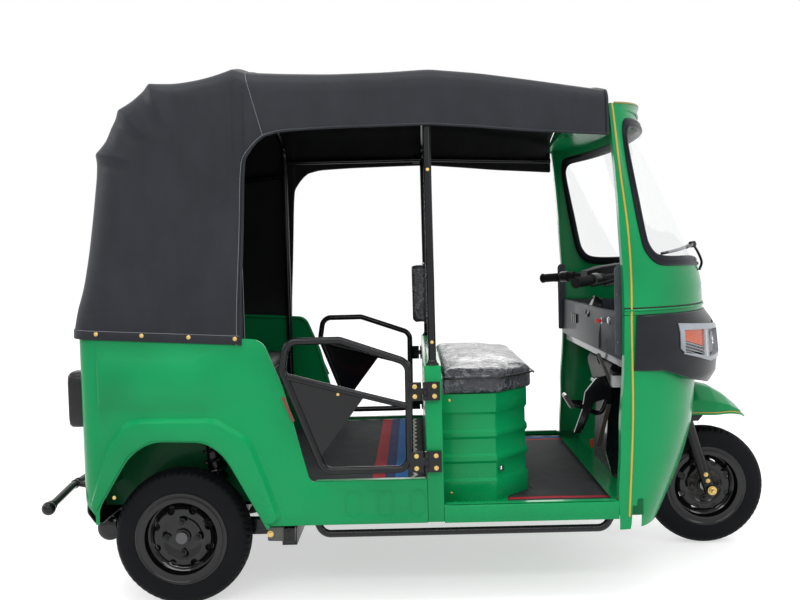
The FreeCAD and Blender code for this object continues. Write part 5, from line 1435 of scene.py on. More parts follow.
    def window_trim(self, points: np.ndarray) -> list[bpy.types.Object]:
        """The clear pane in the back and its welded border."""
        wide, low, high = self.window
        middle = points.shape[1] // 2
        back = points[:60, middle]
        heights = np.linspace(low - 0.012, high + 0.012, 16)
        x = np.interp(heights, back[:, 2], back[:, 0])
        y = np.linspace(-wide - 0.012, wide + 0.012, 22)
        pane = Piece("hood_window")
        grid = np.stack(np.broadcast_arrays(x[:, None] + 0.0016, y[None], heights[:, None]), -1).copy()
        ripple = np.sin(grid[..., 1] * 31) * np.sin(grid[..., 2] * 23)
        grid[..., 0] += 0.0012 * ripple
        pane.grid(grid, wrap=False)
        shown = pane.build("chassis", [HOOD_WINDOW], "glass", ["rear_window"], outward=False)
        border = Piece("hood_window_border")
        outline = rounded_route([(-wide, low), (wide, low), (wide, high), (-wide, high)], 0.045, True, 8)
        line = np.column_stack([np.interp(outline[:, 1], back[:, 2], back[:, 0]), outline])
        line = np.concatenate([line, line[:1]])
        band = self.strip(line, np.broadcast_to(unit(np.array([-1.0, 0, 0.05])), line.shape), 0.030, 0.0022)
        border.grid(band[:-1], closed=True)
        frame = border.build("chassis", [HOOD], "hood_vinyl", sharp=60)
        return [shown, frame]


# Rear body
@dataclass
class RearBody(Part):
    """The tub: painted CAD sheets with their rims, reflectors, screws, lamps and bumper."""

    frame: dict
    back_x: float = -1.160

    def make(self) -> None:
        """Dress the panels and add what is fixed to them."""
        dress(self.frame, "body_side_right body_side_left rear_panel rear_hatch", GREEN, 0.0012)
        # Wheel housings and seat deck take the darker green copy as painted shade.
        dress(self.frame, "rear_wheel_housings seat_deck", GREEN_INNER_SHADE)
        dress(self.frame, "rear_valance rear_bumper", ENAMEL)
        self.reflectors()
        self.screws()
        self.arch_seals()
        self.lamps()
        self.bumper_caps()
        self.hatch_details()
        self.plate_screws()

    def reflectors(self) -> None:
        """A red reflector strip on each slanting door edge."""
        piece = Piece("side_reflectors")
        for side in (-1, 1):
            low, high = np.array([-0.436, 0.0, 0.628]), np.array([-0.470, 0.0, 0.712])
            along = unit(high - low)
            across = np.array([along[2], 0, -along[0]])
            corners = [low - across * 0.0045, low + across * 0.0045, high + across * 0.0045,
                       high - across * 0.0045]
            plan = np.array([(c[0], c[2]) for c in corners])
            y0, y1 = sorted((side * 0.6405, side * 0.6445))
            piece.slab(plan, y0, y1, 0.0012, 0.003, axis=1)
        piece.build("chassis", [REFLECTOR], "lamp_red")

    def screws(self) -> None:
        """A brass screw low on each flare."""
        piece = Piece("body_screws")
        spots = [(-1.038, 0.392)]
        for x, z in spots:
            for side in (-1, 1):
                out = 0.662 if x < -0.54 else 0.640
                piece.dome((x, side * out, z), (0, side, 0), 0.0065, 0.003)
        piece.build("chassis", [BRASS], "steel")

    def arch_seals(self) -> None:
        """The turned lip inside each wheel arch."""
        opening = [(-263, 300), (-263, 355), (-152, 534), (-77, 580), (106, 574), (170, 526), (217, 441),
                   (306, 275)]
        bends = [0, 0.03, 0.06, 0.06, 0.06, 0.08, 0.15, 0]
        flat = np.array([(REAR_AXLE_X + x / 1000, z / 1000) for x, z in opening])
        line = rounded_route(flat, bends, False, 9)
        piece = Piece("arch_lips")
        for side in (-1, 1):
            route = np.column_stack([line[:, 0], np.full(len(line), side * 0.655), line[:, 1]])
            piece.grid(swept(route, np.array([(-0.006, -0.0015), (0.006, -0.0015), (0.006, 0.0015),
                                              (-0.006, 0.0015)]), (0, 1, 0)))
        piece.build("chassis", [GREEN], "body_green")

    def lamps(self) -> None:
        """Tail lamps: a black housing with a red, an amber and a clear lens behind."""
        housing = Piece("tail_lamp_housings")
        red = Piece("tail_lamp_red")
        amber = Piece("tail_lamp_amber")
        clear = Piece("tail_lamp_clear")
        x = self.back_x
        for side in (-1, 1):
            y0, y1 = sorted((side * 0.455, side * 0.565))
            housing.slab([(y0, 0.609), (y1, 0.609), (y1, 0.802), (y0, 0.802)], x - 0.056, x - 0.0004, 0.008,
                         0.034, axis=0)
            inner = (y0 + 0.010, y1 - 0.010)
            for part, low, high in ((red, 0.683, 0.792), (amber, 0.647, 0.680), (clear, 0.618, 0.644)):
                part.slab([(inner[0], low), (inner[1], low), (inner[1], high), (inner[0], high)], x - 0.0572,
                          x - 0.040, 0.0012, 0.010, axis=0)
            for z in (0.6815, 0.6455):
                housing.dome((x - 0.0565, (y0 + y1) / 2, z), (-1, 0, 0), 0.0028, 0.0012)
        housing.build("chassis", [BLACK_PLASTIC], "lamp_red", ["tail_lamps"])
        red.build("chassis", [LAMP_RED], "lamp_red")
        amber.build("chassis", [LAMP_AMBER], "lamp_red")
        clear.build("chassis", [GREY_PLASTIC], "lamp_clear")

    def bumper_caps(self) -> None:
        """Rubber balls' mould lines and the stays' clamps on the rear bumper."""
        caps = Piece("bumper_collars")
        for side in (-1, 1):
            end = np.array([-1.316, side * 0.520, 0.324])
            along = unit(np.array([0, side * 0.220, -0.024]))
            profile = [(0.0145, -0.034), (0.0185, -0.030), (0.0185, -0.020), (0.0165, -0.016),
                       (0.0145, -0.016)]
            caps.turned(profile, end, along, 20)
            for near in (0.235, 0.265):
                place = np.array([-1.316, side * near, 0.348])
                caps.turned([(0.0142, -0.004), (0.0172, -0.003), (0.0172, 0.003), (0.0142, 0.004)], place,
                            (0, 1, 0), 20)
        caps.build("chassis", [ENAMEL], "frame_black")

    def hatch_details(self) -> None:
        """Lid latch, louvres with dark blocks of painted shade under them, and a keyhole on the engine hatch.
        """
        louvres = Piece("hatch_louvres")
        x = self.back_x - 0.005
        for row in range(5):
            z = 0.560 + row * 0.026
            for side in (-1, 1):
                centre = side * 0.150
                across = np.linspace(-0.085, 0.085, 13)
                rise = np.sqrt(np.clip(1 - (across / 0.086) ** 2, 0, 1)) ** 0.5
                turn = np.linspace(0, np.pi, 7)
                grid = np.empty((len(turn), len(across), 3))
                grid[..., 0] = x + 0.0004 - 0.0075 * np.sin(turn)[:, None] * rise[None]
                grid[..., 1] = centre + across[None]
                grid[..., 2] = z - 0.008 * np.cos(turn)[:, None] * (0.5 + 0.5 * rise[None])
                louvres.grid(grid, wrap=False)
        made = louvres.build("rear_hatch", [GREEN], "body_green", outward=False)
        wall(made, 0.0012, 0.0)
        # Dark blocks under the louvres: painted shade in their openings.
        slots = Piece("hatch_louvre_shadows")
        for row in range(5):
            z = 0.560 + row * 0.026 - 0.0085
            for side in (-1, 1):
                slots.block((x - 0.0012, side * 0.150 - 0.076, z - 0.0022),
                            (x + 0.001, side * 0.150 + 0.076, z + 0.0022), 0.0008)
        slots.build("rear_hatch", [BLACK_PLASTIC], "body_green")
        latch = Piece("hatch_latch")
        latch.turned([(0.018, -0.001), (0.018, 0.003), (0.014, 0.006), (0.006, 0.007)], (x, 0.0, 0.690),
                     (-1, 0, 0), 28)
        latch.block((x - 0.0085, -0.0012, 0.6845), (x - 0.0065, 0.0012, 0.6955), 0.0004)
        latch.build("rear_hatch", [CHROME], "steel")

    def plate_screws(self) -> None:
        """A blank plate bracket's rubber washers round the two plate holes."""
        piece = Piece("plate_washers")
        for y in (-0.1, 0.1):
            profile = [(0.0045, 0.0), (0.0045, 0.0022), (0.0085, 0.0022), (0.0095, 0.0)]
            piece.turned(profile, (self.back_x - 0.0002, y, 0.860), (-1, 0, 0), 20)
        piece.build("chassis", [SEAL], "steel")


# Wheels
@dataclass
class Wheel(Part):
    """One wheel: a grooved tyre, the black pressed rim, its nuts, hub cap and valve.

    The tyre is a rounded ring. Its tread has two zigzag grooves and short slots at both shoulders,
    cut inwards along the radius, and its sidewalls carry fine rings.
    """

    frame: dict
    name: str
    body: str
    centre: Point
    side: int
    tyre_node: str
    rim_node: str
    front: bool = False

    def tyre(self) -> None:
        """The tyre's surface: a profile turned about the axle, then grooved."""
        half = 0.056
        corners = [(0.127, -0.048), (0.1445, -0.0505), (0.182, -half), (0.2225, -0.045), (TYRE_R, -0.020),
                   (TYRE_R, 0.020), (0.2225, 0.045), (0.182, half), (0.1445, 0.0505), (0.127, 0.048)]
        outline = rounded_route(corners, [0, 0.006, 0.024, 0.016, 0.014, 0.014, 0.016, 0.024, 0.006, 0],
                                False, 9)
        outline = smooth_route(outline, 84)
        turn = np.linspace(0, 2 * np.pi, 300, endpoint=False)
        radius = np.repeat(outline[:, :1], len(turn), axis=1)
        across = np.repeat(outline[:, 1:], len(turn), axis=1)
        angle = np.repeat(turn[None], len(outline), axis=0)
        zigzag = np.abs((angle * 36 / (2 * np.pi)) % 1 - 0.5) * 2 - 0.5
        tread = np.clip((radius - 0.214) / 0.008, 0, 1)
        groove = np.zeros_like(radius)
        for place in (-0.0155, 0.0155):
            groove = np.maximum(groove, np.clip(1.9 - np.abs(across - place - zigzag * 0.005) / 0.0022, 0, 1))
        slot = np.clip(1.7 - np.abs(((angle * 60 / (2 * np.pi)) + across * 18) % 1 - 0.5) / 0.11, 0, 1)
        slot *= np.clip((np.abs(across) - 0.026) / 0.003, 0, 1)
        centre = np.clip(1.7 - np.abs((angle * 36 / (2 * np.pi) + across * 14) % 1 - 0.5) / 0.09, 0, 1)
        centre *= np.clip((0.0115 - np.abs(across)) / 0.002, 0, 1) * 0.6
        depth = 0.0052 * np.maximum(np.maximum(groove, slot * 0.85), centre) * tread
        rings = np.cos((radius - 0.150) * 2 * np.pi / 0.0075) * ((radius > 0.149) & (radius < 0.168)) * 0.0007
        rings += np.exp(-(((radius - 0.207) / 0.0018) ** 2)) * 0.0012
        radius = np.minimum(radius - depth, TYRE_R)
        across = across + np.sign(across) * (rings - 0.0004)
        x = self.centre[0] + radius * np.cos(angle)
        y = self.centre[1] + across
        z = self.centre[2] + radius * np.sin(angle)
        points = np.stack([x, y, z], -1)
        piece = Piece(self.name + "_tyre")
        piece.grid(points, closed=True, caps=False)
        piece.build(self.body, [TYRE], "tyre", [self.tyre_node], sharp=50)

    def make(self) -> None:
        """Tyre, rim, nuts, hub and valve."""
        self.tyre()
        dress(self.frame, self.rim_node, WHEEL_BLACK, 0.0012)
        cx, cy, cz = self.centre
        out = (0, self.side, 0)
        nuts = Piece(self.name + "_nuts")
        for k in range(4):
            turn = 2 * math.pi * k / 4
            spot = (cx + 0.053 * math.cos(turn), cy + self.side * 0.0325, cz + 0.053 * math.sin(turn))
            nuts.bolt(spot, out, 0.0098, 0.010, 0, 0.0125)
            nuts.turned([(0.0045, 0.0), (0.0045, 0.0135), (0.0035, 0.015)], spot, out, 12)
        nuts.build(self.body, [WHEEL_BLACK], "steel")
        hub = Piece(self.name + "_hub_cap")
        low = 0.0345 if not self.front else 0.034
        hub.turned([(0.0130, low), (0.0190, low + 0.001), (0.0190, low + 0.005), (0.0165, low + 0.007),
                    (0.0135, low + 0.006)], (cx, cy, cz), out, 32)
        hub.turned([(0.0112, low + 0.0050), (0.0112, low + 0.0070), (0.0100, low + 0.0080)], (cx, cy, cz),
                   out, 24, slot=1)
        hub.build(self.body, [SILVER, BLACK_PLASTIC], "steel")
        flange = Piece(self.name + "_rim_flange")
        profile = [(0.1340, 0.0490), (0.1440, 0.0528), (0.1470, 0.0524), (0.1500, 0.0545), (0.1545, 0.0552),
                   (0.1562, 0.0540), (0.1560, 0.0525), (0.1480, 0.0500)]
        for side in ((1, -1) if self.front else (self.side,)):
            flange.grid(revolved(profile, (cx, cy, cz), (0, side, 0), 72), closed=True)
        flange.build(self.body, [WHEEL_BLACK], "wheel_black")
        valve = Piece(self.name + "_valve")
        turn = 0.6
        spot = np.array([cx + 0.104 * math.cos(turn), cy + self.side * 0.020, cz + 0.104 * math.sin(turn)])
        valve.turned([(0.0042, -0.004), (0.0042, 0.016), (0.0055, 0.018), (0.0055, 0.030), (0.004, 0.033)],
                     spot, unit(np.array([-math.cos(turn) * 0.35, self.side, -math.sin(turn) * 0.35])), 12)
        valve.build(self.body, [BLACK_PLASTIC], "steel")
        self.drum()

    def drum(self) -> None:
        """The drum behind the disc, seen through its eight holes."""
        cx, cy, cz = self.centre
        reach = 0.098 if self.front else 0.106
        low = 0.004 if self.front else -0.006
        piece = Piece(self.name + "_drum")
        profile = [(0.030, low - 0.030), (reach, low - 0.030), (reach, low), (0.030, low + 0.001)]
        for side in ((self.side, -self.side) if self.front else (self.side,)):
            piece.turned(profile, (cx, cy, cz), (0, side, 0), 56)
        piece.build(self.body, [UNDER_BLACK], "steel")


# Underbody
@dataclass
class Underbody(Part):
    """Rails, arms, struts with springs, engine with fins, silencer and side bars."""

    frame: dict

    def make(self) -> None:
        """Dress the frame and add the moving gear's details."""
        dress(self.frame, "chassis_frame side_bars rear_suspension", ENAMEL, 0.0015)
        dress(self.frame, "rear_axles", DARK_STEEL)
        dress(self.frame, "engine_block", CASTING, 0.004)
        dress(self.frame, "muffler", WHEEL_BLACK, 0.002)
        self.springs()
        self.boots()
        self.engine_fins()
        self.brackets()
        self.straps()

    def springs(self) -> None:
        """A black coil round each strut, between two cups."""
        coil = Piece("strut_springs")
        cups = Piece("strut_cups")
        for side in (-1, 1):
            low = np.array([REAR_AXLE_X + 0.1065, side * 0.458, 0.280])
            high = np.array([REAR_AXLE_X + 0.0865, side * 0.458, 0.535])
            axis = unit(high - low)
            across = np.array([0.0, 1.0, 0.0])
            third = np.cross(axis, across)
            turn = np.linspace(0, 2 * np.pi * 7.5, 7 * 22)
            share = np.clip((turn / turn[-1] - 0.04) / 0.92, 0, 1)[:, None]
            round_it = np.cos(turn)[:, None] * across + np.sin(turn)[:, None] * third
            line = low + (high - low) * share + 0.0345 * round_it
            coil.grid(swept(line, ring(0.0062, 8), tuple(axis)))
            for place, way in ((low, 1), (high, -1)):
                cups.turned([(0.0262, -0.010), (0.043, -0.008), (0.0445, 0.0), (0.0262, 0.002)], place,
                            axis * way, 24)
        coil.build("chassis", [ENAMEL], "frame_black")
        cups.build("chassis", [ENAMEL], "steel")

    def boots(self) -> None:
        """Ribbed rubber boots at the inner ends of the drive shafts."""
        piece = Piece("axle_boots")
        for side in (-1, 1):
            along = np.linspace(0, 0.085, 41)
            radius = 0.034 - along * 0.16 + 0.0035 * np.cos(along * 2 * np.pi / 0.014)
            piece.turned(list(zip(np.maximum(radius, 0.0152), along)), (REAR_AXLE_X, side * 0.223, TYRE_R),
                         (0, side, 0), 28)
        piece.build("chassis", [SEAL], "steel")

    def engine_fins(self) -> None:
        """Cooling fins, side covers and bolts that stand on the plain engine block."""
        fins = Piece("engine_fins")
        low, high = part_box("engine_block")
        for k in range(9):
            z = 0.330 + k * 0.021
            fins.block((high[0] - 0.002, -0.120, z), (high[0] + 0.010, 0.120, z + 0.004), 0.0015)
            fins.block((-1.030, low[1] - 0.006, z), (-0.800, low[1] + 0.003, z + 0.004), 0.0015)
            fins.block((-1.030, high[1] - 0.003, z), (-0.800, high[1] + 0.006, z + 0.004), 0.0015)
        fins.build("chassis", [CASTING], "engine_metal")
        cover = Piece("engine_covers")
        for side, edge in ((-1, low[1]), (1, high[1])):
            cover.turned([(0.075, -0.004), (0.075, 0.007), (0.068, 0.012), (0.030, 0.014)],
                         (-0.915, edge, 0.262), (0, side, 0), 40)
        cover.build("chassis", [CASTING], "engine_metal")
        bolts = Piece("engine_bolts")
        for side, edge in ((-1, low[1]), (1, high[1])):
            for k in range(6):
                turn = 2 * math.pi * k / 6 + 0.3
                spot = (-0.915 + 0.064 * math.cos(turn), edge + side * 0.0115, 0.262 + 0.064 * math.sin(turn))
                bolts.bolt(spot, (0, side, 0), 0.0052, 0.005)
        bolts.build("chassis", [ZINC], "steel")

    def brackets(self) -> None:
        """The grey sill brackets behind the side bars, with a brass bolt each."""
        piece = Piece("sill_brackets")
        bolts = Piece("sill_bracket_bolts")
        tubes = Piece("sill_bracket_tubes")
        for side in (-1, 1):
            y0, y1 = sorted((side * 0.606, side * 0.6335))
            piece.slab([(-0.535, 0.273), (-0.481, 0.272), (-0.483, 0.224), (-0.537, 0.226)], y0, y1, 0.003,
                       0.006, axis=1)
            tubes.slab([(-0.481, 0.268), (-0.444, 0.268), (-0.446, 0.22), (-0.483, 0.221)], y0, y1, 0.002,
                       0.004, axis=1)
            bolts.bolt((-0.527, side * 0.6335, 0.25), (0, side, 0), 0.008, 0.006, 0, 0.011)
        piece.build("chassis", [BRACKET], "frame_black")
        tubes.build("chassis", [ENAMEL], "frame_black")
        bolts.build("chassis", [BRASS], "steel")

    def straps(self) -> None:
        """Two straps and a tail pipe on the silencer."""
        x, z = REAR_AXLE_X - 0.287, 0.236
        piece = Piece("silencer_straps")
        for y in (-0.36, 0.07):
            piece.turned([(0.0395, -0.012), (0.0415, -0.011), (0.0415, 0.011), (0.0395, 0.012)], (x, y, z),
                         (0, 1, 0), 32)
            piece.block((x - 0.006, y - 0.010, z + 0.039), (x + 0.006, y + 0.010, 0.2815), 0.002)
        piece.build("chassis", [ZINC], "steel")
        pipe = Piece("tail_pipe")
        pipe.bar([(x, 0.150, z - 0.010), (x, 0.196, z - 0.010), (x - 0.030, 0.226, z - 0.018)], 0.015, 0.02,
                 (1, 0, 0.2), 20)
        pipe.build("chassis", [DARK_STEEL], "steel")
        end = Piece("silencer_end")
        end.turned([(0.0405, -0.010), (0.0425, -0.006), (0.0425, 0.002), (0.034, 0.010), (0.014, 0.013)],
                   (x, -0.4705, z), (0, -1, 0), 36)
        end.build("chassis", [WHEEL_BLACK], "steel")


# Cabin
@dataclass
class Cabin(Part):
    """Floors, mats, partition, seat box, seats and backrest."""

    frame: dict

    def make(self) -> None:
        """Dress the sheet metal, lay the mats and stuff the seats."""
        dress(self.frame, "passenger_floor driver_floor driver_seat_box", GREEN, 0.0012)
        dress(self.frame, "partition", GREEN, 0.0015)
        self.mats()
        self.rear_bench()
        self.driver_seat()
        self.backrest()
        self.seat_box_details()
        self.floor_trims()

    def mat(self, name: str, node: str, outline: Sequence, low: float, finish: Finish) -> None:
        """A rubber mat: a flat sheet with a slightly lifted, wavy surface and a rounded edge.

        Args:
            name: the piece's name.
            node: the CAD node it stands for.
            outline: its plan.
            low: the height that it lies at.
            finish: its finish.
        """
        plan = np.asarray(outline, float)
        edge = rounded_route(plan, 0.018, True, 4)
        inner = plan.mean(0) + (edge - plan.mean(0)) * 0.985
        lo, hi = plan.min(0), plan.max(0)
        gx, gy = np.meshgrid(np.arange(lo[0] + 0.02, hi[0] - 0.01, 0.022),
                             np.arange(lo[1] + 0.02, hi[1] - 0.01, 0.022))
        loose = np.column_stack([gx.ravel(), gy.ravel()])
        ends = np.roll(edge, -1, axis=0)
        cross = (edge[None, :, 1] > loose[:, None, 1]) != (ends[None, :, 1] > loose[:, None, 1])
        rise = np.where(np.abs(ends[:, 1] - edge[:, 1]) < 1e-12, 1e-12, ends[:, 1] - edge[:, 1])
        run = (ends - edge)[None, :, 0]
        hit = edge[None, :, 0] + (loose[:, None, 1] - edge[None, :, 1]) / rise[None] * run
        inside = (cross & (loose[:, None, 0] < hit)).sum(1) % 2 == 1
        far = np.min(np.linalg.norm(loose[:, None] - edge[None], axis=-1), axis=1) > 0.012
        flat = np.concatenate([edge, inner, loose[inside & far]])
        links = [(i, (i + 1) % len(edge)) for i in range(len(edge))]
        made = delaunay_2d_cdt([tuple(p) for p in flat], links, [], 1, 1e-6)
        points = np.array([tuple(p) for p in made[0]])
        wave = 0.0012 * np.sin(points[:, 0] * 23 + 1) * np.sin(points[:, 1] * 17) + 0.0012
        rim = np.min(np.linalg.norm(points[:, None] - edge[None], axis=-1), axis=1)
        height = low + 0.0040 + wave * np.clip(rim / 0.05, 0, 1) - 0.0016 * np.clip(1 - rim / 0.006, 0, 1)
        piece = Piece(name)
        piece.add(np.column_stack([points, height]), made[2])
        rubber = piece.build("chassis", [finish], "floor_mat", [node], sharp=70)
        turned = np.array([p.normal.z for p in rubber.data.polygons])
        if turned.mean() < 0:
            rubber.data.flip_normals()
        wall(rubber, 0.0036, -1.0, 0, False)

    def mats(self) -> None:
        """The passenger mat, cut round the wheel housings, and the driver's, cut round the seat box."""
        low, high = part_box("passenger_mat")
        x0, x1, x2 = low[0], -0.485, high[0]
        y, inner = 0.611, 0.415
        outline = [(x0, -inner), (x1, -inner), (x1, -y), (x2, -y), (x2, y), (x1, y), (x1, inner), (x0, inner)]
        self.mat("passenger_mat_rubber", "passenger_mat", outline, low[2], MatRubber("passenger_mat_rubber"))
        low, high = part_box("driver_mat")
        x0, x1, cut = low[0] + 0.001, high[0], 0.3735
        slant = 0.373 + (0.520 - 0.373) * (cut - x0) / 0.125
        outline = [(x0, -0.611), (x1, -0.611), (x1, 0.611), (x0, 0.611), (x0, slant), (cut, 0.374),
                   (cut, -0.374), (x0, -slant)]
        finish = MatRubber("driver_mat_rubber", MatLayout.DRIVER)
        self.mat("driver_mat_rubber", "driver_mat", outline, low[2], finish)

    def rear_bench(self) -> None:
        """The passengers' cushion and its back."""
        plan = [(-0.982, -0.556), (-0.612, -0.556), (-0.612, 0.556), (-0.982, 0.556)]
        Pad("rear_cushion_pad", "rear_seat_cushion", plan, 0.6325, 0.748, 0.028, 0.010,
            seams=(-0.185, 0.185)).make()
        up = unit(np.array([-0.045, 0.0, 0.458]))
        out = unit(np.array([0.458, 0.0, 0.045]))
        plan = [(0.004, -0.556), (0.448, -0.556), (0.448, 0.556), (0.004, 0.556)]
        pivot = (REAR_AXLE_X - 0.258, 0.0, 0.634)
        tilt = (pivot, tuple(up), (0, 1, 0), tuple(out))
        Pad("rear_back_pad", "rear_seat_back", plan, 0.0, 0.084, 0.030, 0.006, tilt=tilt,
            seams=(-0.185, 0.185)).make()

    def driver_seat(self) -> None:
        """The driver's cushion in its wrinkled clear film."""
        plan = [(0.064, -0.540), (0.258, -0.540), (0.393, -0.380), (0.393, 0.380), (0.258, 0.540),
                (0.064, 0.540)]
        Pad("driver_cushion_pad", "driver_seat_cushion", plan, 0.6885, 0.766, 0.024, 0.010, finish=SEAT_FILM,
            corner=0.034, piping=0.0035).make()

    def backrest(self) -> None:
        """The driver's narrow backrest pad on its two bars, with clips round them."""
        plan = [(0.919, -0.246), (1.138, -0.246), (1.138, 0.246), (0.919, 0.246)]
        tilt = ((POST_X - 0.062, 0.0, 0.0), (0, 0, 1), (0, 1, 0), (1, 0, 0))
        Pad("driver_back_pad", "driver_backrest", plan, 0.0, 0.068, 0.022, 0.003, finish=PAD_FILM,
            corner=0.030, tilt=tilt, piping=0.0034).make()
        clips = Piece("backrest_clips")
        for z in (0.962, 1.096):
            for y in (-0.285, 0.285):
                clips.turned([(0.0082, -0.010), (0.0108, -0.009), (0.0108, 0.009), (0.0082, 0.010)],
                             (POST_X - 0.006, y, z), (0, 1, 0), 20)
        clips.build("chassis", [ENAMEL], "frame_black")

    def seat_box_details(self) -> None:
        """A lock and corner screws on the seat box."""
        lock = Piece("seat_box_lock")
        slope = unit(np.array([0.150, -0.125, 0.0]))
        spot = np.array([0.2635, -0.503, 0.425])
        lock.turned([(0.011, -0.004), (0.011, 0.003), (0.008, 0.005), (0.004, 0.0055)], spot, slope, 22)
        lock.build("chassis", [CHROME], "steel")
        screws = Piece("seat_box_screws")
        for z in (0.345, 0.668):
            for y in (-0.5205, 0.5205):
                screws.dome((0.086, y, z), (0, math.copysign(1, y), 0), 0.0055, 0.0026)
        for y in (-0.30, 0.30):
            screws.dome((0.3705, y, 0.345), (1, 0, 0), 0.0055, 0.0026)
        screws.build("chassis", [BRASS], "steel")

    def floor_trims(self) -> None:
        """A painted edging along both sills."""
        piece = Piece("sill_edging")
        for side in (-1, 1):
            for x0, x1, z in ((-0.368, -0.002, 0.4262), (0.064, 0.626, 0.3390)):
                line = np.linspace((x0, side * 0.6285, z), (x1, side * 0.6285, z), 8)
                piece.grid(swept(line, np.array([(-0.011, -0.001), (0.011, -0.001), (0.011, 0.001),
                                                 (-0.011, 0.001)])))
        piece.build("chassis", [GREEN], "body_green")


@dataclass
class RoofFrame(Part):
    """Black tube hoops with brass bolts where they meet the rails and the body."""

    frame: dict

    def make(self) -> None:
        """Dress the frame and bolt it."""
        dress(self.frame, "roof_frame", ENAMEL)
        bolts = Piece("roof_bolts")
        for side in (-1, 1):
            for x in (-0.006, 0.049):
                bolts.bolt((x, side * 0.6325, 1.6205), (0, side, 0), 0.0078, 0.006, 0, 0.010)
            for x, z in ((0.030, 1.45), (0.030, 0.88)):
                bolts.dome((x, side * 0.6325, z), (0, side, 0), 0.006, 0.0028)
        bolts.build("chassis", [BRASS], "steel")
        feet = Piece("post_feet")
        for side in (-1, 1):
            profile = [(0.0135, -0.001), (0.022, 0.0005), (0.0215, 0.004), (0.0155, 0.010), (0.0135, 0.018)]
            feet.turned(profile, (POST_X, side * 0.620, 0.803), (0, 0, 1), 28)
        feet.build("chassis", [ENAMEL], "frame_black")
        gussets = Piece("roof_gussets")
        for side in (-1, 1):
            y0, y1 = sorted((side * 0.6315, side * 0.6335))
            gussets.slab([(-0.022, 1.600), (0.066, 1.600), (0.058, 1.642), (-0.014, 1.642)], y0, y1, 0.0008,
                         0.008, axis=1)
        gussets.build("chassis", [ENAMEL], "frame_black")


@dataclass
class DoorGuards(Part):
    """The tube guards with their hinge plates and brass bolts."""

    frame: dict

    def make(self) -> None:
        """Dress both guards and add bolts, a latch knob and collars at the welds."""
        dress(self.frame, "door_guard_right door_guard_left hinge_brackets", ENAMEL, 0.0006)
        for side, body in ((-1, "guard_right"), (1, "guard_left")):
            plates = Piece(f"hinge_bolts_{body}")
            for z0, z1 in ((0.690, 0.751), (0.451, 0.520)):
                for z in (z0 + 0.014, z1 - 0.014):
                    plates.bolt((-0.031, side * 0.657, z), (0, side, 0), 0.0058, 0.0048, 0, 0.0078)
            plates.bolt((-0.286, side * 0.6425, 0.716), (0, side, 0), 0.0055, 0.004)
            plates.build(body, [BRASS], "steel")
            seams = Piece(f"guard_welds_{body}")
            for x, z in ((POST_X - 0.488, 0.780), (POST_X - 0.088, 0.672)):
                seams.turned([(0.0112, -0.004), (0.0145, -0.002), (0.0145, 0.002), (0.0112, 0.004)],
                             (x, side * 0.640, z), unit(np.array([0.404, 0, -0.109])), 18)
            seams.build(body, [ENAMEL], "frame_black")
        fixed = Piece("hinge_bolts_fixed")
        for side in (-1, 1):
            for z0, z1 in ((0.690, 0.751), (0.451, 0.520)):
                for z in (z0 + 0.014, z1 - 0.014):
                    fixed.bolt((0.034, side * 0.657, z), (0, side, 0), 0.0058, 0.0048, 0, 0.0078)
        fixed.build("chassis", [BRASS], "steel")


# Front
# Outlines of what hangs under the dash, as stations and heights
CARRIER_PLAN = [(0.605, 0.643), (0.647, 0.695), (0.692, 0.705), (0.706, 0.663), (0.701, 0.603),
                (0.676, 0.615), (0.638, 0.605), (0.619, 0.56), (0.587, 0.489), (0.561, 0.49), (0.593, 0.576)]
COLUMN_PLAN = [(0.694, 0.656), (0.75, 0.654), (0.745, 0.323), (0.703, 0.324), (0.682, 0.416), (0.692, 0.565)]
BOX_PLAN = [(0.691, 0.717), (0.73, 0.716), (0.729, 0.669), (0.69, 0.67)]
LID_PLAN = [(0.69, 0.73), (0.732, 0.729), (0.732, 0.712), (0.69, 0.713)]
STRUT_PLAN = [(0.646, 0.789), (0.659, 0.789), (0.711, 0.666), (0.698, 0.659)]
LEG_PLAN = [(0.683, 0.6), (0.697, 0.599), (0.655, 0.439), (0.638, 0.443)]
FLANGE_PLAN = [(0.617, 0.470), (0.627, 0.470), (0.627, 0.440), (0.617, 0.440)]
HOSE_LINE = [(0.69, -0.25, 0.953), (0.674, -0.25, 0.913), (0.662, -0.25, 0.857), (0.663, -0.25, 0.808)]


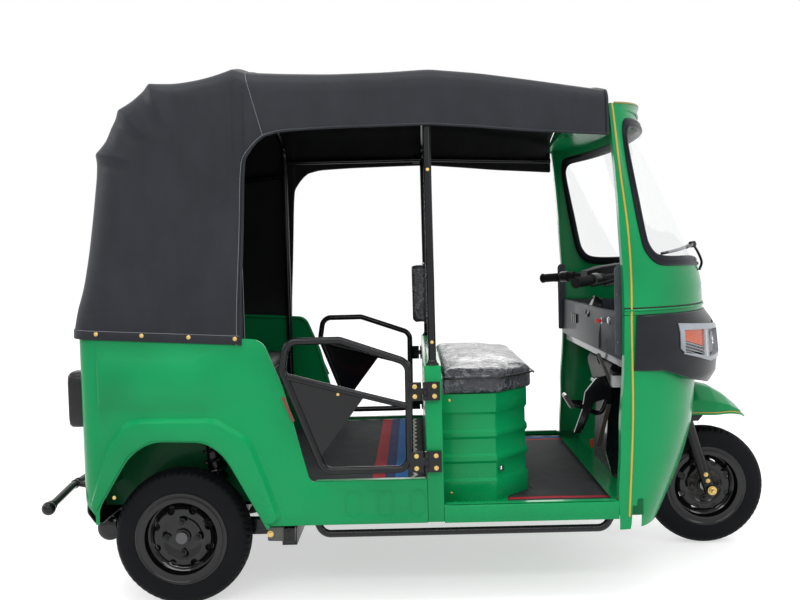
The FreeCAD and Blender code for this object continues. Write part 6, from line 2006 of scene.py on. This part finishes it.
@dataclass
class Front(Part):
    """The cowl with its windscreen, piping, lamp mask, headlamps, visor, wiper and dash."""

    frame: dict
    piping_line: tuple = ((0.636, 1.648), (0.639, 1.622), (0.659, 1.429), (0.682, 1.233), (0.690, 1.069),
                          (0.689, 0.904), (0.688, 0.606), (0.672, 0.282))
    screen: tuple = (
        (1.571, 1.110, 1.571, 1.142), (1.200, 1.111, 1.200, 1.143), (0.862, 1.113, 0.880, 1.145),
        (0.607, 1.114, 0.650, 1.145), (0.446, 1.117, 0.500, 1.148), (0.359, 1.132, 0.418, 1.157),
        (0.290, 1.168, 0.370, 1.180), (0.272, 1.206, 0.348, 1.213), (0.244, 1.326, 0.336, 1.326),
        (0.231, 1.461, 0.322, 1.461), (0.243, 1.540, 0.326, 1.528), (0.270, 1.572, 0.348, 1.549),
        (0.321, 1.592, 0.400, 1.566), (0.442, 1.603, 0.500, 1.575), (0.747, 1.608, 0.770, 1.579),
        (1.200, 1.611, 1.200, 1.582), (1.571, 1.612, 1.571, 1.583),
    )

    def make(self) -> None:
        """Dress the shells and add the trim."""
        dress(self.frame, "cowl_lower", GREEN)
        self.mask()
        dress(self.frame, "dash", DASH, 0.002)
        dress(self.frame, "dash_cheeks", DASH, 0.0012)
        dress(self.frame, "front_wheel_housing", UNDER_BLACK)
        dress(self.frame, "pedals", ENAMEL)
        self.upper_cowl()
        self.windscreen()
        self.visor()
        self.piping()
        self.seam()
        self.headlamps()
        self.wiper()
        self.dash_details()
        self.cheek_screws()
        self.pedal_rubbers()
        self.under_dash()

    def piping(self) -> None:
        """Gold piping down both front corners and along the visor's upper edge."""
        line = smooth_route(self.piping_line, 70)
        piece = Piece("gold_piping")
        for side in (-1, 1):
            y = COWL.y(line[:, 0], line[:, 1]) + 0.0008
            route = np.column_stack([line[:, 0], side * y, line[:, 1]])
            piece.grid(swept(route, ring((0.0034, 0.0034), 8), (0, 1, 0)))
        piece.build("chassis", [GOLD_PIPING], "body_green")

    def mask(self) -> None:
        """The moulded black mask round the nose, sunk behind each headlamp's windows."""
        turn = np.linspace(0.0, np.pi, 225)
        near = np.minimum(turn, np.pi - turn)
        low = np.interp(near, [0, 0.3, 0.6, 1.0, np.pi / 2], [0.772, 0.768, 0.728, 0.700, 0.690])
        top, count, wall_thick = 0.950, 40, 0.003
        share = np.linspace(0, 1, count)[None]
        height = low[:, None] + (top - low[:, None]) * share
        turns = np.repeat(turn[:, None], count, axis=1)
        side = np.repeat(near[:, None], count, axis=1)
        sill = np.interp(side, [0.47, 0.85, 1.21], [0.828, 0.788, 0.792])
        sunk = (side > 0.478) & (side < 1.205) & (height < 0.905) & (height > sill)
        out = np.where(sunk, -0.018, 0.0)
        feet = ((0.001, -0.014), (0.0035, -0.004))
        lips = ((0.0025, -0.003), (0.003, -0.016))
        foot = [LAMP_FORM.around(turn, low - drop, inward) for drop, inward in feet]
        lip = [LAMP_FORM.around(turn, top + rise, inward) for rise, inward in lips]
        face = LAMP_FORM.around(turns, height, out)
        back = LAMP_FORM.around(turns, height, out - wall_thick)[:, ::-1][:, 1:-1]
        piece = Piece("lamp_mask_moulding")
        piece.grid(np.concatenate([np.stack(foot, axis=1), face, np.stack(lip, axis=1), back], axis=1))
        piece.build("chassis", [MASK], "mask_black", ["lamp_mask"], sharp=50)

    def seam(self) -> None:
        """The joint between the lower and upper cowl: a dark tube of painted shade for the gap, over a rolled
        bright edge.
        """
        turn = np.linspace(0.0, np.pi, 161)
        piece = Piece("cowl_seam")
        # The first tube, in black, is painted shade in the joint.
        for height, out, size, slot in ((0.9750, -0.0004, 0.0026, 1), (0.9690, 0.0016, 0.0036, 0)):
            piece.grid(swept(COWL.around(turn, height, out), ring((size, size), 8)), slot=slot)
        piece.build("chassis", [GREEN, UNDER_BLACK], "body_green")

    def loop(self) -> np.ndarray:
        """The windscreen's outer and inner edge as (turn, height, turn, height) all round."""
        half = np.asarray(self.screen)
        other = half[1:-1][::-1] * np.array([-1, 1, -1, 1]) + np.array([np.pi, 0, np.pi, 0])
        return smooth_route(np.concatenate([half, other]), 280, True)

    @staticmethod
    def brow(turn: np.ndarray) -> np.ndarray:
        """Height of the visor's upper edge: a shallow arch over the body's width."""
        return 1.682 - 0.083 * (HALF_WIDTH * np.abs(np.cos(turn)) ** (2 / 2.4)) ** 2

    def upper_cowl(self) -> None:
        """The shell round the windscreen, with a flange turned in along each door edge.

        Rays from the screen's middle carry its outline out to the door edges, the seam and the
        visor, in the plane of turn and height; the cowl's form then gives each point its place.
        """
        edge = self.loop()[:, :2]
        middle = np.array([np.pi / 2, 1.36])
        ray = edge - middle
        top = self.brow(edge[:, 0]) - 0.004 - middle[1]
        tall = np.where(ray[:, 1] > 0, top, middle[1] - 0.9535)
        wide = np.pi / 2
        reach = 1 / np.maximum(np.abs(ray[:, 0]) / wide, np.abs(ray[:, 1]) / tall)
        rim = middle + ray * reach[:, None]
        for turn in (0.0, np.pi):
            for height in (0.9535, float(self.brow(np.array(0.0))) - 0.004):
                corner = np.array([turn, height])
                rim[np.argmin(np.linalg.norm((rim - corner) * (0.3, 1.0), axis=1))] = corner
        share = np.linspace(0, 1, 18)[None, :, None]
        flat = edge[:, None] * (1 - share) + rim[:, None] * share
        outer = SCREEN_FORM.around(flat[..., 0], flat[..., 1])
        inner = SCREEN_FORM.around(flat[..., 0], flat[..., 1], -0.003)
        piece = Piece("upper_cowl")
        piece.grid(np.concatenate([outer, inner[:, ::-1]], axis=1), closed=True)
        rise = np.linspace(0.9535, 1.640, 50)
        for side in (-1, 1):
            x = SCREEN_FORM.around(np.zeros(50), rise)[:, 0]
            section = [(0.0, 0.6395), (0.0, 0.606), (0.008, 0.606), (0.008, 0.6375)]
            piece.grid(np.stack([np.stack([x + a, np.full(50, side * b), rise], -1) for a, b in section],
                                axis=1))
        piece.build("chassis", [GREEN], "body_green", ["cowl_upper"])

    def windscreen(self) -> None:
        """The curved glass and the ridged rubber seal round it."""
        turn, height = np.meshgrid(np.linspace(0.30, np.pi - 0.30, 60), np.linspace(1.128, 1.598, 24),
                                   indexing="ij")
        front = SCREEN_FORM.around(turn, height, -0.004)
        glass = Piece("windscreen_pane")
        glass.grid(np.concatenate([front, SCREEN_FORM.around(turn, height, -0.0085)[:, ::-1]], axis=1))
        glass.build("chassis", [GLASS], "glass", ["windscreen"])
        edge = self.loop()
        section = ((-0.10, 0.0006), (0.0, 0.0055), (0.20, 0.0085), (0.38, 0.0040), (0.55, 0.0085),
                   (0.80, 0.0070), (0.96, 0.0010), (1.0, -0.0040), (0.96, -0.0090), (0.5, -0.0115),
                   (0.0, -0.0105), (-0.10, -0.0040))
        rows = []
        for share, out in section:
            flat = edge[:, :2] * (1 - share) + edge[:, 2:] * share
            rows.append(SCREEN_FORM.around(flat[:, 0], flat[:, 1], out))
        seal = Piece("windscreen_seal")
        seal.grid(np.stack(rows, axis=1), closed=True)
        seal.build("chassis", [SEAL], "seal", ["windscreen_gasket"], sharp=70)

    def visor(self) -> None:
        """The brim over the windscreen: a top that rises back to the hood, a lip and a hollow underside."""
        turn = np.linspace(0.10, np.pi - 0.10, 81)
        y = -HALF_WIDTH * np.sign(np.cos(turn)) * np.abs(np.cos(turn)) ** (2 / 2.4)
        lip = FRONT_AXLE_X - 0.484 + 0.197 * np.abs(np.sin(turn)) ** (2 / 1.7)
        top = self.brow(turn)
        radius = (0.8**2 + 0.160**2) / (2 * 0.160)
        crown = 1.734 - (radius - np.sqrt(radius**2 - y**2))
        back = np.full_like(y, FRONT_AXLE_X - 0.500)
        drop = 0.020 + 0.022 * np.sin(turn) ** 2
        shares = ((back, crown), ((back + lip) / 2, (crown + top) / 2 + 0.004), (lip - 0.008, top + 0.001),
                  (lip - 0.002, top - 0.001), (lip, top - 0.005), (lip - 0.006, top - drop * 0.45),
                  (lip - 0.002, top - drop * 0.80), (lip - 0.001, top - drop),
                  (lip - 0.006, top - drop - 0.001), (lip - 0.016, top - drop * 0.7), (back, top - 0.012))
        brim = Piece("visor_brim")
        brim.grid(np.stack([np.stack([np.maximum(a, back), y, b], -1) for a, b in shares], axis=1))
        brim.build("chassis", [GREEN], "body_green", ["roof_visor"], sharp=50)
        trim = Piece("visor_piping")
        trim.grid(swept(np.column_stack([lip - 0.003, y, top + 0.0015])[2:-2], ring(0.0034, 8), (0.2, 0, 1)))
        trim.build("chassis", [VISOR_TRIM], "body_green")

    @staticmethod
    def patch(corners: Sequence, out: float, thick: float, side: int, count: int = 10) -> np.ndarray:
        """A closed slab between four corners of turn and height on the mask's form.

        Args:
            corners: outer top, inner top, inner bottom and outer bottom.
            out: how far outside the form its face lies.
            thick: how far behind the face its back lies.
            side: -1 for the right lamp, 1 for the left.
            count: points each way.

        Returns:
            The grid, whose rows wrap round the slab.
        """
        a, b, c, d = np.asarray(corners, float)
        s = np.linspace(0, 1, count)[None, :, None]
        t = np.linspace(0, 1, count)[:, None, None]
        flat = (a * (1 - s) + b * s) * (1 - t) + (d * (1 - s) + c * s) * t
        face = LAMP_FORM.around(flat[..., 0], flat[..., 1], out)
        rear = LAMP_FORM.around(flat[..., 0], flat[..., 1], out - thick)
        made = np.concatenate([face, rear[:, ::-1]], axis=1)
        return made if side < 0 else mirrored(made)

    def headlamps(self) -> None:
        """Grey bezel with two windows: an amber and barred one behind, the bulb's bowl in front."""
        lens, bezel, dark = Piece("headlamp_lenses"), Piece("headlamp_bezels"), Piece("headlamp_backs")
        bars, amber, bowls = Piece("headlamp_bars"), Piece("headlamp_amber"), Piece("headlamp_bowls")
        bulbs = Piece("headlamp_bulbs")
        plates = (
            ((0.460, 0.919), (1.22, 0.896), (1.22, 0.880), (0.500, 0.895)),
            ((0.460, 0.919), (0.508, 0.896), (0.503, 0.817), (0.455, 0.833)),
            ((0.490, 0.820), (0.850, 0.793), (0.849, 0.777), (0.480, 0.816)),
            ((0.850, 0.793), (1.22, 0.799), (1.22, 0.783), (0.849, 0.777)),
            ((0.765, 0.890), (0.840, 0.888), (0.820, 0.788), (0.738, 0.794)),
            ((1.17, 0.890), (1.22, 0.888), (1.22, 0.786), (1.17, 0.788)),
        )
        for side in (-1, 1):
            for corners in plates:
                bezel.grid(self.patch(corners, 0.0042, 0.016, side))
            bezel.grid(self.patch(((0.778, 0.884), (0.806, 0.884), (0.792, 0.794), (0.764, 0.796)), 0.0052,
                                  0.003, side), slot=1)
            dark.grid(self.patch(((0.462, 0.915), (1.21, 0.893), (1.21, 0.786), (0.460, 0.818)), -0.011,
                                 0.004, side, 14))
            corners = ((0.504, 0.898), (0.768, 0.888), (0.750, 0.832), (0.506, 0.860))
            amber.grid(self.patch(corners, -0.0010, 0.008, side))
            for k in range(4):
                low = 0.0102 * k
                ends = np.array([(0.510, 0.8545 - low), (0.746, 0.8270 - low)])
                flat = ends[0] + (ends[1] - ends[0]) * np.linspace(0, 1, 12)[:, None]
                line = LAMP_FORM.around(flat[:, 0], flat[:, 1], -0.003)
                bars.grid(swept(line if side < 0 else mirrored(line), ring((0.0040, 0.0027), 8)))
            lens.grid(self.patch(((0.480, 0.908), (1.20, 0.888), (1.20, 0.792), (0.484, 0.824)), 0.0030,
                                 0.0016, side, 18))
            spot = LAMP_FORM.around(1.0, 0.840, -0.012) * (1, -side, 1)
            way = unit(np.array([1.0, 0.55 * side, 0.0]))
            turn = np.linspace(0.15, np.pi / 2, 9)
            bowl = [(0.036 * math.sin(a), -0.024 * math.cos(a)) for a in turn]
            bowls.grid(revolved(bowl, spot + way * 0.002, way, 32), caps=False)
            bulbs.turned([(0.0, -0.022), (0.008, -0.020), (0.010, -0.012), (0.007, -0.004), (0.0, -0.001)],
                         spot + way * 0.002, way, 16)
        lens.build("chassis", [LENS], "lamp_clear", ["headlamps"])
        bezel.build("chassis", [BEZEL, SILVER], "trim_grey")
        dark.build("chassis", [BLACK_PLASTIC], "mask_black")
        bars.build("chassis", [GREY_PLASTIC], "trim_grey")
        amber.build("chassis", [LAMP_AMBER], "lamp_red")
        bowls.build("chassis", [CHROME], "steel", outward=False)
        bulbs.build("chassis", [LENS], "lamp_clear")

    def wiper(self) -> None:
        """The wiper: a bracket on the scuttle, a round joint, an arm and a blade low on the glass."""
        at = SCREEN_FORM.around
        joint = at(1.13, 1.184, 0.020)
        arm = Piece("wiper_arm")
        foot = smooth_route([at(1.13, 1.090, 0.003), at(1.14, 1.120, 0.020), at(1.14, 1.160, 0.024), joint],
                            20)
        arm.grid(swept(foot, ring((0.0085, 0.0042), 10), (1, 0, 0)))
        reach = smooth_route([joint, at(0.98, 1.180, 0.022), at(0.84, 1.172, 0.017)], 18)
        arm.grid(swept(reach, ring((0.0055, 0.0035), 8), (1, 0, 0)))
        arm.turned([(0.004, -0.012), (0.0115, -0.010), (0.0115, 0.008), (0.006, 0.011)], joint,
                   (0.6, -0.8, 0.1), 20)
        arm.build("chassis", [BLACK_PLASTIC], "mask_black")
        blade = Piece("wiper_blade")
        turn = np.linspace(0.46, 1.02, 26)
        line = at(turn, np.interp(turn, [0.46, 1.02], [1.153, 1.180]), 0.004)
        section = np.array([(-0.0045, -0.001), (0.0045, -0.001), (0.0030, 0.008), (-0.0030, 0.008)])
        blade.grid(swept(line, section, (1, 0, 0)), slot=1)
        spine = at(turn, np.interp(turn, [0.46, 1.02], [1.155, 1.182]), 0.0150)
        blade.grid(swept(spine[3:-3], ring((0.0040, 0.0030), 8), (1, 0, 0)))
        blade.build("chassis", [GREY_PLASTIC, SEAL], "trim_grey")

    def dash_details(self) -> None:
        """A low instrument pod with its dial, rocker switches, the ignition key and the brake reservoir."""
        x = FRONT_AXLE_X - 0.446
        pod = Piece("instrument_pod")
        way = unit(np.array([-1.0, 0, 0.42]))
        centre = np.array([x + 0.014, 0.0, 0.952])
        small = 0.70
        profile = [(0.030, -0.060), (0.062, -0.046), (0.066, -0.006), (0.064, 0.004), (0.056, 0.006),
                   (0.054, 0.0)]
        pod.turned([(radius * small, height * small) for radius, height in profile], centre, way, 48)
        pod.build("chassis", [BLACK_PLASTIC], "trim_grey")
        dial = Piece("instrument_dial")
        dial.turned([(0.0375, 0.0005), (0.0375, 0.0012), (0.001, 0.0012)], centre, way, 48)
        dial.build("chassis", [BLACK_PLASTIC], "trim_grey")
        marks = Piece("instrument_marks")
        side = np.cross(way, np.array([0.0, 1.0, 0.0]))
        for k in range(25):
            turn = math.radians(-120 + 10 * k)
            ray = math.sin(turn) * np.array([0.0, -1.0, 0.0]) - math.cos(turn) * side
            inner = 0.0280 if k % 4 == 0 else 0.0312
            cross = unit(np.cross(way, ray)) * 0.0007
            ends = [centre + ray * inner - cross, centre + ray * inner + cross, centre + ray * 0.0345 + cross,
                    centre + ray * 0.0345 - cross]
            marks.grid(np.stack([np.array(ends) + way * 0.0010, np.array(ends) + way * 0.0018]))
        needle = math.sin(-1.9) * np.array([0.0, -1.0, 0.0]) - math.cos(-1.9) * side
        marks.grid(swept(np.linspace(centre + way * 0.003, centre + way * 0.003 + needle * 0.029, 6),
                         ring((0.0012, 0.0006), 6), tuple(way)), slot=1)
        marks.build("chassis", [THREAD, LAMP_RED], "trim_grey")
        panel = Piece("dash_switches")
        for k, y in enumerate((0.250, 0.290, 0.330)):
            panel.block((x - 0.0045, y - 0.013, 0.868), (x + 0.002, y + 0.013, 0.906), 0.003)
        panel.build("chassis", [BLACK_PLASTIC], "trim_grey")
        key = Piece("ignition_switch")
        spot = np.array([x, -0.420, 0.922])
        key.turned([(0.013, -0.002), (0.013, 0.003), (0.010, 0.006), (0.005, 0.007)], spot, (-1, 0, 0), 28)
        key.block(spot + (-0.030, -0.0012, -0.010), spot + (-0.008, 0.0012, 0.010), 0.001)
        key.build("chassis", [CHROME], "steel")
        head = Piece("ignition_key_head")
        head.slab([(spot[0] - 0.050, spot[2] - 0.007), (spot[0] - 0.028, spot[2] - 0.007),
                   (spot[0] - 0.028, spot[2] + 0.007), (spot[0] - 0.050, spot[2] + 0.007)],
                  spot[1] - 0.004, spot[1] + 0.004, 0.002, 0.008, axis=1)
        head.build("chassis", [LAMP_RED], "lamp_red")
        reservoir = Piece("brake_reservoir")
        reservoir.turned([(0.024, 0.0), (0.025, 0.004), (0.025, 0.040), (0.020, 0.046)],
                         (x + 0.075, -0.40, 0.876), (0, 0, 1), 28)
        reservoir.build("chassis", [GREY_PLASTIC], "trim_grey")
        cap = Piece("reservoir_cap")
        cap.turned([(0.021, 0.045), (0.0235, 0.047), (0.0235, 0.058), (0.019, 0.061)],
                   (x + 0.075, -0.40, 0.876), (0, 0, 1), 20)
        cap.build("chassis", [BLACK_PLASTIC], "trim_grey")

    def cheek_screws(self) -> None:
        """Two dark screws on each dash cheek."""
        piece = Piece("cheek_screws")
        for side in (-1, 1):
            for z in (0.860, 1.020):
                piece.dome((FRONT_AXLE_X - 0.4575, side * 0.6062, z), (0, side, 0), 0.0045, 0.0022)
        piece.build("chassis", [DARK_STEEL], "steel")

    def pedal_rubbers(self) -> None:
        """Ribbed rubber covers on the pedals' pads."""
        piece = Piece("pedal_rubbers")
        for y, pad_x, pad_z in ((0.100, -0.510, 0.556), (-0.200, -0.560, 0.604)):
            low = np.array([FRONT_AXLE_X + pad_x - 0.020, pad_z + 0.026])
            high = np.array([FRONT_AXLE_X + pad_x + 0.010, pad_z - 0.024])
            along = unit(high - low)
            out = np.array([along[1], -along[0]])
            if out[0] > 0:
                out = -out
            for k in range(7):
                spot = low + (high - low) * (0.08 + 0.14 * k)
                line = np.linspace((*(spot + out * 0.0015), y - 0.028), (*(spot + out * 0.0015), y + 0.028),
                                   5)
                piece.grid(swept(line[:, [0, 2, 1]], ring((0.0024, 0.0030), 8), (0, 0, 1)))
        piece.build("chassis", [BLACK_PLASTIC], "seal")

    def under_dash(self) -> None:
        """What hangs below the dash on the driver's side: beam, strut, junction box, column and pipe."""
        shapes = (
            ("pedal_carrier", CARRIER_PLAN, -0.245, -0.225, ENAMEL, 0.004),
            ("dash_column", COLUMN_PLAN, -0.225, -0.185, ENAMEL, 0.004),
            ("junction_box", BOX_PLAN, -0.320, -0.285, WHITE_PLASTIC, 0.005),
            ("junction_box_lid", LID_PLAN, -0.322, -0.283, BLACK_PLASTIC, 0.003),
            ("dash_strut", STRUT_PLAN, -0.262, -0.252, BRACKET, 0.002),
            ("column_strut", LEG_PLAN, -0.262, -0.252, BROWN_STEEL, 0.002),
            ("column_flange", FLANGE_PLAN, -0.262, -0.254, SPRING_RED, 0.002),
        )
        for name, plan, y0, y1, finish, corner in shapes:
            piece = Piece(name)
            piece.slab(plan, y0, y1, 0.0015, corner, axis=1)
            piece.build("chassis", [finish], "frame_black")
        beam = Piece("dash_beam")
        low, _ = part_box("dash")
        beam.block((low[0] + 0.010, -0.585, low[2] - 0.028), (low[0] + 0.030, 0.585, low[2] - 0.001), 0.003)
        beam.build("chassis", [GREY_PLASTIC], "trim_grey")
        hose = Piece("dash_hose")
        hose.bar(HOSE_LINE, 0.007, 0.03, (0, 1, 0), 10)
        hose.build("chassis", [BLACK_PLASTIC], "seal")
        # Sill ends closing the gap under the dash, in the darker green copy as painted shade.
        filler = Piece("sill_ends")
        for side in (-1, 1):
            y0, y1 = sorted((side * 0.600, side * 0.628))
            filler.block((0.630, y0, 0.285), (0.722, y1, 0.338), 0.002)
        filler.build("chassis", [GREEN_INNER_SHADE], "body_green")


@dataclass
class Steering(Part):
    """Handlebar with pods, grips' ribs, cables and the fork with its mudguard."""

    frame: dict

    def make(self) -> None:
        """Dress the fork and bar and add what is clamped on."""
        dress(self.frame, "handlebar", GRIP)
        dress(self.frame, "fork", ENAMEL, 0.001)
        dress(self.frame, "front_mudguard", GREEN, 0.001)
        self.pods()
        self.grip_ribs()
        self.mudguard_edge()
        self.fork_details()
        self.cables()

    def pods(self) -> None:
        """Switch pods inboard of the grips."""
        piece = Piece("switch_pods")
        buttons = Piece("switch_buttons")
        for side in (-1, 1):
            start = np.array([FRONT_AXLE_X - 0.486, side * 0.340, 1.064])
            inward = unit(np.array([0.146, -side * 0.170, 0.014]))
            spot = start + inward * 0.014
            piece.turned([(0.0175, -0.020), (0.0225, -0.018), (0.0235, 0.0), (0.0225, 0.018),
                          (0.0175, 0.020)], spot, inward, 24)
            for k, angle in enumerate((0.3, 1.0, 1.7)):
                out = np.array([-math.cos(angle) * 0.6, 0.0, math.sin(angle)])
                buttons.dome(spot + unit(out) * 0.0215 + inward * (0.008 * (k - 1)), unit(out), 0.0052, 0.003)
        piece.build("steering", [BLACK_PLASTIC], "bar_grip")
        buttons.build("steering", [GREY_PLASTIC], "trim_grey")

    def grip_ribs(self) -> None:
        """Ribs round both grips and a collar at each end."""
        piece = Piece("grip_ribs")
        for side in (-1, 1):
            start = np.array([FRONT_AXLE_X - 0.486, side * 0.340, 1.064])
            end = np.array([FRONT_AXLE_X - 0.562, side * 0.412, 1.058])
            along = unit(end - start)
            length = float(np.linalg.norm(end - start))
            steps = np.linspace(0.020, length + 0.0, 60)
            radius = 0.0172 + 0.0012 * np.abs(np.sin(steps * np.pi / 0.0085)) ** 0.5
            radius[-4:] = 0.0205
            piece.turned(list(zip(radius, steps)), start, along, 28)
        piece.build("steering", [GRIP], "bar_grip", sharp=60)

    def mudguard_edge(self) -> None:
        """The rolled lower edge of the mudguard with a gold line above it."""
        stations = np.array([(-92, 528, 126), (-40, 528, 130), (20, 527, 130), (77, 528, 116), (128, 517, 80),
                             (160, 500, 28)]) / 1000
        line = smooth_route(stations, 50)
        piece = Piece("mudguard_edge")
        for side in (-1, 1):
            route = np.column_stack([FRONT_AXLE_X + line[:, 0], side * (line[:, 2] - 0.001),
                                     line[:, 1] + 0.003])
            piece.grid(swept(route, ring(0.0042, 8), (0, 0, 1)))
        piece.build("steering", [GREEN], "body_green")
        gold = Piece("mudguard_gold_line")
        for side in (-1, 1):
            route = np.column_stack([FRONT_AXLE_X + line[:, 0], side * (line[:, 2] + 0.001),
                                     line[:, 1] + 0.0085])
            gold.grid(swept(route, ring((0.0011, 0.0020), 6), (0, 0, 1)))
        gold.build("steering", [GOLD_PIPING], "body_green")

    def fork_details(self) -> None:
        """Axle nuts and clamp bolts."""
        nuts = Piece("fork_nuts")
        axis = np.array([-math.sin(math.radians(17.05)), 0, math.cos(math.radians(17.05))])
        hub = np.array([FRONT_AXLE_X, 0.0, TYRE_R])
        for side in (-1, 1):
            nuts.bolt(hub + (0, side * 0.1295, 0), (0, side, 0), 0.0145, 0.010, 0, 0.0175)
            nuts.turned([(0.0072, 0.0), (0.0072, 0.017), (0.006, 0.019)], hub + (0, side * 0.1295, 0),
                        (0, side, 0), 16)
            foot = hub + (0, side * 0.092, 0)
            for step in (0.036, 0.062):
                spot = foot + axis * step + (0, side * 0.0215, 0)
                nuts.bolt(spot, (0, side, 0), 0.0062, 0.005, 0, 0.0085)
        nuts.build("steering", [BRASS], "steel")

    def cables(self) -> None:
        """Control cables bound to the bar from the levers to the steering head."""
        piece = Piece("bar_cables")
        for side in (-1, 1):
            for offset in (0.0, 0.011):
                points = [(FRONT_AXLE_X - 0.448 + offset, side * 0.300, 1.050 - offset),
                          (FRONT_AXLE_X - 0.405 + offset, side * 0.250, 1.048),
                          (FRONT_AXLE_X - 0.345, side * 0.165, 1.058),
                          (FRONT_AXLE_X - 0.290, side * 0.095, 1.060)]
                line = smooth_route(points, 30)
                piece.grid(swept(line, ring(0.0040, 8)))
        piece.build("steering", [BLACK_PLASTIC], "bar_grip")


# Studio
@dataclass
class Studio:
    """White floor, soft lamps and the camera of the photograph.

    The camera's axes follow from its yaw, pitch and roll: ahead = (-sin a cos p, cos a cos p,
    -sin p), then right and down are turned about it by the roll.
    """

    place: Point = (-0.025, -3.686, 1.152)
    yaw: float = 0.88
    pitch: float = 2.42
    roll: float = 1.549
    focal: float = 924.0
    width: int = 800
    low_light: float = 0.28
    top_light: float = 1.25

    def camera(self) -> None:
        """Set the camera up."""
        a, p, r = math.radians(self.yaw), math.radians(self.pitch), math.radians(self.roll)
        ahead = np.array([-math.sin(a) * math.cos(p), math.cos(a) * math.cos(p), -math.sin(p)])
        level = np.array([math.cos(a), math.sin(a), 0.0])
        down = np.cross(ahead, level)
        right = level * math.cos(r) + down * math.sin(r)
        low = -level * math.sin(r) + down * math.cos(r)
        data = bpy.data.cameras.new("photo_camera")
        data.sensor_width = 36.0
        data.sensor_fit = "HORIZONTAL"
        data.lens = self.focal / self.width * 36.0
        data.clip_end = 200.0
        made = bpy.data.objects.new("photo_camera", data)
        bpy.context.scene.collection.objects.link(made)
        turn = Matrix([[right[i], -low[i], -ahead[i], self.place[i]] for i in range(3)] + [[0, 0, 0, 1]])
        made.matrix_world = turn
        bpy.context.scene.camera = made

    def lamp(self, name: str, place: Point, target: Point, size: float, power: float,
             tall: float = 0.0) -> None:
        """Add one soft lamp, square or of its own height."""
        data = bpy.data.lights.new(name, "AREA")
        data.shape = "RECTANGLE"
        data.size = size
        data.size_y = tall or size
        data.energy = power
        made = bpy.data.objects.new(name, data)
        bpy.context.scene.collection.objects.link(made)
        back = unit(np.asarray(place, float) - np.asarray(target, float))
        side = unit(np.cross(np.array([0, 0, 1.0]) if abs(back[2]) < 0.95 else np.array([0, 1.0, 0]), back))
        up = np.cross(back, side)
        made.matrix_world = Matrix([[side[i], up[i], back[i], place[i]] for i in range(3)] + [[0, 0, 0, 1]])

    def make(self) -> None:
        """Floor, world, lamps and camera."""
        piece = Piece("studio_floor")
        edge = np.linspace(-30, 30, 9)
        x, y = np.meshgrid(edge, edge, indexing="ij")
        piece.grid(np.stack([x, y, np.zeros_like(x)], -1), wrap=False)
        floor = piece.build("chassis", [StudioFloor("studio_floor")], outward=False)
        floor.parent = None
        world = bpy.data.worlds.new("studio")
        world.use_nodes = True
        tree = world.node_tree
        tree.nodes.clear()
        rays = tree.nodes.new("ShaderNodeLightPath")
        seen = None
        for name in ("Is Camera Ray", "Is Transmission Ray", "Is Glossy Ray"):
            both = tree.nodes.new("ShaderNodeMath")
            both.operation = "MAXIMUM"
            tree.links.new(rays.outputs[name], both.inputs[0])
            if seen is not None:
                tree.links.new(seen, both.inputs[1])
            seen = both.outputs[0]
        split = tree.nodes.new("ShaderNodeSeparateXYZ")
        tree.links.new(tree.nodes.new("ShaderNodeTexCoord").outputs["Generated"], split.inputs[0])
        sky = tree.nodes.new("ShaderNodeMapRange")
        sky.interpolation_type = "SMOOTHSTEP"
        tree.links.new(split.outputs["Z"], sky.inputs["Value"])
        for key, value in (("From Min", 0.10), ("From Max", 0.85), ("To Min", self.low_light),
                           ("To Max", self.top_light)):
            sky.inputs[key].default_value = value
        mix = tree.nodes.new("ShaderNodeMix")
        mix.data_type = "FLOAT"
        tree.links.new(seen, mix.inputs[0])
        tree.links.new(sky.outputs[0], mix.inputs[2])
        mix.inputs[3].default_value = 1.0
        shade = tree.nodes.new("ShaderNodeBackground")
        shade.inputs["Color"].default_value = (1.0, 1.0, 1.0, 1.0)
        tree.links.new(mix.outputs[0], shade.inputs["Strength"])
        end = tree.nodes.new("ShaderNodeOutputWorld")
        tree.links.new(shade.outputs[0], end.inputs["Surface"])
        bpy.context.scene.world = world
        self.lamp("strip_lamp", (-0.6, -4.3, 3.3), (-0.2, 0, 0.9), 4.4, 55.0, 0.5)
        self.lamp("right_lamp", (3.4, -2.8, 2.6), (0.4, 0, 0.9), 1.4, 25.0)
        self.lamp("back_lamp", (0.6, 4.2, 2.6), (0.0, 0, 1.0), 2.6, 40.0)
        self.lamp("top_strip", (-0.2, -1.3, 4.6), (-0.1, -0.75, 0.8), 4.6, 62.0, 0.8)
        self.lamp("rear_lamp", (-4.4, -0.9, 3.0), (-0.8, 0, 1.1), 1.5, 42.0)
        bpy.context.scene.view_settings.view_transform = "Standard"
        self.camera()


def main() -> None:
    """Load the frame and build each sub-assembly."""
    logging.basicConfig(level=logging.INFO, format="%(message)s")
    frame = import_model()
    Studio().make()
    wheels = []
    for side, end in ((-1, "right"), (1, "left")):
        hub = (REAR_AXLE_X, side * TRACK_HALF, TYRE_R)
        tyre, rim = f"rear_tyre_{end}", f"rear_rim_{end}"
        wheels.append(Wheel(frame, f"rear_{end}", f"rear_wheel_{end}", hub, side, tyre, rim))
    hub = (FRONT_AXLE_X, 0.0, TYRE_R)
    wheels.append(Wheel(frame, "front", "front_wheel", hub, -1, "front_tyre", "front_rim", True))
    parts = [RearBody(frame), Underbody(frame), Hood(frame), Cabin(frame), RoofFrame(frame),
             DoorGuards(frame), Front(frame), Steering(frame)]
    for part in wheels + parts:
        part.make()


if __name__ == "__main__":
    main()
